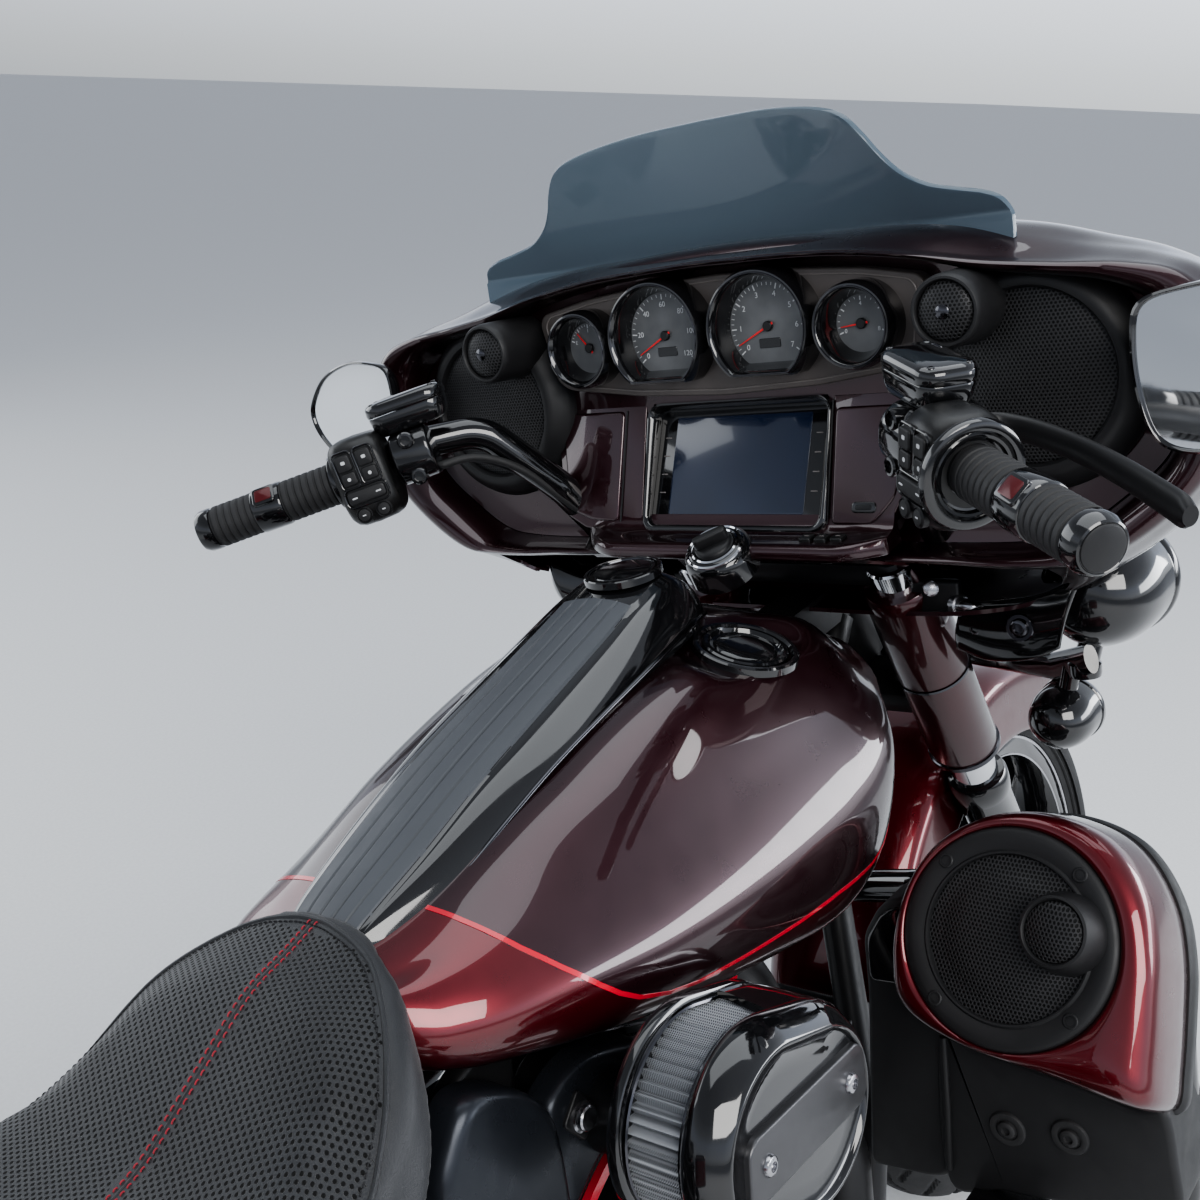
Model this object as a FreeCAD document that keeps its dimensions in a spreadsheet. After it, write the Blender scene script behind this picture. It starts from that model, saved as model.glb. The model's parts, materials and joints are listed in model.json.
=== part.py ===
import FreeCAD, Part
import math
import os
import Sketcher
from FreeCAD import Vector as V, Placement, Rotation

# Touring cruiser motorcycle with a fork-mounted fairing, standing on its side stand.
# Every piece is laid out on the upright machine: x forward from the rear axle, y to the
# left, z up from the ground, in millimetres.  One placement, LEAN, then tips the whole
# machine onto its stand and moves the middle of its footprint to the origin.

doc = FreeCAD.newDocument("TouringCruiser")
sheet = doc.addObject("Spreadsheet::Sheet", "Sizes")

SIZES = [
    # alias, value, what it is
    ("lean_deg", 12.0, "lean to the left on the side stand"),
    ("shift_fore", -761.5, "moves the middle of the footprint to the origin, along x"),
    ("shift_side", -201.0, "the same across the machine"),
    ("wheelbase", 1625.0, "rear axle to front axle"),
    ("rear_radius", 328.0, "rear tyre outer radius"),
    ("rear_half_width", 90.0, "rear tyre half width"),
    ("rear_seat_radius", 229.0, "rear rim bead seat radius"),
    ("front_radius", 320.0, "front tyre outer radius"),
    ("front_half_width", 65.0, "front tyre half width"),
    ("front_seat_radius", 241.0, "front rim bead seat radius"),
    ("rear_crown", 105.0, "rear tyre crown radius"),
    ("front_crown", 72.0, "front tyre crown radius"),
    ("axle_radius", 12.5, "axle outside radius"),
    ("axle_bore", 8.0, "bore through both axles"),
    ("axle_half_front", 146.0, "front axle half length"),
    ("axle_half_rear", 182.0, "rear axle half length"),
    ("running_gap", 0.05, "radial clearance of a shaft in its bore"),
    ("disc_radius", 150.0, "brake disc outer radius"),
    ("disc_thick", 5.0, "brake disc thickness"),
    ("spoke_count", 9.0, "spokes in each wheel"),
    ("head_foot", 1797.0, "where the steering axis meets the ground, along x"),
    ("head_deg", 26.0, "steering head angle from vertical"),
    ("fork_deg", 29.25, "fork leg angle from vertical"),
    ("fork_half", 110.0, "fork leg centre line from the middle plane"),
    ("slider_radius", 29.0, "fork slider radius"),
    ("stanchion_radius", 24.5, "fork tube radius"),
    ("cover_radius", 36.5, "fork cover radius"),
    ("bar_radius", 16.0, "handlebar tube radius"),
    ("grip_radius", 20.0, "grip radius"),
    ("grip_length", 128.0, "grip length"),
    ("rail_radius", 16.0, "frame cradle tube radius"),
    ("rail_half", 110.0, "frame cradle tube centre line from the middle plane"),
    ("guard_radius", 16.0, "engine guard tube radius"),
    ("crank_fore", 800.0, "crankshaft centre along x"),
    ("crank_high", 400.0, "crankshaft centre height"),
    ("vee_half_deg", 22.5, "each cylinder from vertical"),
    ("barrel_radius", 70.0, "cylinder fin radius"),
    ("bag_low", 372.0, "saddlebag floor height"),
    ("bag_rim", 640.0, "saddlebag rim height"),
    ("bag_inner", 236.0, "saddlebag inner side from the middle plane"),
    ("bag_outer", 452.0, "saddlebag outer side from the middle plane"),
    ("bag_wall", 4.0, "saddlebag wall thickness"),
    ("lid_gap", 1.0, "gap between lid and rim"),
    ("muffler_radius", 52.0, "muffler radius"),
    ("board_length", 290.0, "footboard length"),
    ("board_width", 104.0, "footboard width"),
    ("board_thick", 16.0, "footboard thickness"),
    ("stud_radius", 11.0, "docking stud radius"),
    ("stud_length", 20.0, "docking stud length"),
    ("gauge_big", 55.0, "large gauge bezel radius"),
    ("gauge_small", 38.0, "small gauge bezel radius"),
    ("speaker_radius", 70.0, "fairing speaker ring radius"),
    ("lower_speaker", 90.0, "lower fairing speaker ring radius"),
    ("screen_thick", 4.0, "windshield thickness"),
    ("fender_wall", 3.5, "fender wall thickness"),
    ("stand_leg", 13.0, "side stand leg radius"),
    ("stand_pin", 10.0, "side stand pivot pin radius"),
    ("cap_radius", 37.0, "filler cap radius"),
]
for row, (alias, value, note) in enumerate(SIZES, 1):
    sheet.set("A%d" % row, note)
    sheet.set("B%d" % row, str(value))
    sheet.setAlias("B%d" % row, alias)
doc.recompute()
SIZE = {alias: float(sheet.get(alias)) for alias, _, _ in SIZES}


class E:
    """A size from the sheet: scale * cell + offset, with its value and its expression."""

    def __init__(self, alias, offset=0.0, scale=1.0):
        self.value = scale * SIZE[alias] + offset
        self.text = "%r * Sizes.%s + %r" % (scale, alias, offset)


def val(a):
    return a.value if isinstance(a, E) else float(a)


def bind(obj, prop, a):
    if isinstance(a, E):
        obj.setExpression(prop, a.text)
    else:
        setattr(obj, prop, a)


# ---------------------------------------------------------------- the lean
# A tyre that leans rolls onto its crown circle: its lowest point is the crown radius
# below the circle that the crown's centre runs on.
def lean_placement():
    a = math.radians(SIZE["lean_deg"])

    def low(radius, crown):
        return crown * (math.cos(a) - 1.0)

    rear = low(SIZE["rear_radius"], SIZE["rear_crown"])
    front = low(SIZE["front_radius"], SIZE["front_crown"])
    pitch = math.atan((front - rear) / SIZE["wheelbase"])
    tip = Placement(V(0, 0, 0), Rotation(V(1, 0, 0), -SIZE["lean_deg"]))
    nod = Placement(V(0, 0, 0), Rotation(V(0, 1, 0), math.degrees(pitch)))
    lift = Placement(V(SIZE["shift_fore"], SIZE["shift_side"], -rear), Rotation())
    return lift.multiply(nod.multiply(tip))


LEAN = lean_placement()
NODES = []


def node(obj, label, place=None):
    """A finished piece of the machine, by its name."""
    if place is not None:
        obj.Placement = place
    NODES.append((obj, label))
    return obj


def tip_over():
    """Lean every finished piece with the machine.  One that others are fitted to is tipped as a copy."""
    done = []
    for obj, label in NODES:
        users = [o for o in obj.InList if not o.isDerivedFrom("App::Origin")]
        if users:
            o = doc.addObject("Part::Compound", obj.Name + "Stored")
            o.Links = [obj]
            obj = o
        obj.Label = label
        obj.Placement = LEAN.multiply(obj.Placement)
        done.append((obj, label))
    return done


# ---------------------------------------------------------------- primitives
def turn(direction):
    return Rotation(V(0, 0, 1), V(*direction))


def box(name, lx, ly, lz, at, rot=None):
    o = doc.addObject("Part::Box", name)
    bind(o, "Length", lx), bind(o, "Width", ly), bind(o, "Height", lz)
    o.Placement = Placement(V(*at), rot or Rotation())
    return o


def cyl(name, r, length, at, direction=(0, 0, 1)):
    o = doc.addObject("Part::Cylinder", name)
    bind(o, "Radius", r), bind(o, "Height", length)
    o.Placement = Placement(V(*at), turn(direction))
    return o


def rod(name, r, a, b):
    """A round bar from point a to point b."""
    a, b = V(*a), V(*b)
    return cyl(name, r, (b - a).Length, tuple(a), tuple(b - a))


def cone(name, r1, r2, length, at, direction=(0, 0, 1)):
    o = doc.addObject("Part::Cone", name)
    bind(o, "Radius1", r1), bind(o, "Radius2", r2), bind(o, "Height", length)
    o.Placement = Placement(V(*at), turn(direction))
    return o


def ball(name, r, at):
    o = doc.addObject("Part::Sphere", name)
    bind(o, "Radius", r)
    o.Placement = Placement(V(*at), Rotation())
    return o


def fuse(name, parts):
    if len(parts) == 1:
        return parts[0]
    o = doc.addObject("Part::MultiFuse", name)
    o.Shapes = parts
    return o


def group(name, parts):
    """Pieces of one node that don't touch each other."""
    o = doc.addObject("Part::Compound", name)
    o.Links = parts
    return o


PAIRS = {}


def cut(name, base, tool):
    o = doc.addObject("Part::Cut", name)
    o.Base, o.Tool = base, tool
    return o


def carve(name, base, tools):
    """Cut several tools from a piece, one after another."""
    for i, tool in enumerate(tools):
        base = cut(name if i == len(tools) - 1 else "%sStage%d" % (name, i), base, tool)
    return base


def common(name, a, b):
    o = doc.addObject("Part::Common", name)
    o.Base, o.Tool = a, b
    return o


def mirror(name, source):
    """The same piece on the other side of the middle plane."""
    o = doc.addObject("Part::Mirroring", name)
    o.Source = source
    o.Base, o.Normal = V(0, 0, 0), V(0, 1, 0)
    return o


def feat(name, shape):
    o = doc.addObject("Part::Feature", name)
    o.Shape = shape
    return o


def prism(name, outline, lo, hi, plane="xz", bound=None):
    """An outline in a plane, extruded between two stations of the third axis."""
    if plane == "xz":
        pts, way = [V(a, lo, b) for a, b in outline], V(0, 1, 0)
    elif plane == "yz":
        pts, way = [V(lo, a, b) for a, b in outline], V(1, 0, 0)
    else:
        pts, way = [V(a, b, lo) for a, b in outline], V(0, 0, 1)
    base = feat(name + "Outline", Part.makePolygon(pts + [pts[0]]))
    o = doc.addObject("Part::Extrusion", name)
    o.Base, o.Dir, o.Solid = base, way, True
    o.DirMode = "Custom"
    bind(o, "LengthFwd", bound if bound is not None else hi - lo)
    return o


# ---------------------------------------------------------------- tubes
def tube_shape(pts, r, bend):
    """A round tube along straight runs joined by tangent arcs: cylinders and torus bends."""
    pts = [V(*p) for p in pts]
    solids, here = [], pts[0]
    for i in range(1, len(pts)):
        if i == len(pts) - 1:
            solids.append(Part.makeCylinder(r, (pts[i] - here).Length, here, pts[i] - here))
            break
        u = (pts[i] - pts[i - 1]).normalize()
        w = (pts[i + 1] - pts[i]).normalize()
        angle = math.acos(max(-1.0, min(1.0, u.dot(w))))
        run = min((pts[i] - pts[i - 1]).Length, (pts[i + 1] - pts[i]).Length) * 0.48
        rad = min(bend, run / math.tan(angle / 2))
        back = rad * math.tan(angle / 2)
        start, stop = pts[i] - u * back, pts[i] + w * back
        if (start - here).Length > 0.01:
            solids.append(Part.makeCylinder(r, (start - here).Length, here, start - here))
        normal = u.cross(w).normalize()
        centre = start + normal.cross(u).normalize() * rad
        ring = Part.Face(Part.Wire(Part.makeCircle(r, start, u)))
        solids.append(ring.revolve(centre, normal, math.degrees(angle)))
        here = stop
    return solids[0].multiFuse(solids[1:]) if len(solids) > 1 else solids[0]


def tube(name, pts, r, bend=60.0):
    return feat(name, tube_shape(pts, val(r), bend))


def flip(pts):
    return [(x, -y, z) for x, y, z in pts]


# ---------------------------------------------------------------- lofts of arcs
def section(x, low_w, low_z, mid_w, mid_z, top_w, top_z, crown_z):
    """One closed section across the machine at x: flat bottom, an arc up each side, an arc over."""
    a, b, c = V(x, low_w, low_z), V(x, mid_w, mid_z), V(x, top_w, top_z)
    a2, b2, c2 = V(x, -low_w, low_z), V(x, -mid_w, mid_z), V(x, -top_w, top_z)
    return Part.Wire([
        Part.makeLine(a2, a),
        Part.Arc(a, b, c).toShape(),
        Part.Arc(c, V(x, 0, crown_z), c2).toShape(),
        Part.Arc(c2, b2, a2).toShape(),
    ])


def loft(name, wires, ruled=False):
    return feat(name, Part.makeLoft(wires, True, ruled))


# ---------------------------------------------------------------- sketch bodies
def origin_plane(body, role):
    return [f for f in body.Origin.OriginFeatures if f.Role == role][0]


def new_sketch(body, name, role="XY_Plane"):
    s = body.newObject("Sketcher::SketchObject", name)
    s.AttachmentSupport = [(origin_plane(body, role), "")]
    s.MapMode = "FlatFace"
    return s


def outline(sk, pts):
    """A closed polyline whose corners are dimensioned from the origin, bound to the sheet where a size is."""
    n = len(pts)
    xy = [(val(p[0]), val(p[1])) for p in pts]
    first = sk.GeometryCount
    for i in range(n):
        a, b = xy[i], xy[(i + 1) % n]
        sk.addGeometry(Part.LineSegment(V(a[0], a[1], 0), V(b[0], b[1], 0)), False)
    for i in range(n):
        sk.addConstraint(Sketcher.Constraint("Coincident", first + i, 2, first + (i + 1) % n, 1))
    for i, p in enumerate(pts):
        for way, a, axis in (("DistanceX", p[0], -2), ("DistanceY", p[1], -1)):
            v = val(a)
            if abs(v) < 1e-9:
                sk.addConstraint(Sketcher.Constraint("PointOnObject", first + i, 1, axis))
                continue
            if v > 0:
                c = sk.addConstraint(Sketcher.Constraint(way, -1, 1, first + i, 1, v))
            else:
                c = sk.addConstraint(Sketcher.Constraint(way, first + i, 1, -1, 1, -v))
            if isinstance(a, E):
                text = a.text if v > 0 else "-(%s)" % a.text
                sk.setExpression("Constraints[%d]" % c, text)


def circle(sk, r, at=(0, 0)):
    g = sk.addGeometry(Part.Circle(V(at[0], at[1], 0), V(0, 0, 1), val(r)), False)
    c = sk.addConstraint(Sketcher.Constraint("Radius", g, val(r)))
    if isinstance(r, E):
        sk.setExpression("Constraints[%d]" % c, r.text)
    for way, v, axis in (("DistanceX", at[0], -2), ("DistanceY", at[1], -1)):
        if abs(v) < 1e-9:
            sk.addConstraint(Sketcher.Constraint("PointOnObject", g, 3, axis))
        elif v > 0:
            sk.addConstraint(Sketcher.Constraint(way, -1, 1, g, 3, v))
        else:
            sk.addConstraint(Sketcher.Constraint(way, g, 3, -1, 1, -v))


def pad(body, name, sk, length, midplane=False, reverse=False):
    p = body.newObject("PartDesign::Pad", name)
    p.Profile = sk
    if hasattr(p, "SideType"):
        p.SideType = "Symmetric" if midplane else "One side"
    elif midplane:
        p.Midplane = True
    p.Reversed = reverse
    bind(p, "Length", length)
    sk.Visibility = False
    doc.recompute()
    return p


def pocket(body, name, sk, length=None, reverse=False):
    before = body.Shape.Volume
    p = body.newObject("PartDesign::Pocket", name)
    p.Profile = sk
    if length is None:
        p.Type = "ThroughAll"
        if hasattr(p, "SideType"):
            p.SideType = "Symmetric"
        else:
            p.Midplane = True
    else:
        bind(p, "Length", length)
        p.Reversed = reverse
    doc.recompute()
    if body.Shape.Volume >= before - 1e-3:
        raise SystemExit("%s removed nothing" % name)
    return p


def revolution(body, name, sk, angle=360.0):
    r = body.newObject("PartDesign::Revolution", name)
    r.Profile = sk
    r.ReferenceAxis = (sk, ["V_Axis"])
    r.Angle = angle
    doc.recompute()
    return r


def polar(body, name, feature, count, role="Y_Axis"):
    axis = [f for f in body.Origin.OriginFeatures if f.Role == role][0]
    p = body.newObject("PartDesign::PolarPattern", name)
    p.Originals = [feature]
    p.Axis = (axis, [""])
    p.Angle = 360.0
    bind(p, "Occurrences", count)
    body.Tip = p
    doc.recompute()
    return p


def new_body(name):
    return doc.addObject("PartDesign::Body", name)


# ================================================================ wheels
REAR_AXLE = V(0, 0, SIZE["rear_radius"])
FRONT_AXLE = V(SIZE["wheelbase"], 0, SIZE["front_radius"])
# side, radius, half width, rim seat, crown radius, half seat width, hub half width, axle place
WHEELS = [
    ("rear", "rear_radius", "rear_half_width", "rear_seat_radius", "rear_crown", 64.0, 84.0, REAR_AXLE),
    ("front", "front_radius", "front_half_width", "front_seat_radius", "front_crown", 46.0, 62.0, FRONT_AXLE),
]
for side, rad, half, seat, crown, hw, hub, place in WHEELS:
    R, W, S, C = SIZE[rad], SIZE[half], SIZE[seat], SIZE[crown]
    cap = side.capitalize()
    # tyre: a crown arc, round shoulders and side walls down to the bead
    edge_w = 0.80 * W
    edge_r = (R - C) + math.sqrt(C * C - edge_w * edge_w)
    tyre = new_body(cap + "Tyre")
    sk = new_sketch(tyre, cap + "TyreProfile")
    pts = [(S, -hw), (S + 8, -hw), (S + 8, -hw - 7), ((S + edge_r) / 2 + 2, -W), (edge_r, -edge_w),
           (edge_r, edge_w), ((S + edge_r) / 2 + 2, W), (S + 8, hw + 7), (S + 8, hw), (S, hw)]
    for i, (a, b) in enumerate(zip(pts, pts[1:] + pts[:1])):
        p1, p2 = V(a[0], a[1], 0), V(b[0], b[1], 0)
        if i == 4:
            sk.addGeometry(Part.Arc(p1, V(R, 0, 0), p2), False)
        elif i in (2, 3, 5, 6):
            mid = (p1 + p2) * 0.5
            out = 5.0 if i in (3, 5) else 2.5
            sk.addGeometry(Part.Arc(p1, mid + V(out * 0.45, math.copysign(out, mid.y), 0), p2), False)
        else:
            sk.addGeometry(Part.LineSegment(p1, p2), False)
    for i in range(10):
        sk.addConstraint(Sketcher.Constraint("Coincident", i, 2, (i + 1) % 10, 1))
    c = sk.addConstraint(Sketcher.Constraint("DistanceX", -1, 1, 0, 1, S))
    sk.setExpression("Constraints[%d]" % c, "Sizes." + seat)
    c = sk.addConstraint(Sketcher.Constraint("Radius", 4, C))
    sk.setExpression("Constraints[%d]" % c, "Sizes." + crown)
    revolution(tyre, cap + "TyreRing", sk)
    node(tyre, side + "_tyre", Placement(place, Rotation()))

    # wheel: rim, hub and spokes in one casting, bored for its axle
    wheel = new_body(cap + "Wheel")
    sk = new_sketch(wheel, cap + "RimProfile")
    outline(sk, [(E(seat), -hw), (E(seat, 8), -hw), (E(seat, 8), -hw - 6), (E(seat, -14), -hw - 6),
                 (E(seat, -22), -hw + 22), (E(seat, -22), hw - 22), (E(seat, -14), hw + 6),
                 (E(seat, 8), hw + 6), (E(seat, 8), hw), (E(seat), hw)])
    revolution(wheel, cap + "Rim", sk)
    sk = new_sketch(wheel, cap + "SpokeProfile", "XZ_Plane")
    outline(sk, [(26.0, -15.0), (S - 16, -8.0), (S - 16, 8.0), (26.0, 15.0)])
    spoke = pad(wheel, cap + "Spoke", sk, 30.0, midplane=True)
    polar(wheel, cap + "Spokes", spoke, E("spoke_count"))
    sk = new_sketch(wheel, cap + "HubProfile", "XZ_Plane")
    circle(sk, 42.0)
    pad(wheel, cap + "Hub", sk, 2 * hub, midplane=True)
    sk = new_sketch(wheel, cap + "BoreProfile", "XZ_Plane")
    circle(sk, E("axle_radius", SIZE["running_gap"]))
    pocket(wheel, cap + "Bore", sk)
    wheel.Placement = Placement(place, Rotation())
    PAIRS[side + "_wheel"] = [wheel]

# brake discs and the drive pulley: name, node, wheel place, station across, outer radius, inner radius, thickness
ROTORS = [
    ("FrontDiscLeft", FRONT_AXLE, 68.0, "disc_radius", 60.0, 5.0),
    ("FrontDiscRight", FRONT_AXLE, -73.0, "disc_radius", 60.0, 5.0),
    ("RearDisc", REAR_AXLE, -112.0, "disc_radius", 60.0, 5.0),
]
discs = {}
for name, place, across, outer, inner, thick in ROTORS:
    rotor = new_body(name)
    sk = new_sketch(rotor, name + "Profile", "XZ_Plane")
    circle(sk, E(outer))
    circle(sk, 40.0)
    pad(rotor, name + "Plate", sk, E("disc_thick"), reverse=True)
    sk = new_sketch(rotor, name + "WindowProfile", "XZ_Plane")
    circle(sk, 17.0, (88.0, 0.0))
    window = pocket(rotor, name + "Window", sk)
    polar(rotor, name + "Windows", window, 8)
    rotor.Placement = Placement(place + V(0, across, 0), Rotation())
    discs[name] = rotor
# each disc sits on a short carrier round the hub
node(fuse("FrontWheelSet", PAIRS["front_wheel"] + [discs["FrontDiscLeft"], discs["FrontDiscRight"]]), "front_wheel")

pulley = new_body("RearPulley")
sk = new_sketch(pulley, "PulleyProfile", "XZ_Plane")
circle(sk, 128.0)
circle(sk, 40.0)
pad(pulley, "PulleyPlate", sk, 26.0, reverse=True)
sk = new_sketch(pulley, "PulleyWindowProfile", "XZ_Plane")
circle(sk, 22.0, (84.0, 0.0))
window = pocket(pulley, "PulleyWindow", sk)
polar(pulley, "PulleyWindows", window, 6)
pulley.Placement = Placement(REAR_AXLE + V(0, 101, 0), Rotation())
rear_hub = cut("RearHubSleeve", cyl("RearHubTube", 46.0, 244.0, (0, -116, SIZE["rear_radius"]), (0, 1, 0)),
               cyl("RearHubBore", E("axle_radius", SIZE["running_gap"]), 260.0, (0, -120, SIZE["rear_radius"]), (0, 1, 0)))
node(fuse("RearWheelSet", PAIRS["rear_wheel"] + [discs["RearDisc"], pulley, rear_hub]), "rear_wheel")

# axles: hollow bars right through each hub
for side, place, half in (("front", FRONT_AXLE, "axle_half_front"), ("rear", REAR_AXLE, "axle_half_rear")):
    cap = side.capitalize()
    axle = new_body(cap + "Axle")
    sk = new_sketch(axle, cap + "AxleProfile", "XZ_Plane")
    circle(sk, E("axle_radius"))
    circle(sk, E("axle_bore"))
    pad(axle, cap + "AxleBar", sk, E(half, 0, 2.0), midplane=True)
    node(axle, side + "_axle", Placement(place, Rotation()))

# ================================================================ steering geometry
HEAD = math.radians(SIZE["head_deg"])
FORK = math.radians(SIZE["fork_deg"])
HEAD_UP = V(-math.sin(HEAD), 0, math.cos(HEAD))
FORK_UP = V(-math.sin(FORK), 0, math.cos(FORK))


def on_head(z):
    return V(SIZE["head_foot"] - z * math.tan(HEAD), 0, z)


def on_fork(along, side=1.0):
    return FRONT_AXLE + FORK_UP * along + V(0, side * SIZE["fork_half"], 0)


# ================================================================ frame
neck = rod("Neck", 31.0, tuple(on_head(752)), tuple(on_head(842)))
SPINE_REAR, SPINE_FRONT = V(612, 0, 748), V(1385, 0, 824)
SPINE_TURN = Rotation(V(1, 0, 0), SPINE_FRONT - SPINE_REAR)
spine = box("Backbone", (SPINE_FRONT - SPINE_REAR).Length, 46.0, 40.0, (0, 0, 0))
spine.Placement = Placement(SPINE_REAR, SPINE_TURN).multiply(Placement(V(0, -23, -20), Rotation()))
pieces = [neck, spine]
RAILS = {
    # run of the cradle on one side: x, y, z
    "Cradle": [(1376, 12, 802), (1294, 12, 694), (1250, 46, 580), (1180, 104, 340), (1130, 110, 205), (1060, 110, 192),
               (560, 110, 192), (484, 84, 262), (458, 80, 560), (556, 58, 640), (604, 22, 744)],
    "SeatRail": [(556, 58, 640), (430, 122, 612), (150, 128, 598), (-200, 128, 590)],
}
for name, pts in RAILS.items():
    for side, run in (("Left", pts), ("Right", flip(pts))):
        pieces.append(tube(name + side, run, E("rail_radius"), 70.0))
for i, (x, z) in enumerate(((1100, 192), (620, 192), (-190, 590))):
    if i < 2:
        pieces.append(rod("CrossTube%d" % i, 14.0, (x, -110, z), (x, 110, z)))
# swingarm pivot plates and the side stand's bracket
for side, y in (("Left", 66.0), ("Right", -94.0)):
    pieces.append(box("PivotPlate" + side, 62.0, 28.0, 120.0, (442, y, 322)))
frame_raw = fuse("FrameTubes", pieces)

STAND_PIVOT = V(900, 152, 236)
STAND_AXIS = V(0, 0.735, 0.678).normalize()
stand_plate = cyl("StandPlate", 24.0, 12.0, tuple(STAND_PIVOT - STAND_AXIS * 28.0), tuple(STAND_AXIS))
stand_pin = cyl("StandPin", E("stand_pin"), 50.0, tuple(STAND_PIVOT - STAND_AXIS * 28.0), tuple(STAND_AXIS))
stand_web = prism("StandWeb", [(880, 185), (920, 185), (920, 236), (880, 236)], 104.0, 150.0)
web_keep = cyl("StandWebKeep", 60.0, 40.0, tuple(STAND_PIVOT - STAND_AXIS * 56.0), tuple(STAND_AXIS))
stand_web2 = common("StandWebTrim", stand_web, web_keep)
stem_bore = rod("StemBore", E("stand_pin", SIZE["running_gap"], 1.7), tuple(on_head(700)), tuple(on_head(950)))
frame_all = fuse("FrameWithStandBracket", [frame_raw, stand_plate, stand_pin, stand_web2])
node(cut("Frame", frame_all, stem_bore), "frame")

# swingarm: two box arms, a cross piece and the pivot tube
arms = []
for side, y in (("Left", 140.0), ("Right", -164.0)):
    arms.append(prism("Arm" + side, [(-42, 300), (-42, 356), (60, 366), (414, 402), (414, 356), (60, 296)], y, y + 24.0))
arms.append(box("ArmCross", 38.0, 328.0, 46.0, (376, -164, 356)))
arms.append(rod("ArmPivot", 20.0, (472, -65, 380), (472, 65, 380)))
arms.append(box("ArmPivotWeb", 64.0, 124.0, 26.0, (408, -62, 367)))
arm_raw = fuse("SwingarmBody", arms)
arm_axle = rod("SwingarmAxleHole", E("axle_radius"), (0, -190, SIZE["rear_radius"]), (0, 190, SIZE["rear_radius"]))
node(cut("Swingarm", arm_raw, arm_axle), "swingarm")

# rear shocks behind the side covers
shocks = []
for side, s in (("Left", 1.0), ("Right", -1.0)):
    shocks.append(rod("Shock" + side, 21.0, (110, s * 184, 392), (190, s * 184, 542)))
    shocks.append(rod("ShockRod" + side, 8.0, (96, s * 184, 366), (202, s * 184, 566)))
    shocks.append(rod("ShockEyeLow" + side, 13.0, (96, s * 164.2, 366), (96, s * 202, 366)))
    shocks.append(rod("ShockEyeHigh" + side, 13.0, (202, s * 157, 566), (202, s * 202, 566)))
node(fuse("RearShocks", shocks), "rear_shocks")

# ================================================================ engine
crank = (SIZE["crank_fore"], 0.0, SIZE["crank_high"])
case = [
    cyl("CaseRound", 152.0, 176.0, (crank[0], -88, crank[2]), (0, 1, 0)),
    prism("CaseBody", [(520, 300), (560, 268), (980, 268), (1000, 330), (960, 480), (700, 525), (540, 500)], -90.0, 90.0),
    cyl("CamChest", 118.0, 40.0, (crank[0] + 8, -128, crank[2] + 12), (0, 1, 0)),
    cyl("OilFilter", 38.0, 110.0, (975, 0, 325), (0.9, 0, -0.25)),
    cyl("GearboxPulley", 50.0, 38.0, (560, 88, 384), (0, 1, 0)),
]
case_raw = fuse("EngineCase", case)

PRIMARY = [(560, 330), (600, 290), (960, 290), (1000, 345), (985, 455), (930, 500), (640, 470), (570, 420)]
primary = prism("PrimaryBlock", PRIMARY, 92.5, 186.0)
round_a = cyl("PrimaryBossFront", 74.0, 22.0, (905, 186, 395), (0, 1, 0))
round_b = cyl("PrimaryBossRear", 88.0, 20.0, (690, 186, 380), (0, 1, 0))
primary_raw = fuse("PrimaryBody", [primary, round_a, round_b])
# the chain case stands clear of the round part of the crankcase
PRIMARY_TODO = cut("PrimaryRound", primary_raw, cyl("PrimaryRelief", 153.0, 190.0, (crank[0], -98, crank[2]), (0, 1, 0)))

vee = math.radians(SIZE["vee_half_deg"])
for name, s in (("front", 1.0), ("rear", -1.0)):
    cap = name.capitalize()
    up = V(s * math.sin(vee), 0, math.cos(vee))
    spin = Rotation(V(0, 1, 0), s * SIZE["vee_half_deg"])
    foot = V(*crank)

    def at(along, dx=0.0, dy=0.0):
        return foot + up * along + spin.multVec(V(dx, dy, 0))

    barrel = cyl(cap + "Barrel", E("barrel_radius"), 88.0, tuple(at(148)), tuple(up))
    head = box(cap + "Head", 136.0, 148.0, 50.0, tuple(at(232, -68, -74)), spin)
    rocker = box(cap + "Rocker", 104.0, 126.0, 38.0, tuple(at(280, -52, -63)), spin)
    raw = fuse(cap + "CylinderBody", [barrel, head, rocker])
    trimmed = cut(cap + "CylinderTrim", raw, cyl(cap + "CaseSeat", 153.0, 190.0, (crank[0], -95, crank[2]), (0, 1, 0)))
    if s > 0:
        half_space = box(cap + "Keep", 400.0, 400.0, 500.0, (crank[0] + 0.5, -200, 380))
    else:
        half_space = box(cap + "Keep", 400.0, 400.0, 500.0, (crank[0] - 400.5, -200, 380))
    node(cut(cap + "Cylinder", common(cap + "CylinderHalf", trimmed, half_space), case_raw), name + "_cylinder")

# push rod covers on the right side, one pair to each head
rods_made = []
for i, (x0, x1, z1) in enumerate(((835, 905, 604), (868, 946, 588), (765, 695, 604), (732, 654, 588))):
    rods_made.append(rod("PushRodCover%d" % i, 11.0, (x0, -104, 524), (x1, -90, z1)))
rods_made = fuse("PushRodBundle", rods_made)
clear_of = fuse("PushRodClear", [
    cyl("PushRodClearChest", 118.2, 60.0, (crank[0] + 8, -135, crank[2] + 12), (0, 1, 0)),
])
# the covers stop on the heads
push_trim = cut("PushRodTrim", rods_made, clear_of)
PUSH = push_trim

# air cleaner: a back plate, a pleated ring and a face plate on the right side
AIR = (823.0, -250.0, 622.0)


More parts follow.
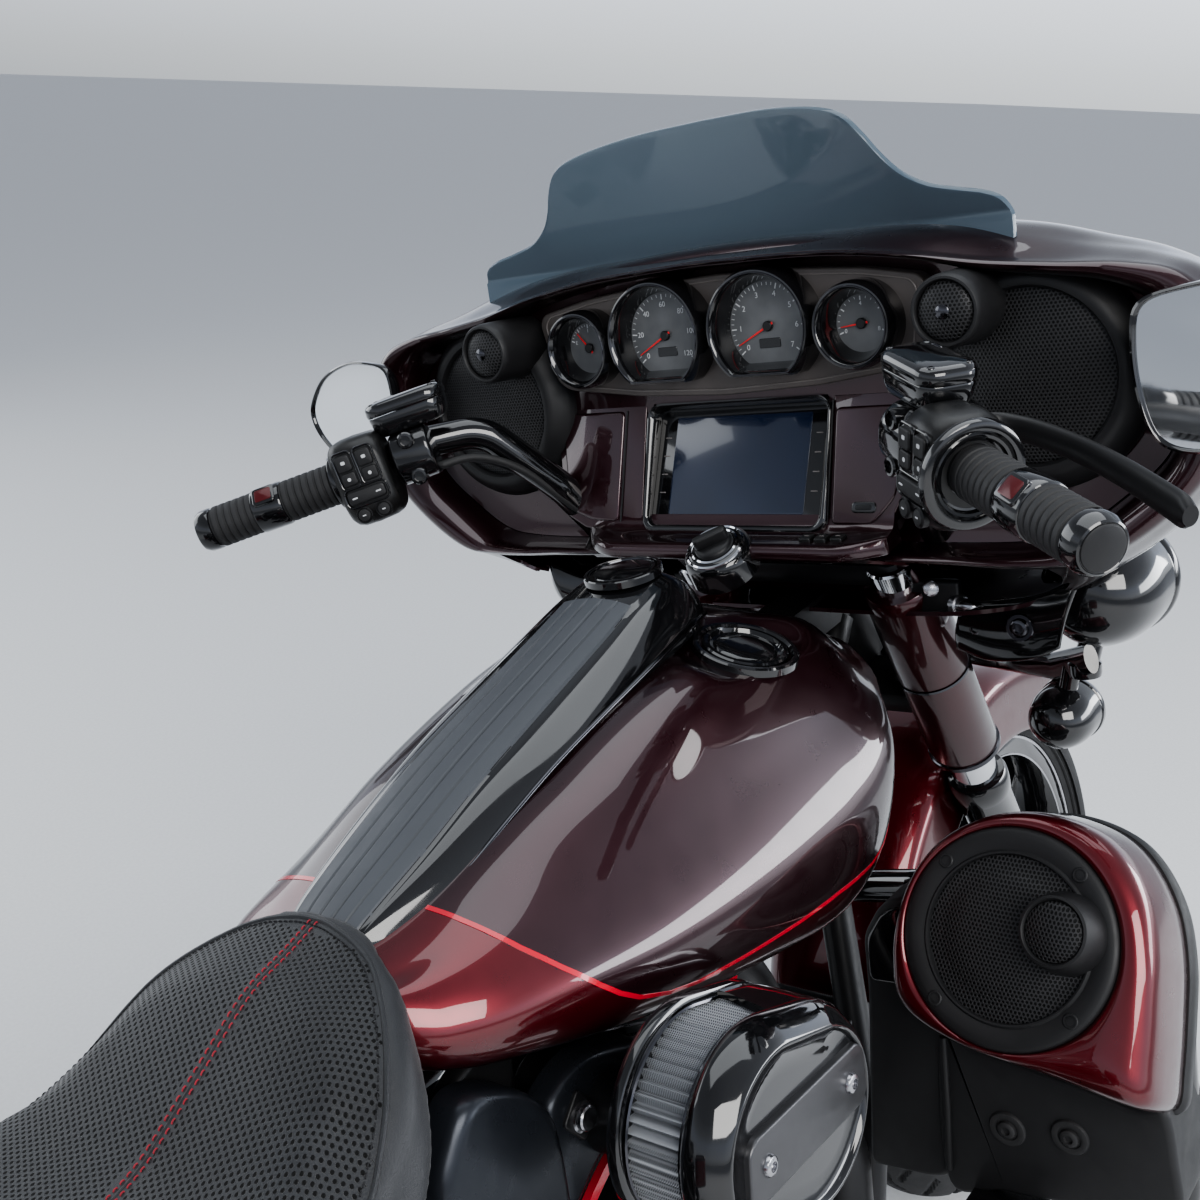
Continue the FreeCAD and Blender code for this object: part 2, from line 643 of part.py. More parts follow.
def racetrack(x, z, half_len, r, y, tilt):
    """A closed oval in the x-z plane: two half circles and two straight runs."""
    c, s = math.cos(math.radians(tilt)), math.sin(math.radians(tilt))

    def p(u, v):
        return V(x + u * c - v * s, y, z + u * s + v * c)

    return Part.Wire([
        Part.makeLine(p(-half_len, -r), p(half_len, -r)),
        Part.Arc(p(half_len, -r), p(half_len + r, 0), p(half_len, r)).toShape(),
        Part.makeLine(p(half_len, r), p(-half_len, r)),
        Part.Arc(p(-half_len, r), p(-half_len - r, 0), p(-half_len, -r)).toShape(),
    ])


def oval(name, half_len, r, y0, y1, tilt=-18.0, centre=AIR):
    face = Part.Face(racetrack(centre[0], centre[2], half_len, r, y0, tilt))
    return feat(name, face.extrude(V(0, y1 - y0, 0)))


air_back = oval("AirBack", 27.0, 74.0, -176.0, -188.0)
air_filter = oval("AirFilter", 24.0, 68.0, -188.0, -234.0)
air_duct = rod("AirDuct", 32.0, (806, -40, 596), (812, -180, 606))
air_raw = fuse("AirCleanerBody", [air_back, air_filter, air_duct, oval("AirCover", 27.0, 72.0, -234.0, -266.0)])

# exhaust: two header pipes into one muffler on each side
HEADERS = [
    ("HeaderFront", [(988, -40, 610), (1046, -60, 590), (1050, -150, 420), (1010, -168, 262), (880, -172, 236), (300, -176, 236)]),
    ("HeaderRear", [(612, -40, 610), (556, -60, 585), (545, -166, 470), (528, -172, 330), (500, -174, 240)]),
]
header_parts = [tube(name, pts, 24.0, 60.0) for name, pts in HEADERS]
header_parts.append(tube("HeaderCross", [(420, -176, 236), (360, -120, 232), (352, 120, 232), (300, 176, 236), (250, 176, 236)], 20.0, 60.0))
header_raw = fuse("HeaderBody", header_parts)

# mufflers under the saddlebags
for side, s in (("left", 1.0), ("right", -1.0)):
    cap = side.capitalize()
    body_ = rod(cap + "MufflerCan", E("muffler_radius"), (180, s * 240, 286), (-420, s * 262, 296))
    taper = cone(cap + "MufflerTaper", 24.0, 52.0, 84.0, (262, s * 237, 284.6), (-82, s * 3, 1.4))
    core = rod(cap + "MufflerMouth", 30.0, (-400, s * 262, 296), (-440, s * 262, 296))
    link = tube(cap + "MufflerLink", [(240, s * 176, 236), (236, s * 214, 262), (236, s * 238, 285)], 20.0, 30.0)
    can = cut(cap + "MufflerBody", fuse(cap + "MufflerOuter", [body_, taper, link]), core)
    header_cut = header_raw
    PAIRS.setdefault("mufflers", []).append(cut(cap + "Muffler", can, header_cut))

node(group("Mufflers", PAIRS["mufflers"]), "mufflers")

# ================================================================ fuel tank, console, seat
TANK = [
    # x, low half width, low z, widest, its z, shoulder half width, its z, crown z
    (634.0, 62.0, 728.0, 84.0, 748.0, 50.0, 768.0, 772.0),
    (700.0, 114.0, 694.0, 137.0, 735.0, 88.0, 781.0, 788.0),
    (830.0, 136.0, 660.0, 166.0, 722.0, 104.0, 826.0, 840.0),
    (960.0, 150.0, 637.0, 183.0, 722.0, 110.0, 862.0, 880.0),
    (1080.0, 160.0, 631.0, 188.0, 728.0, 112.0, 874.0, 892.0),
    (1165.0, 150.0, 668.0, 176.0, 752.0, 106.0, 864.0, 878.0),
    (1222.0, 104.0, 762.0, 130.0, 798.0, 82.0, 836.0, 845.0),
]
tank_hull = loft("TankHull", [section(*row) for row in TANK])
# the tunnel runs 4 mm clear of the backbone
tunnel_top = box("TankTunnelTop", 860.0, 56.0, 224.0, (0, 0, 0))
tunnel_top.Placement = Placement(SPINE_REAR, SPINE_TURN).multiply(Placement(V(-40, -28, -200), Rotation()))
recess = box("HeadRecess", 400.0, 176.0, 330.0, (622, -88, 400))
tank_raw = cut("TankHollowed", cut("TankTunnelled", tank_hull, tunnel_top), recess)
CAP_AT = V(1072, -96, 866)
CAP_UP = V(0.02, -0.30, 0.95).normalize()
cap_seat = cyl("CapSeat", E("cap_radius", 1.5), 60.0, tuple(CAP_AT - CAP_UP * 22.0), tuple(CAP_UP))
tank = cut("FuelTank", tank_raw, cap_seat)

CONSOLE = [
    (686.0, 46.0, 700.0, 50.0, 760.0, 42.0, 800.0, 804.0),
    (760.0, 64.0, 720.0, 68.0, 790.0, 52.0, 822.0, 828.0),
    (860.0, 68.0, 760.0, 72.0, 830.0, 56.0, 866.0, 873.0),
    (960.0, 68.0, 790.0, 72.0, 860.0, 56.0, 900.0, 908.0),
    (1050.0, 62.0, 800.0, 66.0, 880.0, 52.0, 932.0, 940.0),
    (1104.0, 46.0, 830.0, 50.0, 880.0, 40.0, 912.0, 918.0),
]
console_raw = loft("ConsoleHull", [section(*row) for row in CONSOLE])
cap_room = cyl("CapRoom", E("cap_radius", 5.0), 90.0, tuple(CAP_AT - CAP_UP * 30.0), tuple(CAP_UP))
tank_for_console = fuse("UnderConsole", [tank, tunnel_top, recess, cap_room])
node(cut("TankConsole", console_raw, tank_for_console), "tank_console")

SEAT = [
    (682.0, 52.0, 780.0, 58.0, 788.0, 44.0, 797.0, 801.0),
    (612.0, 132.0, 690.0, 146.0, 730.0, 112.0, 768.0, 776.0),
    (520.0, 160.0, 655.0, 176.0, 682.0, 140.0, 706.0, 702.0),
    (430.0, 172.0, 650.0, 188.0, 676.0, 150.0, 700.0, 690.0),
    (330.0, 160.0, 655.0, 176.0, 690.0, 136.0, 728.0, 724.0),
    (260.0, 146.0, 700.0, 158.0, 732.0, 120.0, 762.0, 768.0),
    (60.0, 130.0, 704.0, 142.0, 732.0, 106.0, 760.0, 768.0),
    (-70.0, 86.0, 706.0, 96.0, 726.0, 70.0, 744.0, 750.0),
]
seat_raw = loft("SeatHull", [section(*row) for row in SEAT], ruled=True)

# ================================================================ fenders
def fender(name, place, outer, half, start, sweep, wall):
    """A U-shaped shell round the tyre, swept about the axle."""
    b = new_body(name)
    s = new_sketch(b, name + "Profile")
    outline(s, [(outer - 92, half), (outer - 22, half), (outer, half - 30), (outer, -half + 30),
                (outer - 22, -half), (outer - 92, -half), (outer - 92, -half + wall),
                (outer - 24, -half + wall), (outer - wall, -half + 32), (outer - wall, half - 32),
                (outer - 24, half - wall), (outer - 92, half - wall)])
    revolution(b, name + "Shell", s, sweep)
    b.Placement = Placement(place, Rotation(V(0, 1, 0), -start))
    return b


rear_shell = fender("RearFenderShell", REAR_AXLE, 372.0, 112.0, 200.0, 158.0, SIZE["fender_wall"])
front_shell = fender("FrontFenderShell", FRONT_AXLE, 352.0, 80.5, 196.0, 150.0, SIZE["fender_wall"])
doc.recompute()

rails = fuse("RailsOnly", [doc.getObject("SeatRailLeft"), doc.getObject("SeatRailRight")])
rail_room = [tube("RailRoom" + side, run, E("rail_radius", 1.0), 70.0) for side, run in (("Left", RAILS["SeatRail"]), ("Right", flip(RAILS["SeatRail"])))]
node(carve("RearFender", rear_shell, rail_room), "rear_fender")
node(front_shell, "front_fender", front_shell.Placement)
node(carve("Seat", seat_raw, [prism("SeatTankRoom", [(632, 600), (632, 777), (702, 797), (702, 600)], -200.0, 200.0), cyl("SeatFenderRoom", 373.0, 226.0, (0, -113, SIZE["rear_radius"]), (0, 1, 0)), frame_raw]), "seat")
node(tank, "fuel_tank")

# filler cap: a flush disc that lifts out of its seat
cap_obj = fuse("FuelCap", [
    cyl("CapPlate", E("cap_radius"), 7.0, tuple(CAP_AT - CAP_UP * 4.0), tuple(CAP_UP)),
    cyl("CapPlug", 24.0, 14.0, tuple(CAP_AT - CAP_UP * 18.0), tuple(CAP_UP)),
])
node(cap_obj, "fuel_cap")

# ================================================================ fork and stem
stem = [
    rod("Stem", E("stand_pin", 0, 1.7), tuple(on_head(714)), tuple(on_head(872))),
]
low_fork, high_fork = 500.0, 700.0
low_mid = on_fork((714.0 - FRONT_AXLE.z) / FORK_UP.z).x
high_mid = on_fork((871.0 - FRONT_AXLE.z) / FORK_UP.z).x
low_clamp = prism("LowerClamp", [(low_mid - 36, 700), (low_mid + 38, 700), (low_mid + 38, 728), (low_mid - 36, 728)], -148.0, 148.0)
high_clamp = prism("UpperClamp", [(high_mid - 36, 860), (high_mid + 36, 860), (high_mid + 36, 882), (high_mid - 36, 882)], -148.0, 148.0)
clamps = [low_clamp, high_clamp,
          cyl("LowerBoss", 34.0, 28.0, (on_head(714).x, 0, 700), (0, 0, 1)), cyl("UpperBoss", 34.0, 22.0, (on_head(871).x, 0, 860), (0, 0, 1))]
legs, covers, holes = [], [], []
for side, s in (("Left", 1.0), ("Right", -1.0)):
    a, b, c, d = (tuple(on_fork(k, s)) for k in (-24.0, 330.0, 330.0, 642.0))
    legs.append(rod("Slider" + side, E("slider_radius"), a, b))
    legs.append(rod("Stanchion" + side, E("stanchion_radius"), c, d))
    covers.append(rod("Cover" + side, E("cover_radius"), tuple(on_fork(372, s)), tuple(on_fork(616, s))))
    holes.append(rod("CoverHole" + side, E("stanchion_radius"), tuple(on_fork(340, s)), tuple(on_fork(760, s))))
stem_raw = fuse("StemBody", stem + clamps)
hole_pair = fuse("StanchionHoles", holes)
stem_cut = cut("TripleClamp", stem_raw, hole_pair)
node(stem_cut, "triple_clamp")
leg_pair = fuse("ForkLegPair", legs)
fork_axle_hole = rod("ForkAxleHole", E("axle_radius"), (SIZE["wheelbase"], -150, SIZE["front_radius"]), (SIZE["wheelbase"], 150, SIZE["front_radius"]))
node(cut("ForkLegs", leg_pair, fork_axle_hole), "fork_legs")
cover_cut = cut("ForkCoversBored", fuse("ForkCoverPair", covers), hole_pair)
node(cut("ForkCovers", cover_cut, stem_raw), "fork_covers")

# front brake calipers on the sliders, one round each disc
cals = []
for side, s in (("Left", 1.0), ("Right", -1.0)):
    mid = s * 70.5
    blk = box("Caliper" + side, 62.0, 40.0, 118.0, (-31, mid - 20, -59), None)
    blk.Placement = Placement(FRONT_AXLE + V(-118, 0, 52), Rotation(V(0, 1, 0), -24)).multiply(Placement(V(-31, mid - 20, -59), Rotation()))
    gap = cyl("CaliperGap" + side, E("disc_radius", 4.0), E("disc_thick", 6.0), (SIZE["wheelbase"], mid - 5.5, SIZE["front_radius"]), (0, 1, 0))
    cals.append(cut("CaliperBody" + side, blk, gap))
cal_raw = fuse("CaliperPair", cals)
node(cut("FrontCalipers", cal_raw, leg_pair), "front_calipers")

# rear caliper over the rear disc, carried by the right arm
rblk = box("RearCaliperBlock", 110.0, 58.0, 62.0, (-160, -139, 408))
rgap = cyl("RearCaliperGap", E("disc_radius", 4.0), E("disc_thick", 6.0), (0, -115, SIZE["rear_radius"]), (0, 1, 0))
rarm = prism("RearCaliperArm", [(-90, 330), (-30, 357), (-60, 440), (-130, 440)], -163.5, -139.0)
node(cut("RearCaliper", cut("RearCaliperCut", fuse("RearCaliperBody", [rblk, rarm]), rgap), arm_raw), "rear_caliper")

# drive belt: a flat loop, round the rear pulley and the gearbox pulley, clear of both
BELT_F, BELT_R = (560.0, 384.0, 50.0), (0.0, SIZE["rear_radius"], 128.0)


def loop_face(r_add, y):
    (xf, zf, rf), (xr, zr, rr) = BELT_F, BELT_R
    rf, rr = rf + r_add, rr + r_add
    d = math.hypot(xf - xr, zf - zr)
    base = math.atan2(zf - zr, xf - xr)
    off = math.acos((rr - rf) / d)

    def on(cx, cz, r, ang):
        return V(cx + r * math.cos(ang), y, cz + r * math.sin(ang))

    up_a, dn_a = base + off, base - off
    return Part.Wire([
        Part.makeLine(on(xr, zr, rr, up_a), on(xf, zf, rf, up_a)),
        Part.Arc(on(xf, zf, rf, up_a), on(xf, zf, rf, base), on(xf, zf, rf, dn_a)).toShape(),
        Part.makeLine(on(xf, zf, rf, dn_a), on(xr, zr, rr, dn_a)),
        Part.Arc(on(xr, zr, rr, dn_a), on(xr, zr, rr, base + math.pi), on(xr, zr, rr, up_a)).toShape(),
    ])


belt_out = Part.Face(loop_face(5.0, 104.0)).extrude(V(0, 20, 0))
belt_in = Part.Face(loop_face(0.6, 104.0)).extrude(V(0, 20, 0))
belt = feat("BeltLoop", belt_out.cut(belt_in))
node(belt, "drive_belt")
belt_room = feat("BeltRoom", Part.Face(loop_face(11.0, 88.0)).extrude(V(0, 44, 0)))
node(cut("PrimaryCover", PRIMARY_TODO, belt_room), "primary_cover")

doc.recompute()
# ================================================================ saddlebags and lids
BAG_SIDE = [(258, 600), (250, 470), (214, 386), (190, 372), (-320, 372), (-352, 392), (-378, 560), (-382, 600)]
BAG_IN = [(x + (-4 if x > 0 else 4), z + (4 if z < 400 else 0)) for x, z in BAG_SIDE]
RIM, FLOOR = SIZE["bag_rim"], SIZE["bag_low"]
LID_SIDE = [(258, 641), (252, 668), (222, 694), (160, 702), (-250, 696), (-330, 684), (-372, 664), (-382, 641)]
HINGES = (-230.0, 110.0)
for side, s in (("left", 1.0), ("right", -1.0)):
    cap = side.capitalize()
    y0, y1 = (SIZE["bag_inner"], SIZE["bag_outer"]) if s > 0 else (-SIZE["bag_outer"], -SIZE["bag_inner"])
    lo = [(x, z) for x, z in BAG_SIDE]
    shell_pts = [(258, RIM)] + lo + [(-382, RIM)]
    inner_pts = [(254, RIM + 5)] + [(x, z) for x, z in BAG_IN] + [(-378, RIM + 5)]
    outer_box = prism(cap + "BagOuter", shell_pts, y0, y1, bound=E("bag_outer", -SIZE["bag_inner"]))
    inner_box = prism(cap + "BagInner", inner_pts, y0 + 4.0, y1 - 4.0)
    hy = s * (SIZE["bag_outer"] + 4.0)
    pins = [cyl(cap + "BagPin%d" % i, 3.0, 60.0, (x - 30, hy, RIM + 0.5), (1, 0, 0)) for i, x in enumerate(HINGES)]
    ears = []
    for i, x in enumerate(HINGES):
        for k, dx in enumerate((-30, 18)):
            ears.append(cyl(cap + "BagEar%d%d" % (i, k), 5.0, 12.0, (x + dx, hy, RIM + 0.5), (1, 0, 0)))
            ears.append(box(cap + "BagEarFoot%d%d" % (i, k), 12.0, 5.0, 22.0, (x + dx, hy - (5.0 if s > 0 else 0.0), RIM - 20)))
    leaf_room = [cyl(cap + "LeafRoom%d" % i, 7.0, 34.0, (x - 17, hy, RIM + 0.5), (1, 0, 0)) for i, x in enumerate(HINGES)]
    bag = cut(cap + "BagShell", outer_box, fuse(cap + "BagRoom", [inner_box] + leaf_room))
    node(fuse(cap + "Saddlebag", [bag] + pins + ears), "saddlebag_" + side)

    lid_outer = prism(cap + "LidOuter", LID_SIDE, y0, y1)
    lid_inner = prism(cap + "LidInner", [(x * 0.985, z - (4 if z > 642 else 6)) for x, z in LID_SIDE], y0 + 4.0, y1 - 4.0)
    edge_cut = prism(cap + "LidEdge", [(s * 400, 706), (s * 456, 706), (s * 456, 664), (s * 440, 690)], 0, 1, plane="yz")
    edge_cut.Placement = Placement(V(-400, 0, 0), Rotation())
    edge_cut.LengthFwd = 700.0
    leaves = []
    for i, x in enumerate(HINGES):
        leaves.append(cyl(cap + "LidLeaf%d" % i, 5.0, 32.0, (x - 16, hy, RIM + 0.5), (1, 0, 0)))
        leaves.append(box(cap + "LidLeafFoot%d" % i, 32.0, 5.0, 22.0, (x - 16, hy - (5.0 if s > 0 else 0.0), RIM + 0.5)))
    lid_raw = fuse(cap + "LidBody", [cut(cap + "LidShell", cut(cap + "LidCrown", lid_outer, edge_cut), lid_inner)] + leaves)
    lid_room = fuse(cap + "LidRoom", [cyl(cap + "LidBore%d" % i, 3.0 + SIZE["running_gap"], 64.0, (x - 32, hy, RIM + 0.5), (1, 0, 0)) for i, x in enumerate(HINGES)]
                    + [cyl(cap + "LidEarRoom%d%d" % (i, k), 6.5, 14.0, (x + dx - 1, hy, RIM + 0.5), (1, 0, 0)) for i, x in enumerate(HINGES) for k, dx in enumerate((-30, 18))])
    node(cut(cap + "SaddlebagLid", lid_raw, lid_room), "saddlebag_lid_" + side)

# ---------------------------------------------------------------- fender supports with docking studs
STUDS = [(150.0, 540.0), (-190.0, 540.0)]
for side, s in (("left", 1.0), ("right", -1.0)):
    cap = side.capitalize()
    bar = prism(cap + "SupportBar", [(210, 520), (210, 572), (-230, 572), (-260, 556), (-230, 520)], s * 144.5 if s > 0 else -156.5, s * 156.5 if s > 0 else -144.5)
    parts_ = [bar]
    for i, (x, z) in enumerate(STUDS):
        parts_.append(rod(cap + "StudNeck%d" % i, 7.0, (x, s * 156, z), (x, s * 186, z)))
        parts_.append(cyl(cap + "Stud%d" % i, E("stud_radius"), E("stud_length"), (x, s * 186, z), (0, s, 0)))
    # brackets that carry the bag from the bar
    for i, x in enumerate((60.0, -120.0)):
        parts_.append(box(cap + "BagBracket%d" % i, 40.0, 235.8 - 156.0, 6.0, (x, s * 156.0 if s > 0 else -235.8, 524)))
    support = fuse(cap + "FenderSupport", parts_)
    PAIRS.setdefault("fender_supports", []).append(carve(cap + "Support", support, [doc.getObject("RearShocks"), rear_shell, frame_raw]))

node(group("FenderSupports", PAIRS["fender_supports"]), "fender_supports")

# ---------------------------------------------------------------- side covers
for side, s in (("left", 1.0), ("right", -1.0)):
    cap = side.capitalize()
    y0, y1 = (206.0, 214.0) if s > 0 else (-214.0, -206.0)
    cover = prism(cap + "CoverPlate", [(292, 606), (300, 470), (350, 440), (452, 444), (470, 520), (440, 626), (380, 640)], y0, y1)
    post = rod(cap + "CoverPost", 9.0, (385, s * 140, 600), (385, s * 206.5, 600))
    PAIRS.setdefault("side_covers", []).append(carve(cap + "SideCover", fuse(cap + "SideCoverBody", [cover, post]), [frame_raw, doc.getObject("RearShocks"), seat_raw]))

node(group("SideCovers", PAIRS["side_covers"]), "side_covers")

# ---------------------------------------------------------------- tail
tail = [
    prism("TailBar", [(-372, 476), (-372, 540), (-388, 536), (-392, 480)], -104.0, 104.0),
]
for side, s in (("Left", 1.0), ("Right", -1.0)):
    tail.append(cyl("TailLamp" + side, 31.0, 34.0, (-378, s * 150, 508), (-1, 0, 0)))
    tail.append(rod("TailLampStem" + side, 9.0, (-384, s * 100, 508), (-384, s * 128, 508)))
tail_raw = fuse("TailLights", tail)
tail_bar = cut("TailLightBar", tail_raw, rear_shell)
plate_hold = fuse("PlateHold", [
    prism("PlateBack", [(-402, 330), (-398, 330), (-386, 470), (-390, 470)], -92.0, 92.0),
    prism("PlateArm", [(-388, 440), (-388, 470), (-352, 470), (-352, 440)], -20.0, 20.0),
])
node(fuse("TailLightSet", [tail_bar, carve("PlateBracket", plate_hold, [rear_shell])]), "tail_lights")

# ================================================================ engine guard, lower fairings, boards
GUARD = [(1262, 50, 556), (1226, 160, 592), (1200, 330, 604), (1190, 392, 540), (1182, 396, 360), (1172, 300, 246), (1146, 124, 240)]
guard_tubes = [tube("GuardLeft", GUARD, E("guard_radius"), 70.0), tube("GuardRight", flip(GUARD), E("guard_radius"), 70.0)]
guard_raw = fuse("GuardBody", guard_tubes)
node(cut("EngineGuard", guard_raw, frame_raw), "engine_guard")

LOWER = [(196, 556), (192, 650), (232, 712), (296, 738), (352, 716), (398, 648), (412, 560), (414, 440), (392, 396), (330, 392), (262, 428), (214, 500)]
for side, s in (("left", 1.0), ("right", -1.0)):
    cap = side.capitalize()
    pod = prism(cap + "LowerPod", [(s * y, z) for y, z in LOWER], 1104.0, 1226.0, plane="yz")
    seat_ = cyl(cap + "LowerSpeakerSeat", E("lower_speaker", 1.0), 40.0, (1090, s * 285, 613), (1, 0, 0))
    room = prism(cap + "LowerRoom", [(s * y, z) for y, z in [(230, 440), (250, 420), (330, 404), (384, 410), (400, 440), (398, 500), (230, 500)]], 1090.0, 1196.0, plane="yz")
    PAIRS.setdefault("lower_fairings", []).append(cut(cap + "LowerFairing", cut(cap + "LowerHollow", pod, fuse(cap + "LowerTools", [seat_, room])), guard_raw))
    cone_ = cyl(cap + "LowerSpeakerRing", E("lower_speaker"), 26.0, (1104, s * 285, 613), (1, 0, 0))
    PAIRS.setdefault("lower_speakers", []).append(cut(cap + "LowerSpeaker", cone_, guard_raw))
node(group("LowerFairings", PAIRS["lower_fairings"]), "lower_fairings")
node(group("LowerSpeakers", PAIRS["lower_speakers"]), "lower_speakers")

for side, s in (("left", 1.0), ("right", -1.0)):
    cap = side.capitalize()
    b = new_body(cap + "Footboard")
    sk = new_sketch(b, cap + "FootboardProfile")
    outline(sk, [(E("board_length", 0, -0.5), -30.0), (-110.0, E("board_width", 0, -0.5)), (95.0, E("board_width", 0, -0.5)),
                 (E("board_length", 0, 0.5), -28.0), (E("board_length", 0, 0.5), 20.0), (100.0, E("board_width", 0, 0.5)),
                 (-105.0, E("board_width", 0, 0.5)), (E("board_length", 0, -0.5), 26.0)])
    pad(b, cap + "FootboardPlate", sk, E("board_thick"))
    b.Placement = Placement(V(905, s * 292, 292), Rotation(V(0, 1, 0), -4))
    PAIRS.setdefault("boards", []).append(b)

mounts_ = []
for side, s in (("Left", 1.0), ("Right", -1.0)):
    for i, x in enumerate((830.0, 985.0)):
        mounts_.append(tube("BoardArm%s%d" % (side, i), [(x, s * 110, 192), (x, s * 180, 196 if s < 0 else 262), (x, s * 258, 268), (x, s * 300, 278)] if s < 0
                            else [(x, 110, 192), (x, 128, 268), (x, 232, 268), (x, 300, 278)], 11.0, 22.0))
board_arms = fuse("BoardArms", mounts_)
node(carve("Footboards", fuse("FootboardSet", [board_arms] + PAIRS["boards"]), [frame_raw, primary_raw]), "footboards")

# passenger boards
pegs = []
for side, s in (("Left", 1.0), ("Right", -1.0)):
    pegs.append(rod("PassengerArm" + side, 11.0, (480, s * 124, 352), (480, s * 232, 372)))
    pegs.append(box("PassengerBoard" + side, 150.0, 82.0, 14.0, (405, s * 232 if s > 0 else -314, 366)))
peg_raw = fuse("PassengerBoardsBody", pegs)
node(cut("PassengerBoards", peg_raw, fuse("PassengerClear", [frame_raw, arm_raw, primary_raw, header_raw])), "passenger_boards")

shift = fuse("ShiftLinkage", [
    rod("ShiftShaft", 9.0, (1010, 186.5, 330), (1010, 236, 330)),
    rod("ShiftArmFront", 7.0, (1010, 222, 330), (1092, 236, 372)),
    rod("ShiftToe", 12.0, (1092, 226, 372), (1092, 290, 372)),
    rod("ShiftArmRear", 7.0, (1010, 222, 330), (870, 236, 380)),
    rod("ShiftHeel", 12.0, (870, 226, 380), (870, 290, 380)),
])
shift_cut = cut("ShiftLever", shift, primary_raw)
brake = fuse("BrakeLinkage", [
    rod("BrakeShaft", 10.0, (1000, -126, 236), (1000, -236, 300)),
    rod("BrakeArm", 8.0, (1000, -232, 298), (1096, -262, 360)),
    box("BrakePad", 62.0, 62.0, 12.0, (1070, -300, 356)),
])
brake_cut = carve("BrakePedal", brake, [frame_raw, board_arms, header_raw, guard_raw, PAIRS["boards"][1]])
node(group("FootControls", [shift_cut, brake_cut]), "foot_controls")

# oil cooler ahead of the cradle
cooler = box("CoolerCore", 46.0, 172.0, 150.0, (1190, -86, 300))
node(cut("OilCooler", cooler, frame_raw), "oil_cooler")

# ================================================================ side stand
toe = V(962, 352, 0)
lean = math.radians(SIZE["lean_deg"])
ground = LEAN.inverse()
up_bike = ground.Rotation.multVec(V(0, 0, 1))
origin_bike = ground.multVec(V(0, 0, 0))
toe.z = (origin_bike.dot(up_bike) - toe.x * up_bike.x - toe.y * up_bike.y) / up_bike.z
knee = STAND_PIVOT + (toe + up_bike * 14.0 - STAND_PIVOT) * 0.985
leg = tube("StandLeg", [tuple(STAND_PIVOT), tuple(STAND_PIVOT + V(14, 44, -22)), tuple(toe + up_bike * 16.0)], E("stand_leg"), 60.0)
hub = cyl("StandHub", 21.0, 30.0, tuple(STAND_PIVOT - STAND_AXIS * 15.0), tuple(STAND_AXIS))
foot_plate = cyl("StandFoot", 27.0, 9.0, tuple(toe), tuple(up_bike))
stand_bore = cyl("StandBore", E("stand_pin", SIZE["running_gap"]), 80.0, tuple(STAND_PIVOT - STAND_AXIS * 40.0), tuple(STAND_AXIS))
node(cut("SideStand", fuse("SideStandBody", [leg, hub, foot_plate]), stand_bore), "side_stand")

# ================================================================ bars and controls
BAR = [(1312, 0, 908), (1308, 90, 907), (1276, 184, 901), (1216, 200, 976), (1160, 244, 1046), (1116, 286, 1042), (1032, 326, 1019)]
bar_raw = fuse("BarTubes", [tube("BarLeft", BAR, E("bar_radius"), 46.0), tube("BarRight", flip(BAR), E("bar_radius"), 46.0)])
risers = [rod("Riser" + n, 17.0, (1311, y, 882), (1311, y, 908)) for n, y in (("Left", 44), ("Right", -44))]
GRIP_A, GRIP_B = V(1034, 325, 1019.5), V(950, 439, 988.5)
grip_way = (GRIP_B - GRIP_A).normalize()
bar_ends = []
for n, s in (("Left", 1.0), ("Right", -1.0)):
    a = GRIP_A - grip_way * 2.0
    b = GRIP_B - grip_way * 6.0
    bar_ends.append(rod("BarEnd" + n, 11.0, (a.x, s * a.y, a.z), (b.x, s * b.y, b.z)))
handlebar_raw = fuse("HandlebarBody", [bar_raw] + risers + bar_ends)
node(handlebar_raw, "handlebar")
for side, s in (("left", 1.0), ("right", -1.0)):
    cap = side.capitalize()
    a, b = GRIP_A, GRIP_B
    g = rod(cap + "GripTube", E("grip_radius"), (a.x, s * a.y, a.z), (b.x, s * b.y, b.z))
    PAIRS.setdefault("grips", []).append(cut(cap + "Grip", g, handlebar_raw))
node(group("Grips", PAIRS["grips"]), "grips")

# switch housing, reservoir and lever on each side
for side, s in (("left", 1.0), ("right", -1.0)):
    cap = side.capitalize()
    out = V(grip_way.x, s * grip_way.y, grip_way.z)
    back = V(-out.y * s, out.x * s, 0).normalize()
    fore = V(abs(back.x), back.y if back.x > 0 else -back.y, 0)
    start = V(GRIP_A.x, s * GRIP_A.y, GRIP_A.z)
    housing = box(cap + "Switches", 52.0, 58.0, 82.0, (0, 0, 0))
    spin = Rotation(V(1, 0, 0), V(out.x, out.y, 0))
    housing.Placement = Placement(start - out * 54.0, spin).multiply(Placement(V(0, -29, -46), Rotation()))
    perch = box(cap + "Perch", 46.0, 52.0, 36.0, (0, 0, 0))
    perch.Placement = Placement(start - out * 102.0, spin).multiply(Placement(V(0, -26, -18), Rotation()))
    tank_ = box(cap + "Reservoir", 78.0, 46.0, 34.0, (0, 0, 0))
    tank_.Placement = Placement(start - out * 124.0 + fore * 8 + V(0, 0, 26), spin).multiply(Placement(V(0, -23, 0), Rotation()))
    p0 = start - out * 78.0 + fore * 22.0
    lever = tube(cap + "Lever", [tuple(p0), tuple(p0 + fore * 46 + out * 10), tuple(p0 + fore * 62 + out * 60), tuple(p0 + fore * 50 + out * 205)], 7.5, 30.0)
    ctl = fuse(cap + "ControlBody", [housing, perch, tank_, lever])
    PAIRS.setdefault("controls", []).append(carve(cap + "Controls", ctl, [handlebar_raw, doc.getObject(cap + "GripTube")]))
node(group("HandControls", PAIRS["controls"]), "hand_controls")

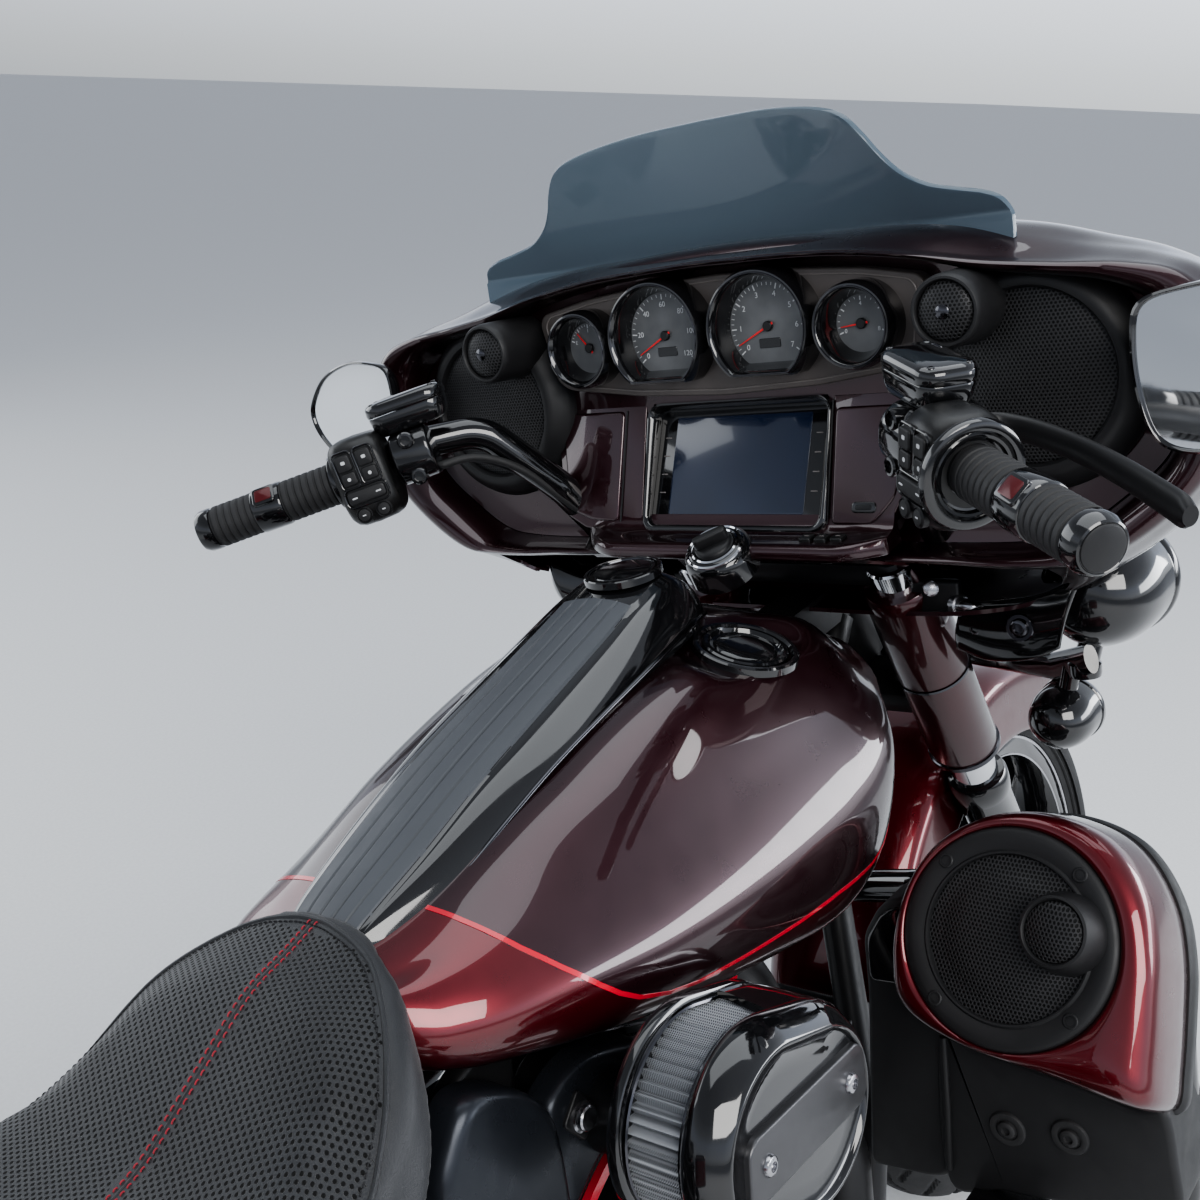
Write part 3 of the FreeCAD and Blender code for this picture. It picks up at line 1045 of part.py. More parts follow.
# ================================================================ fairing
FAIRING = [
    # x, then half width and height down one side from the crown to the keel
    (1214.0, [(0, 1190), (250, 1158), (372, 1140), (436, 1108), (442, 1040), (420, 965), (345, 915), (262, 842), (150, 826), (0, 826)]),
    (1284.0, [(0, 1192), (250, 1182), (368, 1146), (430, 1104), (437, 1038), (411, 967), (326, 922), (242, 858), (146, 830), (0, 830)]),
    (1330.0, [(0, 1184), (240, 1170), (360, 1134), (418, 1096), (424, 1034), (394, 968), (300, 926), (212, 872), (140, 834), (0, 834)]),
    (1440.0, [(0, 1128), (200, 1106), (296, 1084), (338, 1056), (342, 1006), (310, 956), (242, 918), (178, 868), (124, 838), (0, 838)]),
    (1518.0, [(0, 1052), (130, 1038), (190, 1022), (218, 1000), (220, 962), (200, 920), (162, 880), (128, 848), (92, 828), (0, 828)]),
    (1556.0, [(0, 1004), (60, 998), (92, 980), (108, 952), (112, 915), (106, 880), (88, 850), (64, 828), (36, 816), (0, 812)]),
]


def fairing_wire(x, half, shrink=0.0):
    pts = [(y, z) for y, z in half]
    full = pts + [(-y, z) for y, z in reversed(pts[1:-1])]
    zc = sum(z for _, z in full) / len(full)
    out = []
    for y, z in full:
        d = math.hypot(y, z - zc)
        k = max(0.0, (d - shrink) / d) if d else 1.0
        out.append(V(x, y * k, zc + (z - zc) * k))
    return Part.makePolygon(out + [out[0]])


outer_hull = loft("FairingHull", [fairing_wire(x, h) for x, h in FAIRING], ruled=True)
inner_hull = loft("FairingRoom", [fairing_wire(x - (0.5 if i == 0 else 5.0 if i == len(FAIRING) - 1 else 0.0), h, 9.0) for i, (x, h) in enumerate(FAIRING)], ruled=True)
LAMP_AT = V(1500, 0, 905)
lamp_hole = cyl("LampHole", 92.0, 120.0, tuple(LAMP_AT - V(20, 0, 0)), (1, 0, 0))
keel_gap = box("KeelGap", 300.0, 300.0, 60.0, (1200, -150, 790))
# room for the tank's shoulders at full lock
steer_room = fuse("SteerRoom", [box("SteerRoomLeft", 144.0, 270.0, 126.0, (1160, 64, 786)), box("SteerRoomRight", 144.0, 270.0, 126.0, (1160, -334, 786)),
                               box("SteerRoomMiddle", 130.0, 140.0, 114.0, (1160, -70, 786))])
fair_tools = fuse("FairingTools", [inner_hull, lamp_hole, keel_gap, steer_room])
node(cut("OuterFairing", outer_hull, fair_tools), "outer_fairing")

dash_slab = box("DashSlab", 14.0, 900.0, 420.0, (1249, -450, 790))
dash_plate = common("DashPlate", inner_hull, dash_slab)
console_body = prism("DashConsole", [(1252, 1050), (1219, 938), (1182, 926), (1180, 906), (1236, 900), (1258, 900), (1258, 1050)], -196.0, 196.0)
dash_holes = []
for n, s in (("Left", 1.0), ("Right", -1.0)):
    dash_holes.append(cyl("SpeakerHole" + n, E("speaker_radius", 0.5), 70.0, (1200, s * 289, 1057), (1, 0, 0)))
    dash_holes.append(tube("BarRoom" + n, [(x, s * y, z) for x, y, z in BAR[2:5]], 24.0, 46.0))
fork_room = box("ForkRoom", 120.0, 330.0, 110.0, (1225, -165, 780))
SCREEN_WAY = V(1253 - 1221, 0, 1026 - 951).normalize()      # up the slanted display face
SCREEN_OUT = V(-SCREEN_WAY.z, 0, SCREEN_WAY.x)               # out of it, to the rider
SCREEN_MID = V(1237, 0, 988.5)
slant = Rotation(SCREEN_OUT, SCREEN_WAY.cross(SCREEN_OUT), SCREEN_WAY, "XZY")


DOOR_WAY = V(1252 - 1219, 0, 1050 - 938).normalize()        # the same for the flat lower dash beside it
DOOR_OUT = V(-DOOR_WAY.z, 0, DOOR_WAY.x)
DOOR_MID = V(1233.9, 0, 988.5)


def slab(name, across, up, depth, mid_across, proud, face=None):
    """A plate on a slanted dash face: width across, height up the slope, depth into it."""
    mid, out, way = face or (SCREEN_MID, SCREEN_OUT, SCREEN_WAY)
    o = doc.addObject("Part::Box", name)
    bind(o, "Length", depth), bind(o, "Width", across), bind(o, "Height", up)
    c = mid + V(0, mid_across, 0) + out * proud
    # the box's x runs into the dash, y across, z up the slope
    rot = Rotation(out * -1, V(0, -1, 0), way, "XZY")
    o.Placement = Placement(c, rot).multiply(Placement(V(0, -val(across) / 2, -val(up) / 2), Rotation()))
    return o


display_room = slab("DisplayRoom", 190.0, 116.0, 40.0, 0.0, 4.0)
DOOR_FACE = (DOOR_MID, DOOR_OUT, DOOR_WAY)
door_room = slab("DoorRoom", 77.0, 111.0, 34.0, -141.5, 4.0, DOOR_FACE)
dash_tools = fuse("DashTools", dash_holes + [fork_room, display_room, door_room, steer_room])
dash_ends = prism("DashEnds", [(-196, 1050), (-180, 983), (-156, 925), (-120, 912), (-60, 904), (60, 904), (120, 912), (156, 925), (190, 960), (196, 1050)], 1170.0, 1262.0, plane="yz")
console_kept = common("DashConsoleKept", console_body, dash_ends)
node(cut("InnerFairing", fuse("DashBody", [dash_plate, console_kept]), dash_tools), "inner_fairing")

screen = fuse("DisplayUnit", [slab("DisplayGlass", 190.0, 116.0, 30.0, 0.0, 3.0)])
node(cut("Display", screen, fork_room), "display")

# media door right of the display, hinged along its top edge
door = slab("MediaDoorPlate", 75.0, 107.0, 8.0, -141.5, 1.5, DOOR_FACE)
door.Placement = Placement(DOOR_WAY * -1.0, Rotation()).multiply(door.Placement)
hinge_line = DOOR_MID + V(0, -141.5, 0) + DOOR_WAY * 52.5 + DOOR_OUT * 1.5
media_pin = rod("MediaHinge", 2.0, tuple(hinge_line + V(0, -30, 0)), tuple(hinge_line + V(0, 30, 0)))
node(fuse("MediaDoor", [door, media_pin]), "media_door")

# gauge panel: a plate across the upper dash with four bezels
panel = prism("GaugePlate", [(-206, 1076), (-212, 1142), (-150, 1160), (0, 1166), (150, 1160), (212, 1142), (206, 1076), (150, 1062), (0, 1056), (-150, 1062)], 1229.0, 1248.8, plane="yz")
bezels = []
for n, y, z, r in (("BigLeft", 56.0, 1116.0, "gauge_big"), ("BigRight", -56.0, 1116.0, "gauge_big"), ("SmallLeft", 148.0, 1110.0, "gauge_small"), ("SmallRight", -148.0, 1110.0, "gauge_small")):
    bezels.append(cyl("Bezel" + n, E(r), 18.0, (1213, y, z), (1, 0, 0)))
panel_trim = cut("GaugePanelTrim", fuse("GaugePanelBody", [panel] + bezels), fuse("PanelClear", [dash_plate]))
node(panel_trim, "gauge_panel")

speakers = []
for n, s in (("Left", 1.0), ("Right", -1.0)):
    speakers.append(cyl("Speaker" + n, E("speaker_radius"), 40.0, (1214, s * 289, 1057), (1, 0, 0)))
    speakers.append(cyl("Tweeter" + n, 27.0, 72.0, (1178, s * 240, 1112), (1, 0, 0)))
speakers_raw = fuse("SpeakerPair", speakers)
node(cut("FairingSpeakers", speakers_raw, fuse("SpeakerClear", [panel, dash_plate])), "fairing_speakers")

# windshield: a curved sheet leaning back from the fairing's top lip
low = Part.Arc(V(1243, -275, 1196), V(1292, 0, 1194), V(1243, 275, 1196)).toShape()
mid_ = Part.Arc(V(1236, -215, 1232), V(1276, 0, 1244), V(1236, 215, 1232)).toShape()
top_ = Part.Arc(V(1217, -155, 1281), V(1246, 0, 1301), V(1217, 155, 1281)).toShape()
face_a = Part.makeRuledSurface(low, mid_)
face_b = Part.makeRuledSurface(mid_, top_)
sheet_a = face_a.extrude(V(SIZE["screen_thick"], 0, 0))
sheet_b = face_b.extrude(V(SIZE["screen_thick"], 0, 0))
node(feat("Windshield", sheet_a.fuse(sheet_b)), "windshield")

node(cyl("Headlamp", 91.5, 74.0, tuple(LAMP_AT), (1, 0, 0)), "headlamp")

# passing lamps and turn signals on a curved bar under the fairing
lamp_bits = [tube("LampBar", [(1330, 290, 790), (1382, 236, 762), (1452, 150, 744), (1494, 0, 744), (1452, -150, 744), (1382, -236, 762), (1330, -290, 790)], 10.0, 60.0)]
lamp_bits.append(box("LampBarFoot", 34.0, 60.0, 40.0, (1474.5, -30, 704)))
for n, s in (("Left", 1.0), ("Right", -1.0)):
    lamp_bits.append(rod("LampPost" + n, 9.0, (1352, s * 276, 776), (1372, s * 288, 830)))
    lamp_bits.append(cyl("PassingLamp" + n, 54.0, 56.0, (1362, s * 290, 846), (1, 0, 0)))
    lamp_bits.append(ball("PassingShell" + n, 54.0, (1364, s * 290, 846)))
    lamp_bits.append(rod("SignalPost" + n, 8.0, (1360, s * 262, 772), (1362, s * 252, 728)))
    lamp_bits.append(cyl("Signal" + n, 30.0, 34.0, (1352, s * 250, 722), (1, 0, 0)))
    lamp_bits.append(ball("SignalShell" + n, 30.0, (1354, s * 250, 722)))
lamps_raw = fuse("PassingLampBody", lamp_bits)
node(cut("PassingLamps", lamps_raw, fuse("LampClear", [leg_pair, stem_raw, outer_hull, cover_cut])), "passing_lamps")

# mirrors on the fairing's wings
mirror_bits = []
for n, s in (("Left", 1.0), ("Right", -1.0)):
    oval_face = Part.Face(racetrack(0, 0, 34.0, 44.0, 0.0, 0.0))
    m = feat("MirrorHead" + n, oval_face.extrude(V(0, 16, 0)))
    m.Placement = Placement(V(1186, s * 476, 1066), Rotation(V(0, 0, 1), -90 + s * 14)).multiply(Placement(V(0, 0, 0), Rotation(V(0, 1, 0), s * 8)))
    mirror_bits.append(m)
    mirror_bits.append(rod("MirrorStem" + n, 9.0, (1236, s * 425, 1060), (1196, s * 462, 1066)))
mirrors_raw = fuse("MirrorPair", mirror_bits)
node(cut("Mirrors", mirrors_raw, outer_hull), "mirrors")

# ---------------------------------------------------------------- pieces that fit round their neighbours
node(carve("ExhaustHeader", header_raw, [frame_raw, doc.getObject("EngineCase"), doc.getObject("BrakeLinkage"), board_arms, peg_raw, doc.getObject("FrontCylinderBody"), doc.getObject("RearCylinderBody"), arm_raw]), "exhaust_header")
push_cut = carve("PushRods", PUSH, [doc.getObject("FrontCylinderBody"), doc.getObject("RearCylinderBody")])
node(carve("EngineBlock", fuse("EngineBlockBody", [case_raw, push_cut]), [frame_raw]), "engine_case")
node(cut("AirCleaner", air_raw, fuse("AirClear", [doc.getObject("FrontCylinderBody"), doc.getObject("RearCylinderBody"), PUSH])), "air_cleaner")

# ================================================================ check and write
doc.recompute()
NODES = tip_over()
doc.recompute()
bad = []
for obj in doc.Objects:
    if any(k in ("Invalid", "Error") for k in obj.State):
        bad.append("%s: %s" % (obj.Name, obj.State))
labels = {}
for obj, label in NODES:
    shape = obj.Shape
    if shape.isNull() or not shape.isValid() or not shape.Solids:
        bad.append("%s: no valid solid (null %s, solids %d)" % (label, shape.isNull(), 0 if shape.isNull() else len(shape.Solids)))
    if label in labels:
        bad.append("two pieces named " + label)
    labels[label] = obj
if bad:
    raise SystemExit("\n".join(bad))
os.makedirs("parts", exist_ok=True)
for label, obj in labels.items():
    obj.Shape.exportStep(os.path.join("parts", label + ".step"))
low = min(obj.Shape.BoundBox.ZMin for obj, _ in NODES)
xs = (min(o.Shape.BoundBox.XMin for o, _ in NODES), max(o.Shape.BoundBox.XMax for o, _ in NODES))
ys = (min(o.Shape.BoundBox.YMin for o, _ in NODES), max(o.Shape.BoundBox.YMax for o, _ in NODES))
print("pieces", len(labels), "low", round(low, 3), "x", [round(v, 2) for v in xs], "y", [round(v, 2) for v in ys])
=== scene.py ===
import json
import math
import random

import bmesh
import bpy
from mathutils import Matrix, Vector
from mathutils.bvhtree import BVHTree


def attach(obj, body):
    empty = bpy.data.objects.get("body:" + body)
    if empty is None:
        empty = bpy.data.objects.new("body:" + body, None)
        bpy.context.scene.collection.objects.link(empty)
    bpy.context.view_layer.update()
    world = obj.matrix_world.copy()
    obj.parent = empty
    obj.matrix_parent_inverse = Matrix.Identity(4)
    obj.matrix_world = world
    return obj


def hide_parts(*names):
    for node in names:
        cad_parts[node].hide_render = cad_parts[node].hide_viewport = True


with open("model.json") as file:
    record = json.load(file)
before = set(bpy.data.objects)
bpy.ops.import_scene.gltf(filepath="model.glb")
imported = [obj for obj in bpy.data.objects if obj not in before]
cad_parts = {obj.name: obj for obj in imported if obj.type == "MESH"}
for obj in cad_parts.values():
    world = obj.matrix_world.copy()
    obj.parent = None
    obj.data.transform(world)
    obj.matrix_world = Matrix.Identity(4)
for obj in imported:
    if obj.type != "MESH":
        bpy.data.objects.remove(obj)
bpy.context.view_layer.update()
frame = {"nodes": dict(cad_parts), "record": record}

NODES = frame["nodes"]
BODY_OF = {n: b for b, ns in frame["record"]["behaviour"]["bodies"].items() for n in ns}
pi, sin, cos = math.pi, math.sin, math.cos

# ------------------------------------------------------------------ the machine's own upright axes
# Pieces are laid out in mm on the upright machine: x forward from the rear axle, y left, z up.
LEAN = math.radians(12.0)
REAR_LOW, FRONT_LOW = 105.0 * (cos(LEAN) - 1.0), 72.0 * (cos(LEAN) - 1.0)
PITCH = math.atan((FRONT_LOW - REAR_LOW) / 1625.0)
M = (Matrix.Translation((-0.7615, -0.2010, -REAR_LOW / 1000.0))
     @ Matrix.Rotation(PITCH, 4, "Y") @ Matrix.Rotation(-LEAN, 4, "X"))
MINV = M.inverted()


def W(x, y, z):
    """A place on the upright machine, in mm, as a place in the scene, in metres."""
    return M @ Vector((x / 1000.0, y / 1000.0, z / 1000.0))


# ------------------------------------------------------------------ camera, set first
def camera():
    cam = bpy.data.objects.new("camera", bpy.data.cameras.new("camera"))
    bpy.context.scene.collection.objects.link(cam)
    yaw, pitch, roll = math.radians(39.63), math.radians(-13.62), math.radians(-8.1)
    fw = Vector((cos(pitch) * cos(yaw), cos(pitch) * sin(yaw), sin(pitch)))
    rt = fw.cross(Vector((0, 0, 1))).normalized()
    up = rt.cross(fw)
    right = rt * cos(roll) + up * sin(roll)
    upv = up * cos(roll) - rt * sin(roll)
    R = M.to_3x3()
    a, b, c = R @ right, R @ upv, R @ (-fw)
    mat = Matrix(((a.x, b.x, c.x, 0), (a.y, b.y, c.y, 0), (a.z, b.z, c.z, 0), (0, 0, 0, 1)))
    cam.matrix_world = Matrix.Translation(W(140.1, -720.9, 1195.6)) @ mat
    cam.data.sensor_width = 36.0
    cam.data.lens = 42.08
    cam.data.clip_start, cam.data.clip_end = 0.02, 60.0
    bpy.context.scene.camera = cam
    return cam


CAM = camera()


# ------------------------------------------------------------------ materials
def new_mat(name):
    m = bpy.data.materials.new(name)
    m.use_nodes = True
    nt = m.node_tree
    bs = nt.nodes["Principled BSDF"]
    return m, nt, bs


def coords(nt, scale=1.0):
    tc = nt.nodes.new("ShaderNodeTexCoord")
    mp = nt.nodes.new("ShaderNodeMapping")
    mp.inputs["Scale"].default_value = (scale, scale, scale) if not isinstance(scale, tuple) else scale
    nt.links.new(tc.outputs["Object"], mp.inputs["Vector"])
    return mp.outputs["Vector"]


def noise(nt, vec, scale, detail=3.0, rough=0.5):
    n = nt.nodes.new("ShaderNodeTexNoise")
    n.inputs["Scale"].default_value = scale
    n.inputs["Detail"].default_value = detail
    n.inputs["Roughness"].default_value = rough
    nt.links.new(vec, n.inputs["Vector"])
    return n.outputs["Fac"]


def ramp(nt, fac, stops):
    r = nt.nodes.new("ShaderNodeValToRGB")
    r.color_ramp.elements[0].position, r.color_ramp.elements[0].color = stops[0][0], (*stops[0][1], 1)
    r.color_ramp.elements[1].position, r.color_ramp.elements[1].color = stops[-1][0], (*stops[-1][1], 1)
    for p, c in stops[1:-1]:
        e = r.color_ramp.elements.new(p)
        e.color = (*c, 1)
    nt.links.new(fac, r.inputs["Fac"])
    return r.outputs["Color"]


def maprange(nt, val, a, b, c, d):
    n = nt.nodes.new("ShaderNodeMapRange")
    for k, v in zip(("From Min", "From Max", "To Min", "To Max"), (a, b, c, d)):
        n.inputs[k].default_value = v
    nt.links.new(val, n.inputs["Value"])
    return n.outputs["Result"]


def bump(nt, bs, height, strength=0.3, distance=0.001, before=None):
    b = nt.nodes.new("ShaderNodeBump")
    b.inputs["Strength"].default_value = strength
    b.inputs["Distance"].default_value = distance
    nt.links.new(height, b.inputs["Height"])
    if before is not None:
        nt.links.new(before, b.inputs["Normal"])
    nt.links.new(b.outputs["Normal"], bs.inputs["Normal"])
    return b.outputs["Normal"]


def paint(name, dark, light, metallic=0.65, flake=0.5, rough=0.34, coat=1.0):
    """Deep metallic paint under a clear coat, with fine flake and a slow change of tone."""
    m, nt, bs = new_mat(name)
    v = coords(nt)
    slow = noise(nt, v, 3.0, 2.0)
    vor = nt.nodes.new("ShaderNodeTexVoronoi")
    vor.inputs["Scale"].default_value = 2200.0
    nt.links.new(v, vor.inputs["Vector"])
    lw = nt.nodes.new("ShaderNodeLayerWeight")
    lw.inputs["Blend"].default_value = 0.35
    base = ramp(nt, lw.outputs["Facing"], [(0.0, light), (0.75, dark)])
    mx = nt.nodes.new("ShaderNodeMix")
    mx.data_type = "RGBA"
    mx.blend_type = "MULTIPLY"
    mx.inputs[0].default_value = 0.55
    nt.links.new(base, mx.inputs[6])
    nt.links.new(ramp(nt, slow, [(0.3, (0.75, 0.75, 0.78)), (0.7, (1.1, 1.05, 1.05))]), mx.inputs[7])
    mx2 = nt.nodes.new("ShaderNodeMix")
    mx2.data_type = "RGBA"
    mx2.blend_type = "ADD"
    nt.links.new(maprange(nt, vor.outputs["Color"], 0.86, 1.0, 0.0, flake * 0.22), mx2.inputs[0])
    nt.links.new(mx.outputs[2], mx2.inputs[6])
    mx2.inputs[7].default_value = (light[0] * 2.2, light[1] * 2.6, light[2] * 2.6, 1)
    nt.links.new(mx2.outputs[2], bs.inputs["Base Color"])
    bs.inputs["Metallic"].default_value = metallic
    nt.links.new(maprange(nt, noise(nt, v, 40.0, 4.0), 0.3, 0.7, rough - 0.04, rough + 0.05), bs.inputs["Roughness"])
    bs.inputs["Coat Weight"].default_value = coat
    bs.inputs["Coat Roughness"].default_value = 0.03
    bs.inputs["Coat IOR"].default_value = 1.6
    peel = noise(nt, v, 260.0, 2.0)
    bump(nt, bs, peel, 0.04, 0.0004)
    return m


def plain(name, colour, rough=0.4, metallic=0.0, grain=900.0, grain_h=0.0002, strength=0.25, vary=0.18, coat=0.0, spec=0.5, wear=None):
    """Plastic, metal or rubber with a fine grain, small changes of tone and of gloss."""
    m, nt, bs = new_mat(name)
    v = coords(nt)
    slow = noise(nt, v, 9.0, 4.0)
    lo = tuple(c * (1 - vary) for c in colour)
    hi = tuple(min(1.0, c * (1 + vary) + 0.002) for c in colour)
    nt.links.new(ramp(nt, slow, [(0.3, lo), (0.7, hi)]), bs.inputs["Base Color"])
    nt.links.new(maprange(nt, noise(nt, v, 55.0, 5.0), 0.3, 0.7, max(0.02, rough - 0.06), rough + 0.06), bs.inputs["Roughness"])
    bs.inputs["Metallic"].default_value = metallic
    bs.inputs["Specular IOR Level"].default_value = spec
    if coat:
        bs.inputs["Coat Weight"].default_value = coat
        bs.inputs["Coat Roughness"].default_value = 0.04
    if grain:
        bump(nt, bs, noise(nt, v, grain, 2.0), strength, grain_h)
    return m


def dots(nt, a, b, pitch, radius):
    """0 in a hole and 1 between holes, of a staggered grid over two coordinate sockets."""
    def math_(op, x, y=None):
        n = nt.nodes.new("ShaderNodeMath")
        n.operation = op
        for i, val in enumerate((x, y)):
            if val is None:
                continue
            if isinstance(val, (int, float)):
                n.inputs[i].default_value = val
            else:
                nt.links.new(val, n.inputs[i])
        return n.outputs[0]
    u = math_("DIVIDE", a, pitch)
    w = math_("DIVIDE", b, pitch * 0.866)
    row = math_("FLOOR", w)
    odd = math_("MULTIPLY", math_("MODULO", math_("ABSOLUTE", row), 2.0), 0.5)
    fu = math_("SUBTRACT", math_("FRACT", math_("ADD", u, odd)), 0.5)
    fw = math_("SUBTRACT", math_("FRACT", w), 0.5)
    d2 = math_("ADD", math_("MULTIPLY", fu, fu), math_("MULTIPLY", math_("MULTIPLY", fw, fw), 0.75))
    d = math_("SQRT", d2)
    n = nt.nodes.new("ShaderNodeMapRange")
    n.interpolation_type = "SMOOTHSTEP"
    n.inputs["From Min"].default_value = radius * 0.72
    n.inputs["From Max"].default_value = radius * 1.12
    nt.links.new(d, n.inputs["Value"])
    return n.outputs["Result"]


def local_axes(nt):
    """Coordinates along the upright machine's own axes, in metres."""
    tc = nt.nodes.new("ShaderNodeTexCoord")
    mp = nt.nodes.new("ShaderNodeMapping")
    mp.vector_type = "POINT"
    mp.inputs["Rotation"].default_value = (LEAN, 0, 0)
    nt.links.new(tc.outputs["Object"], mp.inputs["Vector"])
    sp = nt.nodes.new("ShaderNodeSeparateXYZ")
    nt.links.new(mp.outputs["Vector"], sp.inputs[0])
    return sp.outputs


def mix_colour(nt, fac, a, b):
    mx = nt.nodes.new("ShaderNodeMix")
    mx.data_type = "RGBA"
    nt.links.new(fac, mx.inputs[0])
    for sock, val in ((6, a), (7, b)):
        if isinstance(val, tuple):
            mx.inputs[sock].default_value = (*val, 1)
        else:
            nt.links.new(val, mx.inputs[sock])
    return mx.outputs[2]


MAT = {}
MAT["brown"] = paint("paint_brown_black", (0.0056, 0.0018, 0.0028), (0.044, 0.0105, 0.0165), 0.55, 0.35, 0.30)
MAT["cherry"] = paint("paint_cherry", (0.030, 0.0012, 0.0035), (0.155, 0.006, 0.013), 0.65, 0.5, 0.30)
MAT["gloss_black"] = plain("gloss_black", (0.006, 0.006, 0.007), 0.09, 0.0, 220.0, 0.0002, 0.03, coat=1.0)
MAT["satin_black"] = plain("satin_black", (0.012, 0.012, 0.013), 0.42, 0.0, 900.0, 0.0002, 0.22)
MAT["plastic"] = plain("black_plastic", (0.014, 0.014, 0.015), 0.50, 0.0, 1400.0, 0.00025, 0.35)
MAT["switch"] = plain("switch_plastic", (0.012, 0.012, 0.012), 0.33, 0.0, 1700.0, 0.0002, 0.2)
MAT["rubber"] = plain("rubber", (0.024, 0.024, 0.025), 0.62, 0.0, 1300.0, 0.0003, 0.4)
MAT["tyre"] = plain("tyre_rubber", (0.020, 0.020, 0.021), 0.74, 0.0, 900.0, 0.0004, 0.5)
MAT["engine"] = plain("engine_satin_black", (0.018, 0.018, 0.019), 0.36, 0.35, 500.0, 0.0003, 0.35)
MAT["machined"] = plain("machined_metal", (0.48, 0.48, 0.50), 0.26, 1.0, 700.0, 0.0001, 0.15)
MAT["chrome"] = plain("chrome", (0.72, 0.73, 0.75), 0.07, 1.0, 300.0, 0.0001, 0.03, vary=0.05)
MAT["dark_chrome"] = plain("dark_chrome", (0.10, 0.10, 0.11), 0.14, 1.0, 300.0, 0.0001, 0.03, vary=0.05)
MAT["steel"] = plain("brushed_steel", (0.45, 0.45, 0.46), 0.30, 1.0, 800.0, 0.0001, 0.25)
MAT["taupe"] = plain("panel_taupe", (0.105, 0.092, 0.086), 0.40, 0.25, 1500.0, 0.0002, 0.15, vary=0.06)
MAT["red_line"] = plain("red_line", (0.60, 0.010, 0.030), 0.22, 0.0, 400.0, 0.0001, 0.03, coat=1.0, vary=0.06)
MAT["red_needle"] = plain("red_needle", (0.75, 0.03, 0.03), 0.4, 0.0, 0.0, vary=0.05)
MAT["white_mark"] = plain("white_mark", (0.62, 0.63, 0.64), 0.45, 0.0, 0.0, vary=0.04)
MAT["grey_line"] = plain("grey_line", (0.23, 0.21, 0.20), 0.4, 0.2, 0.0, vary=0.05)
MAT["amber"] = plain("amber_lens", (0.10, 0.045, 0.02), 0.12, 0.0, 0.0, coat=1.0)
MAT["lamp_red"] = plain("red_lens", (0.30, 0.006, 0.008), 0.10, 0.0, 300.0, 0.0003, 0.3, coat=1.0)
MAT["mirror"] = plain("mirror_glass", (0.86, 0.88, 0.90), 0.015, 1.0, 0.0, vary=0.01)
MAT["thread_red"] = plain("thread_red", (0.34, 0.015, 0.03), 0.6, 0.0, 2500.0, 0.0003, 0.5)


def gauge_face():
    m, nt, bs = new_mat("gauge_face")
    v = coords(nt)
    nt.links.new(ramp(nt, noise(nt, v, 30.0, 3.0), [(0.3, (0.11, 0.115, 0.12)), (0.7, (0.17, 0.175, 0.18))]), bs.inputs["Base Color"])
    bs.inputs["Roughness"].default_value = 0.42
    bs.inputs["Metallic"].default_value = 0.25
    return m


def screen_face():
    m, nt, bs = new_mat("screen_face")
    sp = local_axes(nt)
    z = maprange(nt, sp[2], 0.95, 1.03, 0.0, 1.0)
    v = coords(nt)
    n = noise(nt, v, 10.0, 2.0)
    nt.links.new(mix_colour(nt, n, (0.004, 0.008, 0.022), (0.010, 0.022, 0.060)), bs.inputs["Base Color"])
    bs.inputs["Roughness"].default_value = 0.16
    bs.inputs["Coat Weight"].default_value = 1.0
    bs.inputs["Coat Roughness"].default_value = 0.05
    return m


def smoked():
    m, nt, bs = new_mat("smoked_screen")
    sp = local_axes(nt)
    h = maprange(nt, sp[2], 1.18, 1.30, 0.0, 1.0)
    v = coords(nt)
    # painted light: the screen is coloured lighter towards its top, where more sky shows in it
    tone = ramp(nt, h, [(0.0, (0.098, 0.138, 0.176)), (1.0, (0.136, 0.178, 0.214))])
    nt.links.new(tone, bs.inputs["Base Color"])
    bs.inputs["Transmission Weight"].default_value = 0.0
    nt.links.new(maprange(nt, noise(nt, v, 30.0), 0.3, 0.7, 0.05, 0.08), bs.inputs["Roughness"])
    bs.inputs["Alpha"].default_value = 0.84
    bs.inputs["IOR"].default_value = 1.49
    bs.inputs["Coat Weight"].default_value = 0.15
    bs.inputs["Coat Roughness"].default_value = 0.03
    return m


def lamp_glass():
    m, nt, bs = new_mat("lamp_glass")
    v = coords(nt)
    w = nt.nodes.new("ShaderNodeTexWave")
    w.inputs["Scale"].default_value = 60.0
    nt.links.new(v, w.inputs["Vector"])
    nt.links.new(ramp(nt, w.outputs["Fac"], [(0.0, (0.55, 0.57, 0.60)), (1.0, (0.80, 0.82, 0.85))]), bs.inputs["Base Color"])
    bs.inputs["Metallic"].default_value = 0.4
    bs.inputs["Roughness"].default_value = 0.12
    bs.inputs["Coat Weight"].default_value = 1.0
    bump(nt, bs, w.outputs["Fac"], 0.2, 0.0006)
    return m


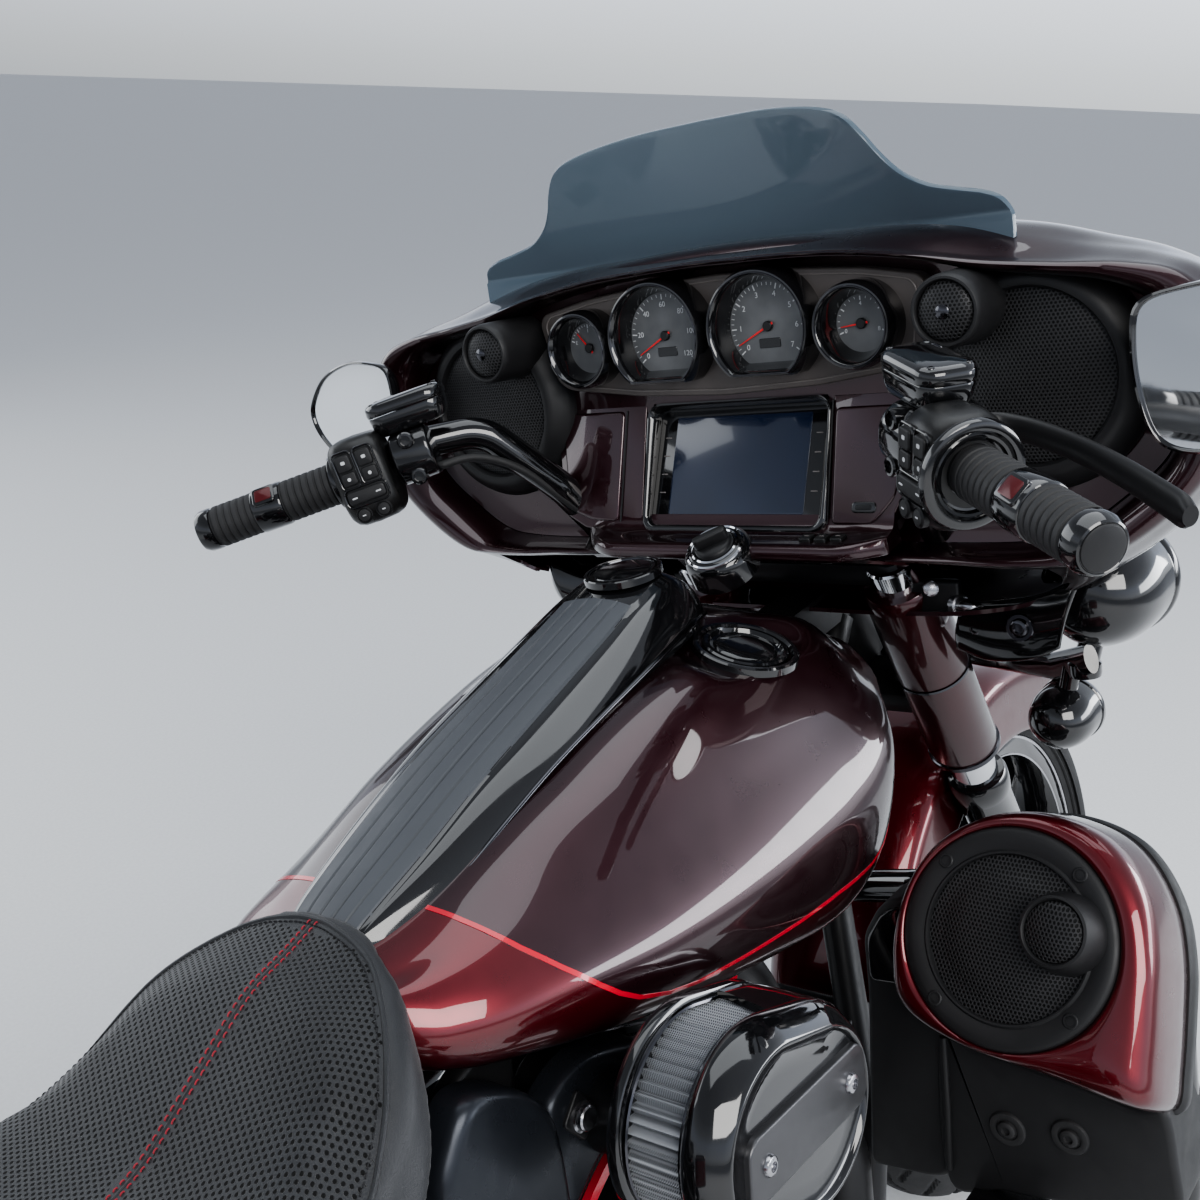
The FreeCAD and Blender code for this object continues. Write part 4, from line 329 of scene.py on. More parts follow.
def leather(name, holes):
    """Grained black leather. With holes, a fine staggered run of perforations seen from above."""
    m, nt, bs = new_mat(name)
    v = coords(nt)
    vor = nt.nodes.new("ShaderNodeTexVoronoi")
    vor.feature = "DISTANCE_TO_EDGE"
    vor.inputs["Scale"].default_value = 620.0
    nt.links.new(v, vor.inputs["Vector"])
    soft = noise(nt, v, 14.0, 4.0)
    tone = ramp(nt, soft, [(0.3, (0.0150, 0.0160, 0.0185)), (0.7, (0.0240, 0.0255, 0.0290))])
    grain = maprange(nt, vor.outputs["Distance"], 0.0, 0.12, 0.0, 1.0)
    n0 = nt.nodes.new("ShaderNodeBump")
    n0.inputs["Strength"].default_value = 0.28
    n0.inputs["Distance"].default_value = 0.0004
    nt.links.new(grain, n0.inputs["Height"])
    if holes:
        sp = local_axes(nt)
        d = dots(nt, sp[0], sp[1], 0.0046, 0.30)
        nt.links.new(mix_colour(nt, d, (0.0006, 0.0006, 0.0007), tone), bs.inputs["Base Color"])
        bump(nt, bs, d, 1.0, 0.0016, before=n0.outputs["Normal"])
    else:
        nt.links.new(tone, bs.inputs["Base Color"])
        nt.links.new(n0.outputs["Normal"], bs.inputs["Normal"])
    rough = maprange(nt, soft, 0.3, 0.7, 0.40, 0.50)
    if holes:
        nt.links.new(maprange(nt, d, 0.0, 1.0, 1.0, 0.44), bs.inputs["Roughness"])
    else:
        nt.links.new(rough, bs.inputs["Roughness"])
    bs.inputs["Sheen Weight"].default_value = 0.12
    bs.inputs["Sheen Roughness"].default_value = 0.4
    return m


def mesh_cloth(name="speaker_mesh"):
    """Pressed black speaker mesh: round holes in a staggered grid, seen from the front."""
    m, nt, bs = new_mat(name)
    sp = local_axes(nt)
    d = dots(nt, sp[1], sp[2], 0.0034, 0.34)
    nt.links.new(mix_colour(nt, d, (0.0015, 0.0015, 0.0015), (0.040, 0.040, 0.042)), bs.inputs["Base Color"])
    bs.inputs["Roughness"].default_value = 0.45
    bs.inputs["Metallic"].default_value = 0.3
    bump(nt, bs, d, 0.9, 0.0010)
    return m


MAT["gauge_face"] = gauge_face()
MAT["screen"] = screen_face()
MAT["smoked"] = smoked()
MAT["lamp"] = lamp_glass()
MAT["leather"] = leather("leather_smooth", False)
MAT["leather_holes"] = leather("leather_perforated", True)
MAT["mesh"] = mesh_cloth()



def gauze(name="filter_gauze"):
    """Fine woven wire over the filter's folds."""
    m, nt, bs = new_mat(name)
    sp = local_axes(nt)
    d = dots(nt, sp[1], sp[2], 0.0017, 0.34)
    nt.links.new(mix_colour(nt, d, (0.10, 0.105, 0.115), (0.56, 0.58, 0.61)), bs.inputs["Base Color"])
    bs.inputs["Roughness"].default_value = 0.42
    bs.inputs["Metallic"].default_value = 0.6
    bump(nt, bs, d, 0.5, 0.0004)
    return m


MAT["gauze"] = gauze()
MAT["console_satin"] = plain("console_satin_charcoal", (0.062, 0.068, 0.078), 0.46, 0.0, 900.0, 0.0002, 0.25, vary=0.08)
MAT["rocker"] = plain("rocker_satin_grey", (0.030, 0.034, 0.042), 0.30, 0.55, 500.0, 0.0001, 0.15, vary=0.05)
# darker copy of the cherry paint: painted shade for the fork covers, which sit under the fairing
MAT["cherry_deep"] = paint("cherry_deep", (0.012, 0.0012, 0.0026), (0.060, 0.0045, 0.0085), 0.6)
MAT["marker_red"] = plain("marker_red", (0.085, 0.007, 0.009), 0.22, 0.1, 400.0, 0.0001, 0.1, vary=0.1)
MAT["seam_dark"] = plain("thread_charcoal", (0.010, 0.010, 0.012), 0.7, 0.0, 700.0, 0.0002, 0.3, vary=0.1)
MAT["plate_satin"] = plain("plate_satin_grey", (0.105, 0.105, 0.11), 0.36, 0.75, 1200.0, 0.0001, 0.2, vary=0.06)

CAD_MAT = {
    "frame": "satin_black", "swingarm": "satin_black", "rear_axle": "steel", "rear_shocks": "satin_black", "engine_case": "engine",
    "primary_cover": "gloss_black", "front_cylinder": "engine", "rear_cylinder": "engine", "air_cleaner": "gloss_black",
    "exhaust_header": "satin_black", "mufflers": "gloss_black", "fuel_tank": "brown", "tank_console": "gloss_black", "seat": "leather",
    "rear_fender": "brown", "fender_supports": "gloss_black", "side_covers": "brown", "tail_lights": "lamp_red", "engine_guard": "gloss_black",
    "lower_fairings": "cherry", "lower_speakers": "plastic", "footboards": "rubber", "passenger_boards": "rubber", "foot_controls": "gloss_black",
    "oil_cooler": "plastic", "rear_caliper": "satin_black", "drive_belt": "rubber", "saddlebag_left": "cherry", "saddlebag_right": "cherry",
    "saddlebag_lid_left": "brown", "saddlebag_lid_right": "brown", "triple_clamp": "satin_black", "fork_legs": "gloss_black", "fork_covers": "cherry",
    "handlebar": "gloss_black", "grips": "rubber", "hand_controls": "switch", "outer_fairing": "brown", "inner_fairing": "brown", "gauge_panel": "taupe",
    "display": "screen", "fairing_speakers": "plastic", "windshield": "smoked", "headlamp": "lamp", "passing_lamps": "gloss_black", "mirrors": "gloss_black",
    "front_fender": "cherry", "front_calipers": "satin_black", "front_axle": "steel", "front_tyre": "tyre", "front_wheel": "gloss_black",
    "rear_tyre": "tyre", "rear_wheel": "gloss_black", "side_stand": "satin_black", "fuel_cap": "gloss_black", "media_door": "brown",
}
for n, o in NODES.items():
    o.data.materials.clear()
    o.data.materials.append(MAT[CAD_MAT.get(n, "satin_black")])


# ------------------------------------------------------------------ mesh helpers
def link(name, me):
    o = bpy.data.objects.new(name, me)
    bpy.context.scene.collection.objects.link(o)
    return o


def finish_obj(o, mat, body, slot=None, smooth=True, stand_for=(), angle=35.0):
    """Give a piece made in mm on the upright machine its place, material and body; the slot is not used."""
    o.data.transform(Matrix.Diagonal((0.001, 0.001, 0.001, 1.0)))
    o.data.transform(M)
    mats = mat if isinstance(mat, (list, tuple)) else [mat]
    kept = [p.material_index for p in o.data.polygons] if len(mats) > 1 else None
    o.data.materials.clear()
    for k in mats:
        o.data.materials.append(MAT[k] if isinstance(k, str) else k)
    if kept:
        o.data.polygons.foreach_set("material_index", kept)
    if smooth:
        for p in o.data.polygons:
            p.use_smooth = True
        if angle:
            o.data.set_sharp_from_angle(angle=math.radians(angle))
    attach(o, body)
    if stand_for:
        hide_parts(*stand_for)
    return o


def from_bm(name, bm, mat, body, **kw):
    bmesh.ops.recalc_face_normals(bm, faces=bm.faces)
    me = bpy.data.meshes.new(name)
    bm.to_mesh(me)
    bm.free()
    return finish_obj(link(name, me), mat, body, **kw)


def catmull(pts, n, closed=False):
    """n points a span along a smooth line through the given points."""
    P = [Vector(p) for p in pts]
    out, N = [], len(P)
    spans = N if closed else N - 1
    for i in range(spans):
        if closed:
            a, b, c, d = P[(i - 1) % N], P[i], P[(i + 1) % N], P[(i + 2) % N]
        else:
            b, c = P[i], P[i + 1]
            a = P[i - 1] if i > 0 else b * 2 - c
            d = P[i + 2] if i + 2 < N else c * 2 - b
        for k in range(n):
            t = k / n
            out.append(0.5 * ((2 * b) + (c - a) * t + (2 * a - 5 * b + 4 * c - d) * t * t + (3 * b - a - 3 * c + d) * t ** 3))
    if not closed:
        out.append(P[-1].copy())
    return out


def even(pts, n, closed=False):
    """The same line cut into n equal steps."""
    P = [Vector(p) for p in pts]
    if closed:
        P = P + [P[0]]
    L = [0.0]
    for a, b in zip(P, P[1:]):
        L.append(L[-1] + (b - a).length)
    out, j = [], 0
    steps = n if closed else n - 1
    for i in range(n):
        s = L[-1] * i / steps
        while j < len(L) - 2 and L[j + 1] < s:
            j += 1
        t = (s - L[j]) / max(1e-9, L[j + 1] - L[j])
        out.append(P[j].lerp(P[j + 1], min(1.0, t)))
    return out


def skin(bm, rings, closed=True, cap_a=False, cap_b=False, mat_index=0):
    """Faces between rings of equal counts."""
    vr = [[bm.verts.new(p) for p in r] for r in rings]
    for a, b in zip(vr, vr[1:]):
        n = len(a)
        for i in range(n if closed else n - 1):
            j = (i + 1) % n
            f = bm.faces.new((a[i], a[j], b[j], b[i]))
            f.material_index = mat_index
    if cap_a:
        bm.faces.new(list(reversed(vr[0]))).material_index = mat_index
    if cap_b:
        bm.faces.new(vr[-1]).material_index = mat_index
    return vr


def frame_axes(d):
    d = Vector(d).normalized()
    ref = Vector((0, 0, 1)) if abs(d.z) < 0.9 else Vector((1, 0, 0))
    u = d.cross(ref).normalized()
    return u, d.cross(u).normalized(), d


def lathe_bm(bm, profile, at, way, seg=64, mat_index=0, closed_ends=True, start=0.0):
    """Turn (radius, along) pairs about an axis."""
    u, v, d = frame_axes(way)
    at = Vector(at)
    rings = []
    for r, h in profile:
        r = max(r, 0.02)
        rings.append([at + d * h + (u * cos(start + 2 * pi * k / seg) + v * sin(start + 2 * pi * k / seg)) * r for k in range(seg)])
    return skin(bm, rings, True, closed_ends, closed_ends, mat_index)


def lathe(name, profile, at, way, mat, body, seg=64, **kw):
    bm = bmesh.new()
    lathe_bm(bm, profile, at, way, seg)
    return from_bm(name, bm, mat, body, **kw)


def tube_bm(bm, pts, radius, seg=20, caps=True, mat_index=0, flat=1.0):
    P = [Vector(p) for p in pts]
    n = len(P)
    T = [(P[min(i + 1, n - 1)] - P[max(i - 1, 0)]).normalized() for i in range(n)]
    u, v, _ = frame_axes(T[0])
    rings = []
    for i in range(n):
        u = (u - T[i] * u.dot(T[i])).normalized()
        v = T[i].cross(u)
        r = radius(i / (n - 1)) if callable(radius) else radius
        rings.append([P[i] + (u * cos(2 * pi * k / seg) + v * flat * sin(2 * pi * k / seg)) * r for k in range(seg)])
    return skin(bm, rings, True, caps, caps, mat_index)


def tube(name, pts, radius, mat, body, seg=20, **kw):
    bm = bmesh.new()
    tube_bm(bm, pts, radius, seg)
    return from_bm(name, bm, mat, body, **kw)


def add_mod(o, kind, **kw):
    m = o.modifiers.new(kind.lower(), kind)
    for k, v in kw.items():
        setattr(m, k, v)
    return m


def apply_mods(o):
    dg = bpy.context.evaluated_depsgraph_get()
    me = bpy.data.meshes.new_from_object(o.evaluated_get(dg))
    old = o.data
    o.modifiers.clear()
    o.data = me
    if old.users == 0:
        bpy.data.meshes.remove(old)
    return o


def slab_bm(bm, outline, origin, u, v, depth, bevel=1.5, steps=3, mat_index=0, crown=0.0):
    """A plate with a rounded front edge: outline (a, b) in the u, v plane, front at origin, depth against u x v."""
    u, v = Vector(u).normalized(), Vector(v).normalized()
    w = u.cross(v).normalized()
    origin = Vector(origin)
    ca = sum(a for a, _ in outline) / len(outline)
    cb = sum(b for _, b in outline) / len(outline)
    n = len(outline)

    def offset(d):
        out = []
        for i in range(n):
            a0, b0 = outline[i - 1]
            a1, b1 = outline[i]
            a2, b2 = outline[(i + 1) % n]
            e1 = Vector((a1 - a0, b1 - b0)).normalized()
            e2 = Vector((a2 - a1, b2 - b1)).normalized()
            nrm = Vector((-(e1.y + e2.y), e1.x + e2.x))
            L = max(0.35, nrm.length)
            nrm = nrm / (L * L) * 2.0 if L else nrm
            out.append((a1 + nrm.x * d, b1 + nrm.y * d))
        return out
    area = sum(outline[i - 1][0] * outline[i][1] - outline[i][0] * outline[i - 1][1] for i in range(n))
    s = 1.0 if area > 0 else -1.0
    rings = [[origin + u * a + v * b - w * depth for a, b in outline]]
    for k in range(steps + 1):
        t = k / steps * pi / 2
        off = offset(s * bevel * (1 - cos(t)))
        rings.append([origin + u * a + v * b - w * (bevel * (1 - sin(t))) for a, b in off])
    vr = skin(bm, rings, True, True, False, mat_index)
    last = vr[-1]
    if crown:
        mid = bm.verts.new(origin + u * ca + v * cb + w * crown)
        for i in range(n):
            bm.faces.new((last[i], last[(i + 1) % n], mid)).material_index = mat_index
    else:
        bm.faces.new(last).material_index = mat_index
    return vr


def slab(name, outline, origin, u, v, depth, mat, body, bevel=1.5, steps=3, crown=0.0, **kw):
    bm = bmesh.new()
    slab_bm(bm, outline, origin, u, v, depth, bevel, steps, 0, crown)
    return from_bm(name, bm, mat, body, **kw)


def rrect(w, h, r, n=6, cx=0.0, cy=0.0):
    """Rounded rectangle outline, anticlockwise."""
    out = []
    for sx, sy, a0 in ((1, 1, 0), (-1, 1, 90), (-1, -1, 180), (1, -1, 270)):
        for k in range(n + 1):
            a = math.radians(a0 + 90 * k / n)
            out.append((cx + sx * (w / 2 - r) + r * cos(a), cy + sy * (h / 2 - r) + r * sin(a)))
    return out


def ring_outline(r, n=48, cx=0.0, cy=0.0, flat=None):
    out = []
    for k in range(n):
        a = 2 * pi * k / n
        x, y = r * cos(a), r * sin(a)
        if flat is not None and y < -flat:
            y = -flat
        out.append((cx + x, cy + y))
    return out


def bolt(bm, at, way, r=5.0, h=4.0, mat_index=0, socket=True):
    """A button-head bolt with a recess."""
    prof = [(r, 0), (r, h * 0.35), (r * 0.86, h * 0.8), (r * 0.62, h)]
    if socket:
        prof += [(r * 0.48, h), (r * 0.44, h * 0.35), (0.05, h * 0.3)]
    else:
        prof += [(0.05, h * 1.05)]
    lathe_bm(bm, prof, at, way, 20, mat_index)


# ------------------------------------------------------------------ fuel tank
def half_loop(pts, n):
    """A closed loop across the machine from half a profile, crown first and keel last, n points in all."""
    line = catmull([(0, -pts[0][0] if pts[0][0] else 0, pts[0][1])] + [(0, y, z) for y, z in pts[1:]], 10)
    half = even(line, n // 2 + 1)
    right = [Vector((0, -p.y, p.z)) for p in half[1:-1]]
    return half + list(reversed(right))


def body_of_sections(bm, rows, n_around, n_span, round_a=(), round_b=(), mat_index=0):
    """Smooth body through sections (x, half profile), with extra shrunken rings at each end."""
    loops = [(x, half_loop(p, n_around)) for x, p in rows]
    cols = []
    for k in range(n_around):
        line = [Vector((x, loop[k].y, loop[k].z)) for x, loop in loops]
        cols.append(catmull(line, n_span))
    rings = [[c[i] for c in cols] for i in range(len(cols[0]))]

    def shrunk(ring, dx, s):
        c = sum(ring, Vector()) / len(ring)
        return [Vector((p.x + dx, c.y + (p.y - c.y) * s, c.z + (p.z - c.z) * s)) for p in ring]
    first = [shrunk(rings[0], dx, s) for dx, s in reversed(round_a)]
    last = [shrunk(rings[-1], dx, s) for dx, s in round_b]
    rings = first + rings + last
    skin(bm, rings, True, True, True, mat_index)
    return rings


TANK = [
    # x, low half width and height, widest, shoulder, crown
    (640, 66, 724, 90, 742, 52, 766, 771), (668, 94, 708, 117, 737, 72, 773, 780), (720, 114, 693, 141, 733, 88, 788, 797), (830, 136, 668, 167, 722, 102, 828, 842),
    (960, 152, 648, 183, 718, 108, 862, 880), (1080, 160, 638, 187, 724, 110, 873, 890), (1160, 150, 668, 177, 750, 106, 863, 877), (1212, 112, 742, 140, 790, 88, 838, 848),
]


def tank_profile(r):
    x, lw, lz, mw, mz, tw, tz, cz = r
    return [(0, cz), (tw * 0.52, cz * 0.62 + tz * 0.38), (tw, tz), (tw * 0.42 + mw * 0.58, tz * 0.44 + mz * 0.56 + 14), (mw, mz), (lw, lz), (lw * 0.45, lz + 5), (0, lz + 9)]


def tank():
    bm = bmesh.new()
    rows = [(r[0], tank_profile(r)) for r in TANK]
    body_of_sections(bm, rows, 240, 16, [(-8, 0.93), (-14, 0.80), (-18, 0.55), (-19.5, 0.25)], [(9, 0.93), (16, 0.80), (20, 0.58), (22, 0.28)])
    bmesh.ops.recalc_face_normals(bm, faces=bm.faces)
    # two tones, parted by the pinstripe's line: lower and rearmost cherry, the rest brown black
    for f in bm.faces:
        c = f.calc_center_median()
        f.material_index = 1 if cherry_here(c) else 0
    return bm


SIDE_LINE = [(717, 796), (719, 788), (723, 781), (731, 770), (747, 752), (769, 730), (785, 716), (804, 703), (834, 691), (865, 684), (920, 680), (982, 677), (1038, 677), (1100, 674), (1140, 680), (1178, 702), (1206, 738), (1222, 775), (1232, 812)]


def line_z(x):
    for (x0, z0), (x1, z1) in zip(SIDE_LINE, SIDE_LINE[1:]):
        if x0 <= x <= x1:
            t = (x - x0) / (x1 - x0)
            return z0 + (z1 - z0) * t
    return 2000.0 if x < SIDE_LINE[0][0] else 830.0


def cherry_here(c):
    return c.z < line_z(c.x)


tank_bm = tank()
# dish round the filler, so that the cap lies open in the skin
CAP_AT, CAP_UP = Vector((1072, -96, 866)), Vector((0.02, -0.30, 0.95)).normalized()
for v_ in tank_bm.verts:
    d_ = v_.co - CAP_AT
    h_ = d_.dot(CAP_UP)
    r_ = (d_ - CAP_UP * h_).length
    if r_ < 84 and h_ > -2.0:
        t_ = min(1.0, max(0.0, (r_ - 46.0) / 38.0))
        t_ = t_ * t_ * (3 - 2 * t_)
        v_.co = v_.co - CAP_UP * (h_ + 2.0) * (1 - t_)
tank_tree = BVHTree.FromBMesh(tank_bm)
tank_obj = from_bm("fuel_tank_skin", tank_bm, ["brown", "cherry"], BODY_OF["fuel_tank"], slot="paint_body", stand_for=["fuel_tank"], angle=50)


def on_tree(tree, p, out=0.5):
    loc, nrm, _, _ = tree.find_nearest(Vector(p))
    c = Vector((950, 0, 760))
    if nrm.dot(loc - c) < 0:
        nrm = -nrm
    return loc + nrm * out, nrm


def ribbon(name, pts, width, tree, mat, body, out=0.45, slot=None, steps=14):
    """A thin raised line that lies on a surface."""
    line = even(catmull(pts, 12), max(8, steps * len(pts)))
    laid = [on_tree(tree, p, out) for p in line]
    bm = bmesh.new()
    rings = []
    for i, (p, nrm) in enumerate(laid):
        d = (laid[min(i + 1, len(laid) - 1)][0] - laid[max(i - 1, 0)][0]).normalized()
        s = d.cross(nrm).normalized()
        rings.append([p - s * width / 2 - nrm * out * 1.6, p - s * width / 2, p + s * width / 2, p + s * width / 2 - nrm * out * 1.6])
    skin(bm, rings, True, True, True)
    return from_bm(name, bm, mat, body, slot=slot)


for side, s in (("left", 1), ("right", -1)):
    # follow the two-tone line on the tank itself
    hit = []
    for i in range(len(SIDE_LINE) - 1):
        (x0, z0), (x1, z1) = SIDE_LINE[i], SIDE_LINE[i + 1]
        for k in range(6):
            t = k / 6
            x, z = x0 + (x1 - x0) * t, z0 + (z1 - z0) * t
            loc, nrm, _, _ = tank_tree.ray_cast(Vector((x, s * 260, z)), Vector((0, -s, 0)))
            if loc is not None and abs(loc.y) > 40 and x < 1200:
                hit.append(loc)
    if hit:
        ribbon("tank_pinstripe_" + side, hit[:], 3.6, tank_tree, "red_line", BODY_OF["fuel_tank"], steps=3)

# ------------------------------------------------------------------ tank console: gloss sides round a ribbed satin middle
CONSOLE = [
    # x, half width at the tank, height there, half width of the ribbed middle, its height, crown
    (650, 30, 757, 24, 768, 770), (668, 37, 768, 29, 784, 787), (688, 46, 779, 33, 797, 800), (740, 60, 797, 37, 820, 824), (800, 66, 824, 38, 846, 850), (860, 70, 848, 38, 868, 873), (960, 72, 876, 37, 903, 908),
    (1020, 68, 888, 36, 924, 929), (1060, 60, 892, 34, 931, 936), (1092, 46, 888, 30, 914, 919), (1108, 32, 882, 24, 894, 898),
]


def console():
    bm = bmesh.new()
    n_mid, n_side = 97, 16
    rows = []
    for x, w, z, mw, mz, cz in CONSOLE:
        half = []
        for k in range(n_side):
            t = k / n_side
            y = w + (mw + 3 - w) * t
            half.append((y, z + (mz - 2.0 - z) * sin(t * pi / 2) ** 0.8))
        rows.append((x, half, mw, mz, cz))
    cols_side = []
    for sgn in (1, -1):
        for k in range(n_side):
            cols_side.append((sgn, k, catmull([Vector((x, sgn * half[k][0], half[k][1])) for x, half, mw, mz, cz in rows], 18)))
    mid = []
    for k in range(n_mid):
        t = -1 + 2 * k / (n_mid - 1)
        base = catmull([Vector((x, mw * t, mz + (cz - mz) * (1 - t * t))) for x, half, mw, mz, cz in rows], 18)
        mid.append((t, base))
    nr = len(mid[0][1])
    rings = []
    for i in range(nr):
        ring = [c[i] for sgn, k, c in cols_side if sgn == 1]
        row = []
        for t, base in mid:
            p = base[i].copy()
            x = p.x
            fade = max(0.0, min(1.0, (1008 - x) / 14)) * max(0.0, min(1.0, (x - 652) / 8))
            ph = abs(((-t * 0.5 + 0.5) * 5.0) % 1.0 - 0.5) * 2
            groove = max(0.0, min(1.0, (ph - 0.80) / 0.14))
            p.z -= 1.9 * groove * fade
            row.append(p)
        ring += list(reversed(row))
        ring += [c[i] for sgn, k, c in reversed(cols_side) if sgn == -1]
        lo = [Vector((p.x, p.y * 0.97, p.z - 9)) for p in (ring[-1], ring[0])]
        rings.append(ring + lo)
    vr = skin(bm, rings, True, True, True)
    a, b = n_side, n_side + n_mid - 1
    for f in bm.faces:
        if len(f.verts) == 4:
            c = f.calc_center_median()
            hw = None
            for (x0, _, _, m0, _, _), (x1, _, _, m1, _, _) in zip(CONSOLE, CONSOLE[1:]):
                if x0 <= c.x <= x1:
                    hw = m0 + (m1 - m0) * (c.x - x0) / (x1 - x0)
            if hw and abs(c.y) < hw - 0.5 and 648 < c.x < 1006 and f.normal.z > 0:
                f.material_index = 1
    return bm


cbm = console()
bmesh.ops.recalc_face_normals(cbm, faces=cbm.faces)
for f in cbm.faces:
    c = f.calc_center_median()
    hw = 0
    for (x0, _, _, m0, _, _), (x1, _, _, m1, _, _) in zip(CONSOLE, CONSOLE[1:]):
        if x0 <= c.x <= x1:
            hw = m0 + (m1 - m0) * (c.x - x0) / (x1 - x0)
    f.material_index = 1 if (abs(c.y) < hw - 0.3 and 648 < c.x < 1006 and f.normal.z > 0.3) else 0
console_tree = BVHTree.FromBMesh(cbm)
console_obj = from_bm("console_cover", cbm, ["gloss_black", "console_satin"], BODY_OF["tank_console"], slot="black_plastic", stand_for=["tank_console"], angle=40)
for side, s in (("left", 1), ("right", -1)):
    edge = [(x - 2 if i == 0 else x, s * (w + 0.5), z + 1.0) for i, (x, w, z, mw, mz, cz) in enumerate(CONSOLE[:-1]) if x > 670]
    tube("console_edge_" + side, even(catmull(edge, 10), 90), 1.9, "dark_chrome", BODY_OF["tank_console"], seg=12, slot="black_plastic")
# plain round medallion at the console's front
MED_AT, MED_UP = Vector((1046, 0, 936.5)), Vector((-0.10, 0, 0.995)).normalized()
lathe("console_medallion", [(34, -4), (34, 1.6), (33, 2.6), (30.5, 2.8), (30, 1.6), (25.5, 1.2), (25, 2.0), (23.5, 2.3), (0.1, 2.9)], MED_AT, MED_UP, "gloss_black", BODY_OF["tank_console"], seg=72, slot="black_plastic")
bm = bmesh.new()
lathe_bm(bm, [(29.8, 1.0), (29.4, 2.3), (28.2, 2.3), (27.8, 1.0)], MED_AT, MED_UP, 72, 0, False)
from_bm("medallion_ring", bm, "dark_chrome", BODY_OF["tank_console"], slot="black_plastic")

# filler cap: a flush gloss disc in a ring
CAP_AT, CAP_UP = Vector((1072, -96, 866)), Vector((0.02, -0.30, 0.95)).normalized()
lathe("filler_cap", [(20, -18), (24, -16), (24, -5), (35.5, -4.5), (36.4, -1), (36.2, 3.2), (34.6, 4.6), (31.5, 4.8), (30.6, 3.2), (29.5, 1.6), (27, 1.2), (25.6, 2.6), (24, 3.6), (14, 4.6), (0.1, 5.0)],
      CAP_AT, CAP_UP, "gloss_black", BODY_OF["fuel_cap"], seg=84, slot="black_gloss", stand_for=["fuel_cap"])
bm = bmesh.new()
lathe_bm(bm, [(45.5, -3), (45.0, 3.0), (43.5, 4.4), (40.5, 4.2), (38.6, 2.0), (38.2, -8)], CAP_AT, CAP_UP, 84, 0, False)
from_bm("filler_ring", bm, "gloss_black", BODY_OF["fuel_tank"], slot="paint_body")

# ------------------------------------------------------------------ seat
SEAT = [
    # x, half profile from the crown down: (y, z)
    (668, [(0, 802), (22, 801.5), (44, 796), (56, 787), (60, 776), (54, 767), (0, 769)]),
    (652, [(0, 795), (40, 794), (74, 786), (90, 776), (96, 762), (90, 752), (0, 758)]),
    (612, [(0, 774), (58, 773), (106, 765), (132, 750), (142, 726), (134, 696), (0, 704)]),
    (560, [(0, 737), (70, 736), (124, 729), (154, 711), (162, 684), (152, 662), (0, 668)]),
    (500, [(0, 700), (80, 701), (140, 699), (172, 686), (182, 664), (170, 650), (0, 655)]),
    (430, [(0, 690), (84, 692), (146, 698), (180, 688), (190, 668), (176, 651), (0, 655)]),
    (350, [(0, 708), (80, 711), (140, 715), (168, 703), (176, 682), (164, 657), (0, 664)]),
    (300, [(0, 746), (70, 748), (120, 745), (150, 730), (160, 704), (150, 676), (0, 684)]),
    (262, [(0, 769), (66, 770), (114, 764), (142, 748), (152, 724), (142, 702), (0, 706)]),
    (160, [(0, 770), (62, 771), (110, 764), (136, 748), (146, 726), (136, 706), (0, 708)]),
    (40, [(0, 768), (58, 768), (100, 760), (126, 744), (134, 724), (124, 706), (0, 708)]),
    (-40, [(0, 758), (46, 757), (80, 750), (102, 738), (108, 722), (100, 706), (0, 708)]),
]


def seat():
    bm = bmesh.new()
    body_of_sections(bm, SEAT, 120, 10, [(6, 0.86), (10, 0.60), (12, 0.3)], [(-14, 0.90), (-24, 0.72), (-30, 0.4)])
    bmesh.ops.recalc_face_normals(bm, faces=bm.faces)
    me = bpy.data.meshes.new("seat_pad")
    bm.to_mesh(me)
    bm.free()
    o = link("seat_pad", me)
    o.data.transform(Matrix.Diagonal((0.001, 0.001, 0.001, 1.0)))
    o.data.transform(M)
    return o


def puff(o, pressure=4.0, cap=0.006, size=0.0055):
    """Fill a pad by cloth pressure: remesh, blow up, hold each point within the cap."""
    mod = add_mod(o, "REMESH", mode="VOXEL", voxel_size=size)
    apply_mods(o)
    before = [v.co.copy() for v in o.data.vertices]
    c = add_mod(o, "CLOTH")
    st = c.settings
    st.quality = 4
    st.mass = 0.3
    st.tension_stiffness = st.compression_stiffness = 18.0
    st.shear_stiffness = 12.0
    st.bending_stiffness = 4.0
    st.use_pressure = True
    st.uniform_pressure_force = pressure
    st.effector_weights.gravity = 0.0
    c.collision_settings.use_collision = False
    c.point_cache.frame_start, c.point_cache.frame_end = 1, 20
    sc = bpy.context.scene
    for f in range(1, 21):
        sc.frame_set(f)
    apply_mods(o)
    sc.frame_set(1)
    for v, b in zip(o.data.vertices, before):
        d = v.co - b
        if d.length > cap:
            v.co = b + d * (cap / d.length)
    add_mod(o, "SMOOTH", factor=0.5, iterations=4)
    apply_mods(o)
    return o


seat_obj = seat()
puff(seat_obj)
seat_tree_bm = bmesh.new()
seat_tree_bm.from_mesh(seat_obj.data)
seat_tree_bm.transform(Matrix.Diagonal((1000, 1000, 1000, 1)) @ MINV)
seat_tree = BVHTree.FromBMesh(seat_tree_bm)
seat_tree_bm.free()
SEAM = [(667, 0.01), (650, 0.01), (600, 0.01), (540, 0.01), (480, 0.01), (420, 0.01), (370, 0.01), (322, 0.01)]
EDGE = [(669, 0.01), (668.5, 12), (666, 26), (662, 46), (655, 66), (642, 85), (626, 104), (609, 120), (593, 132), (576, 141), (556, 150), (520, 160), (450, 168), (390, 163), (330, 145), (280, 126), (200, 118), (100, 108), (20, 96), (-36, 80)]


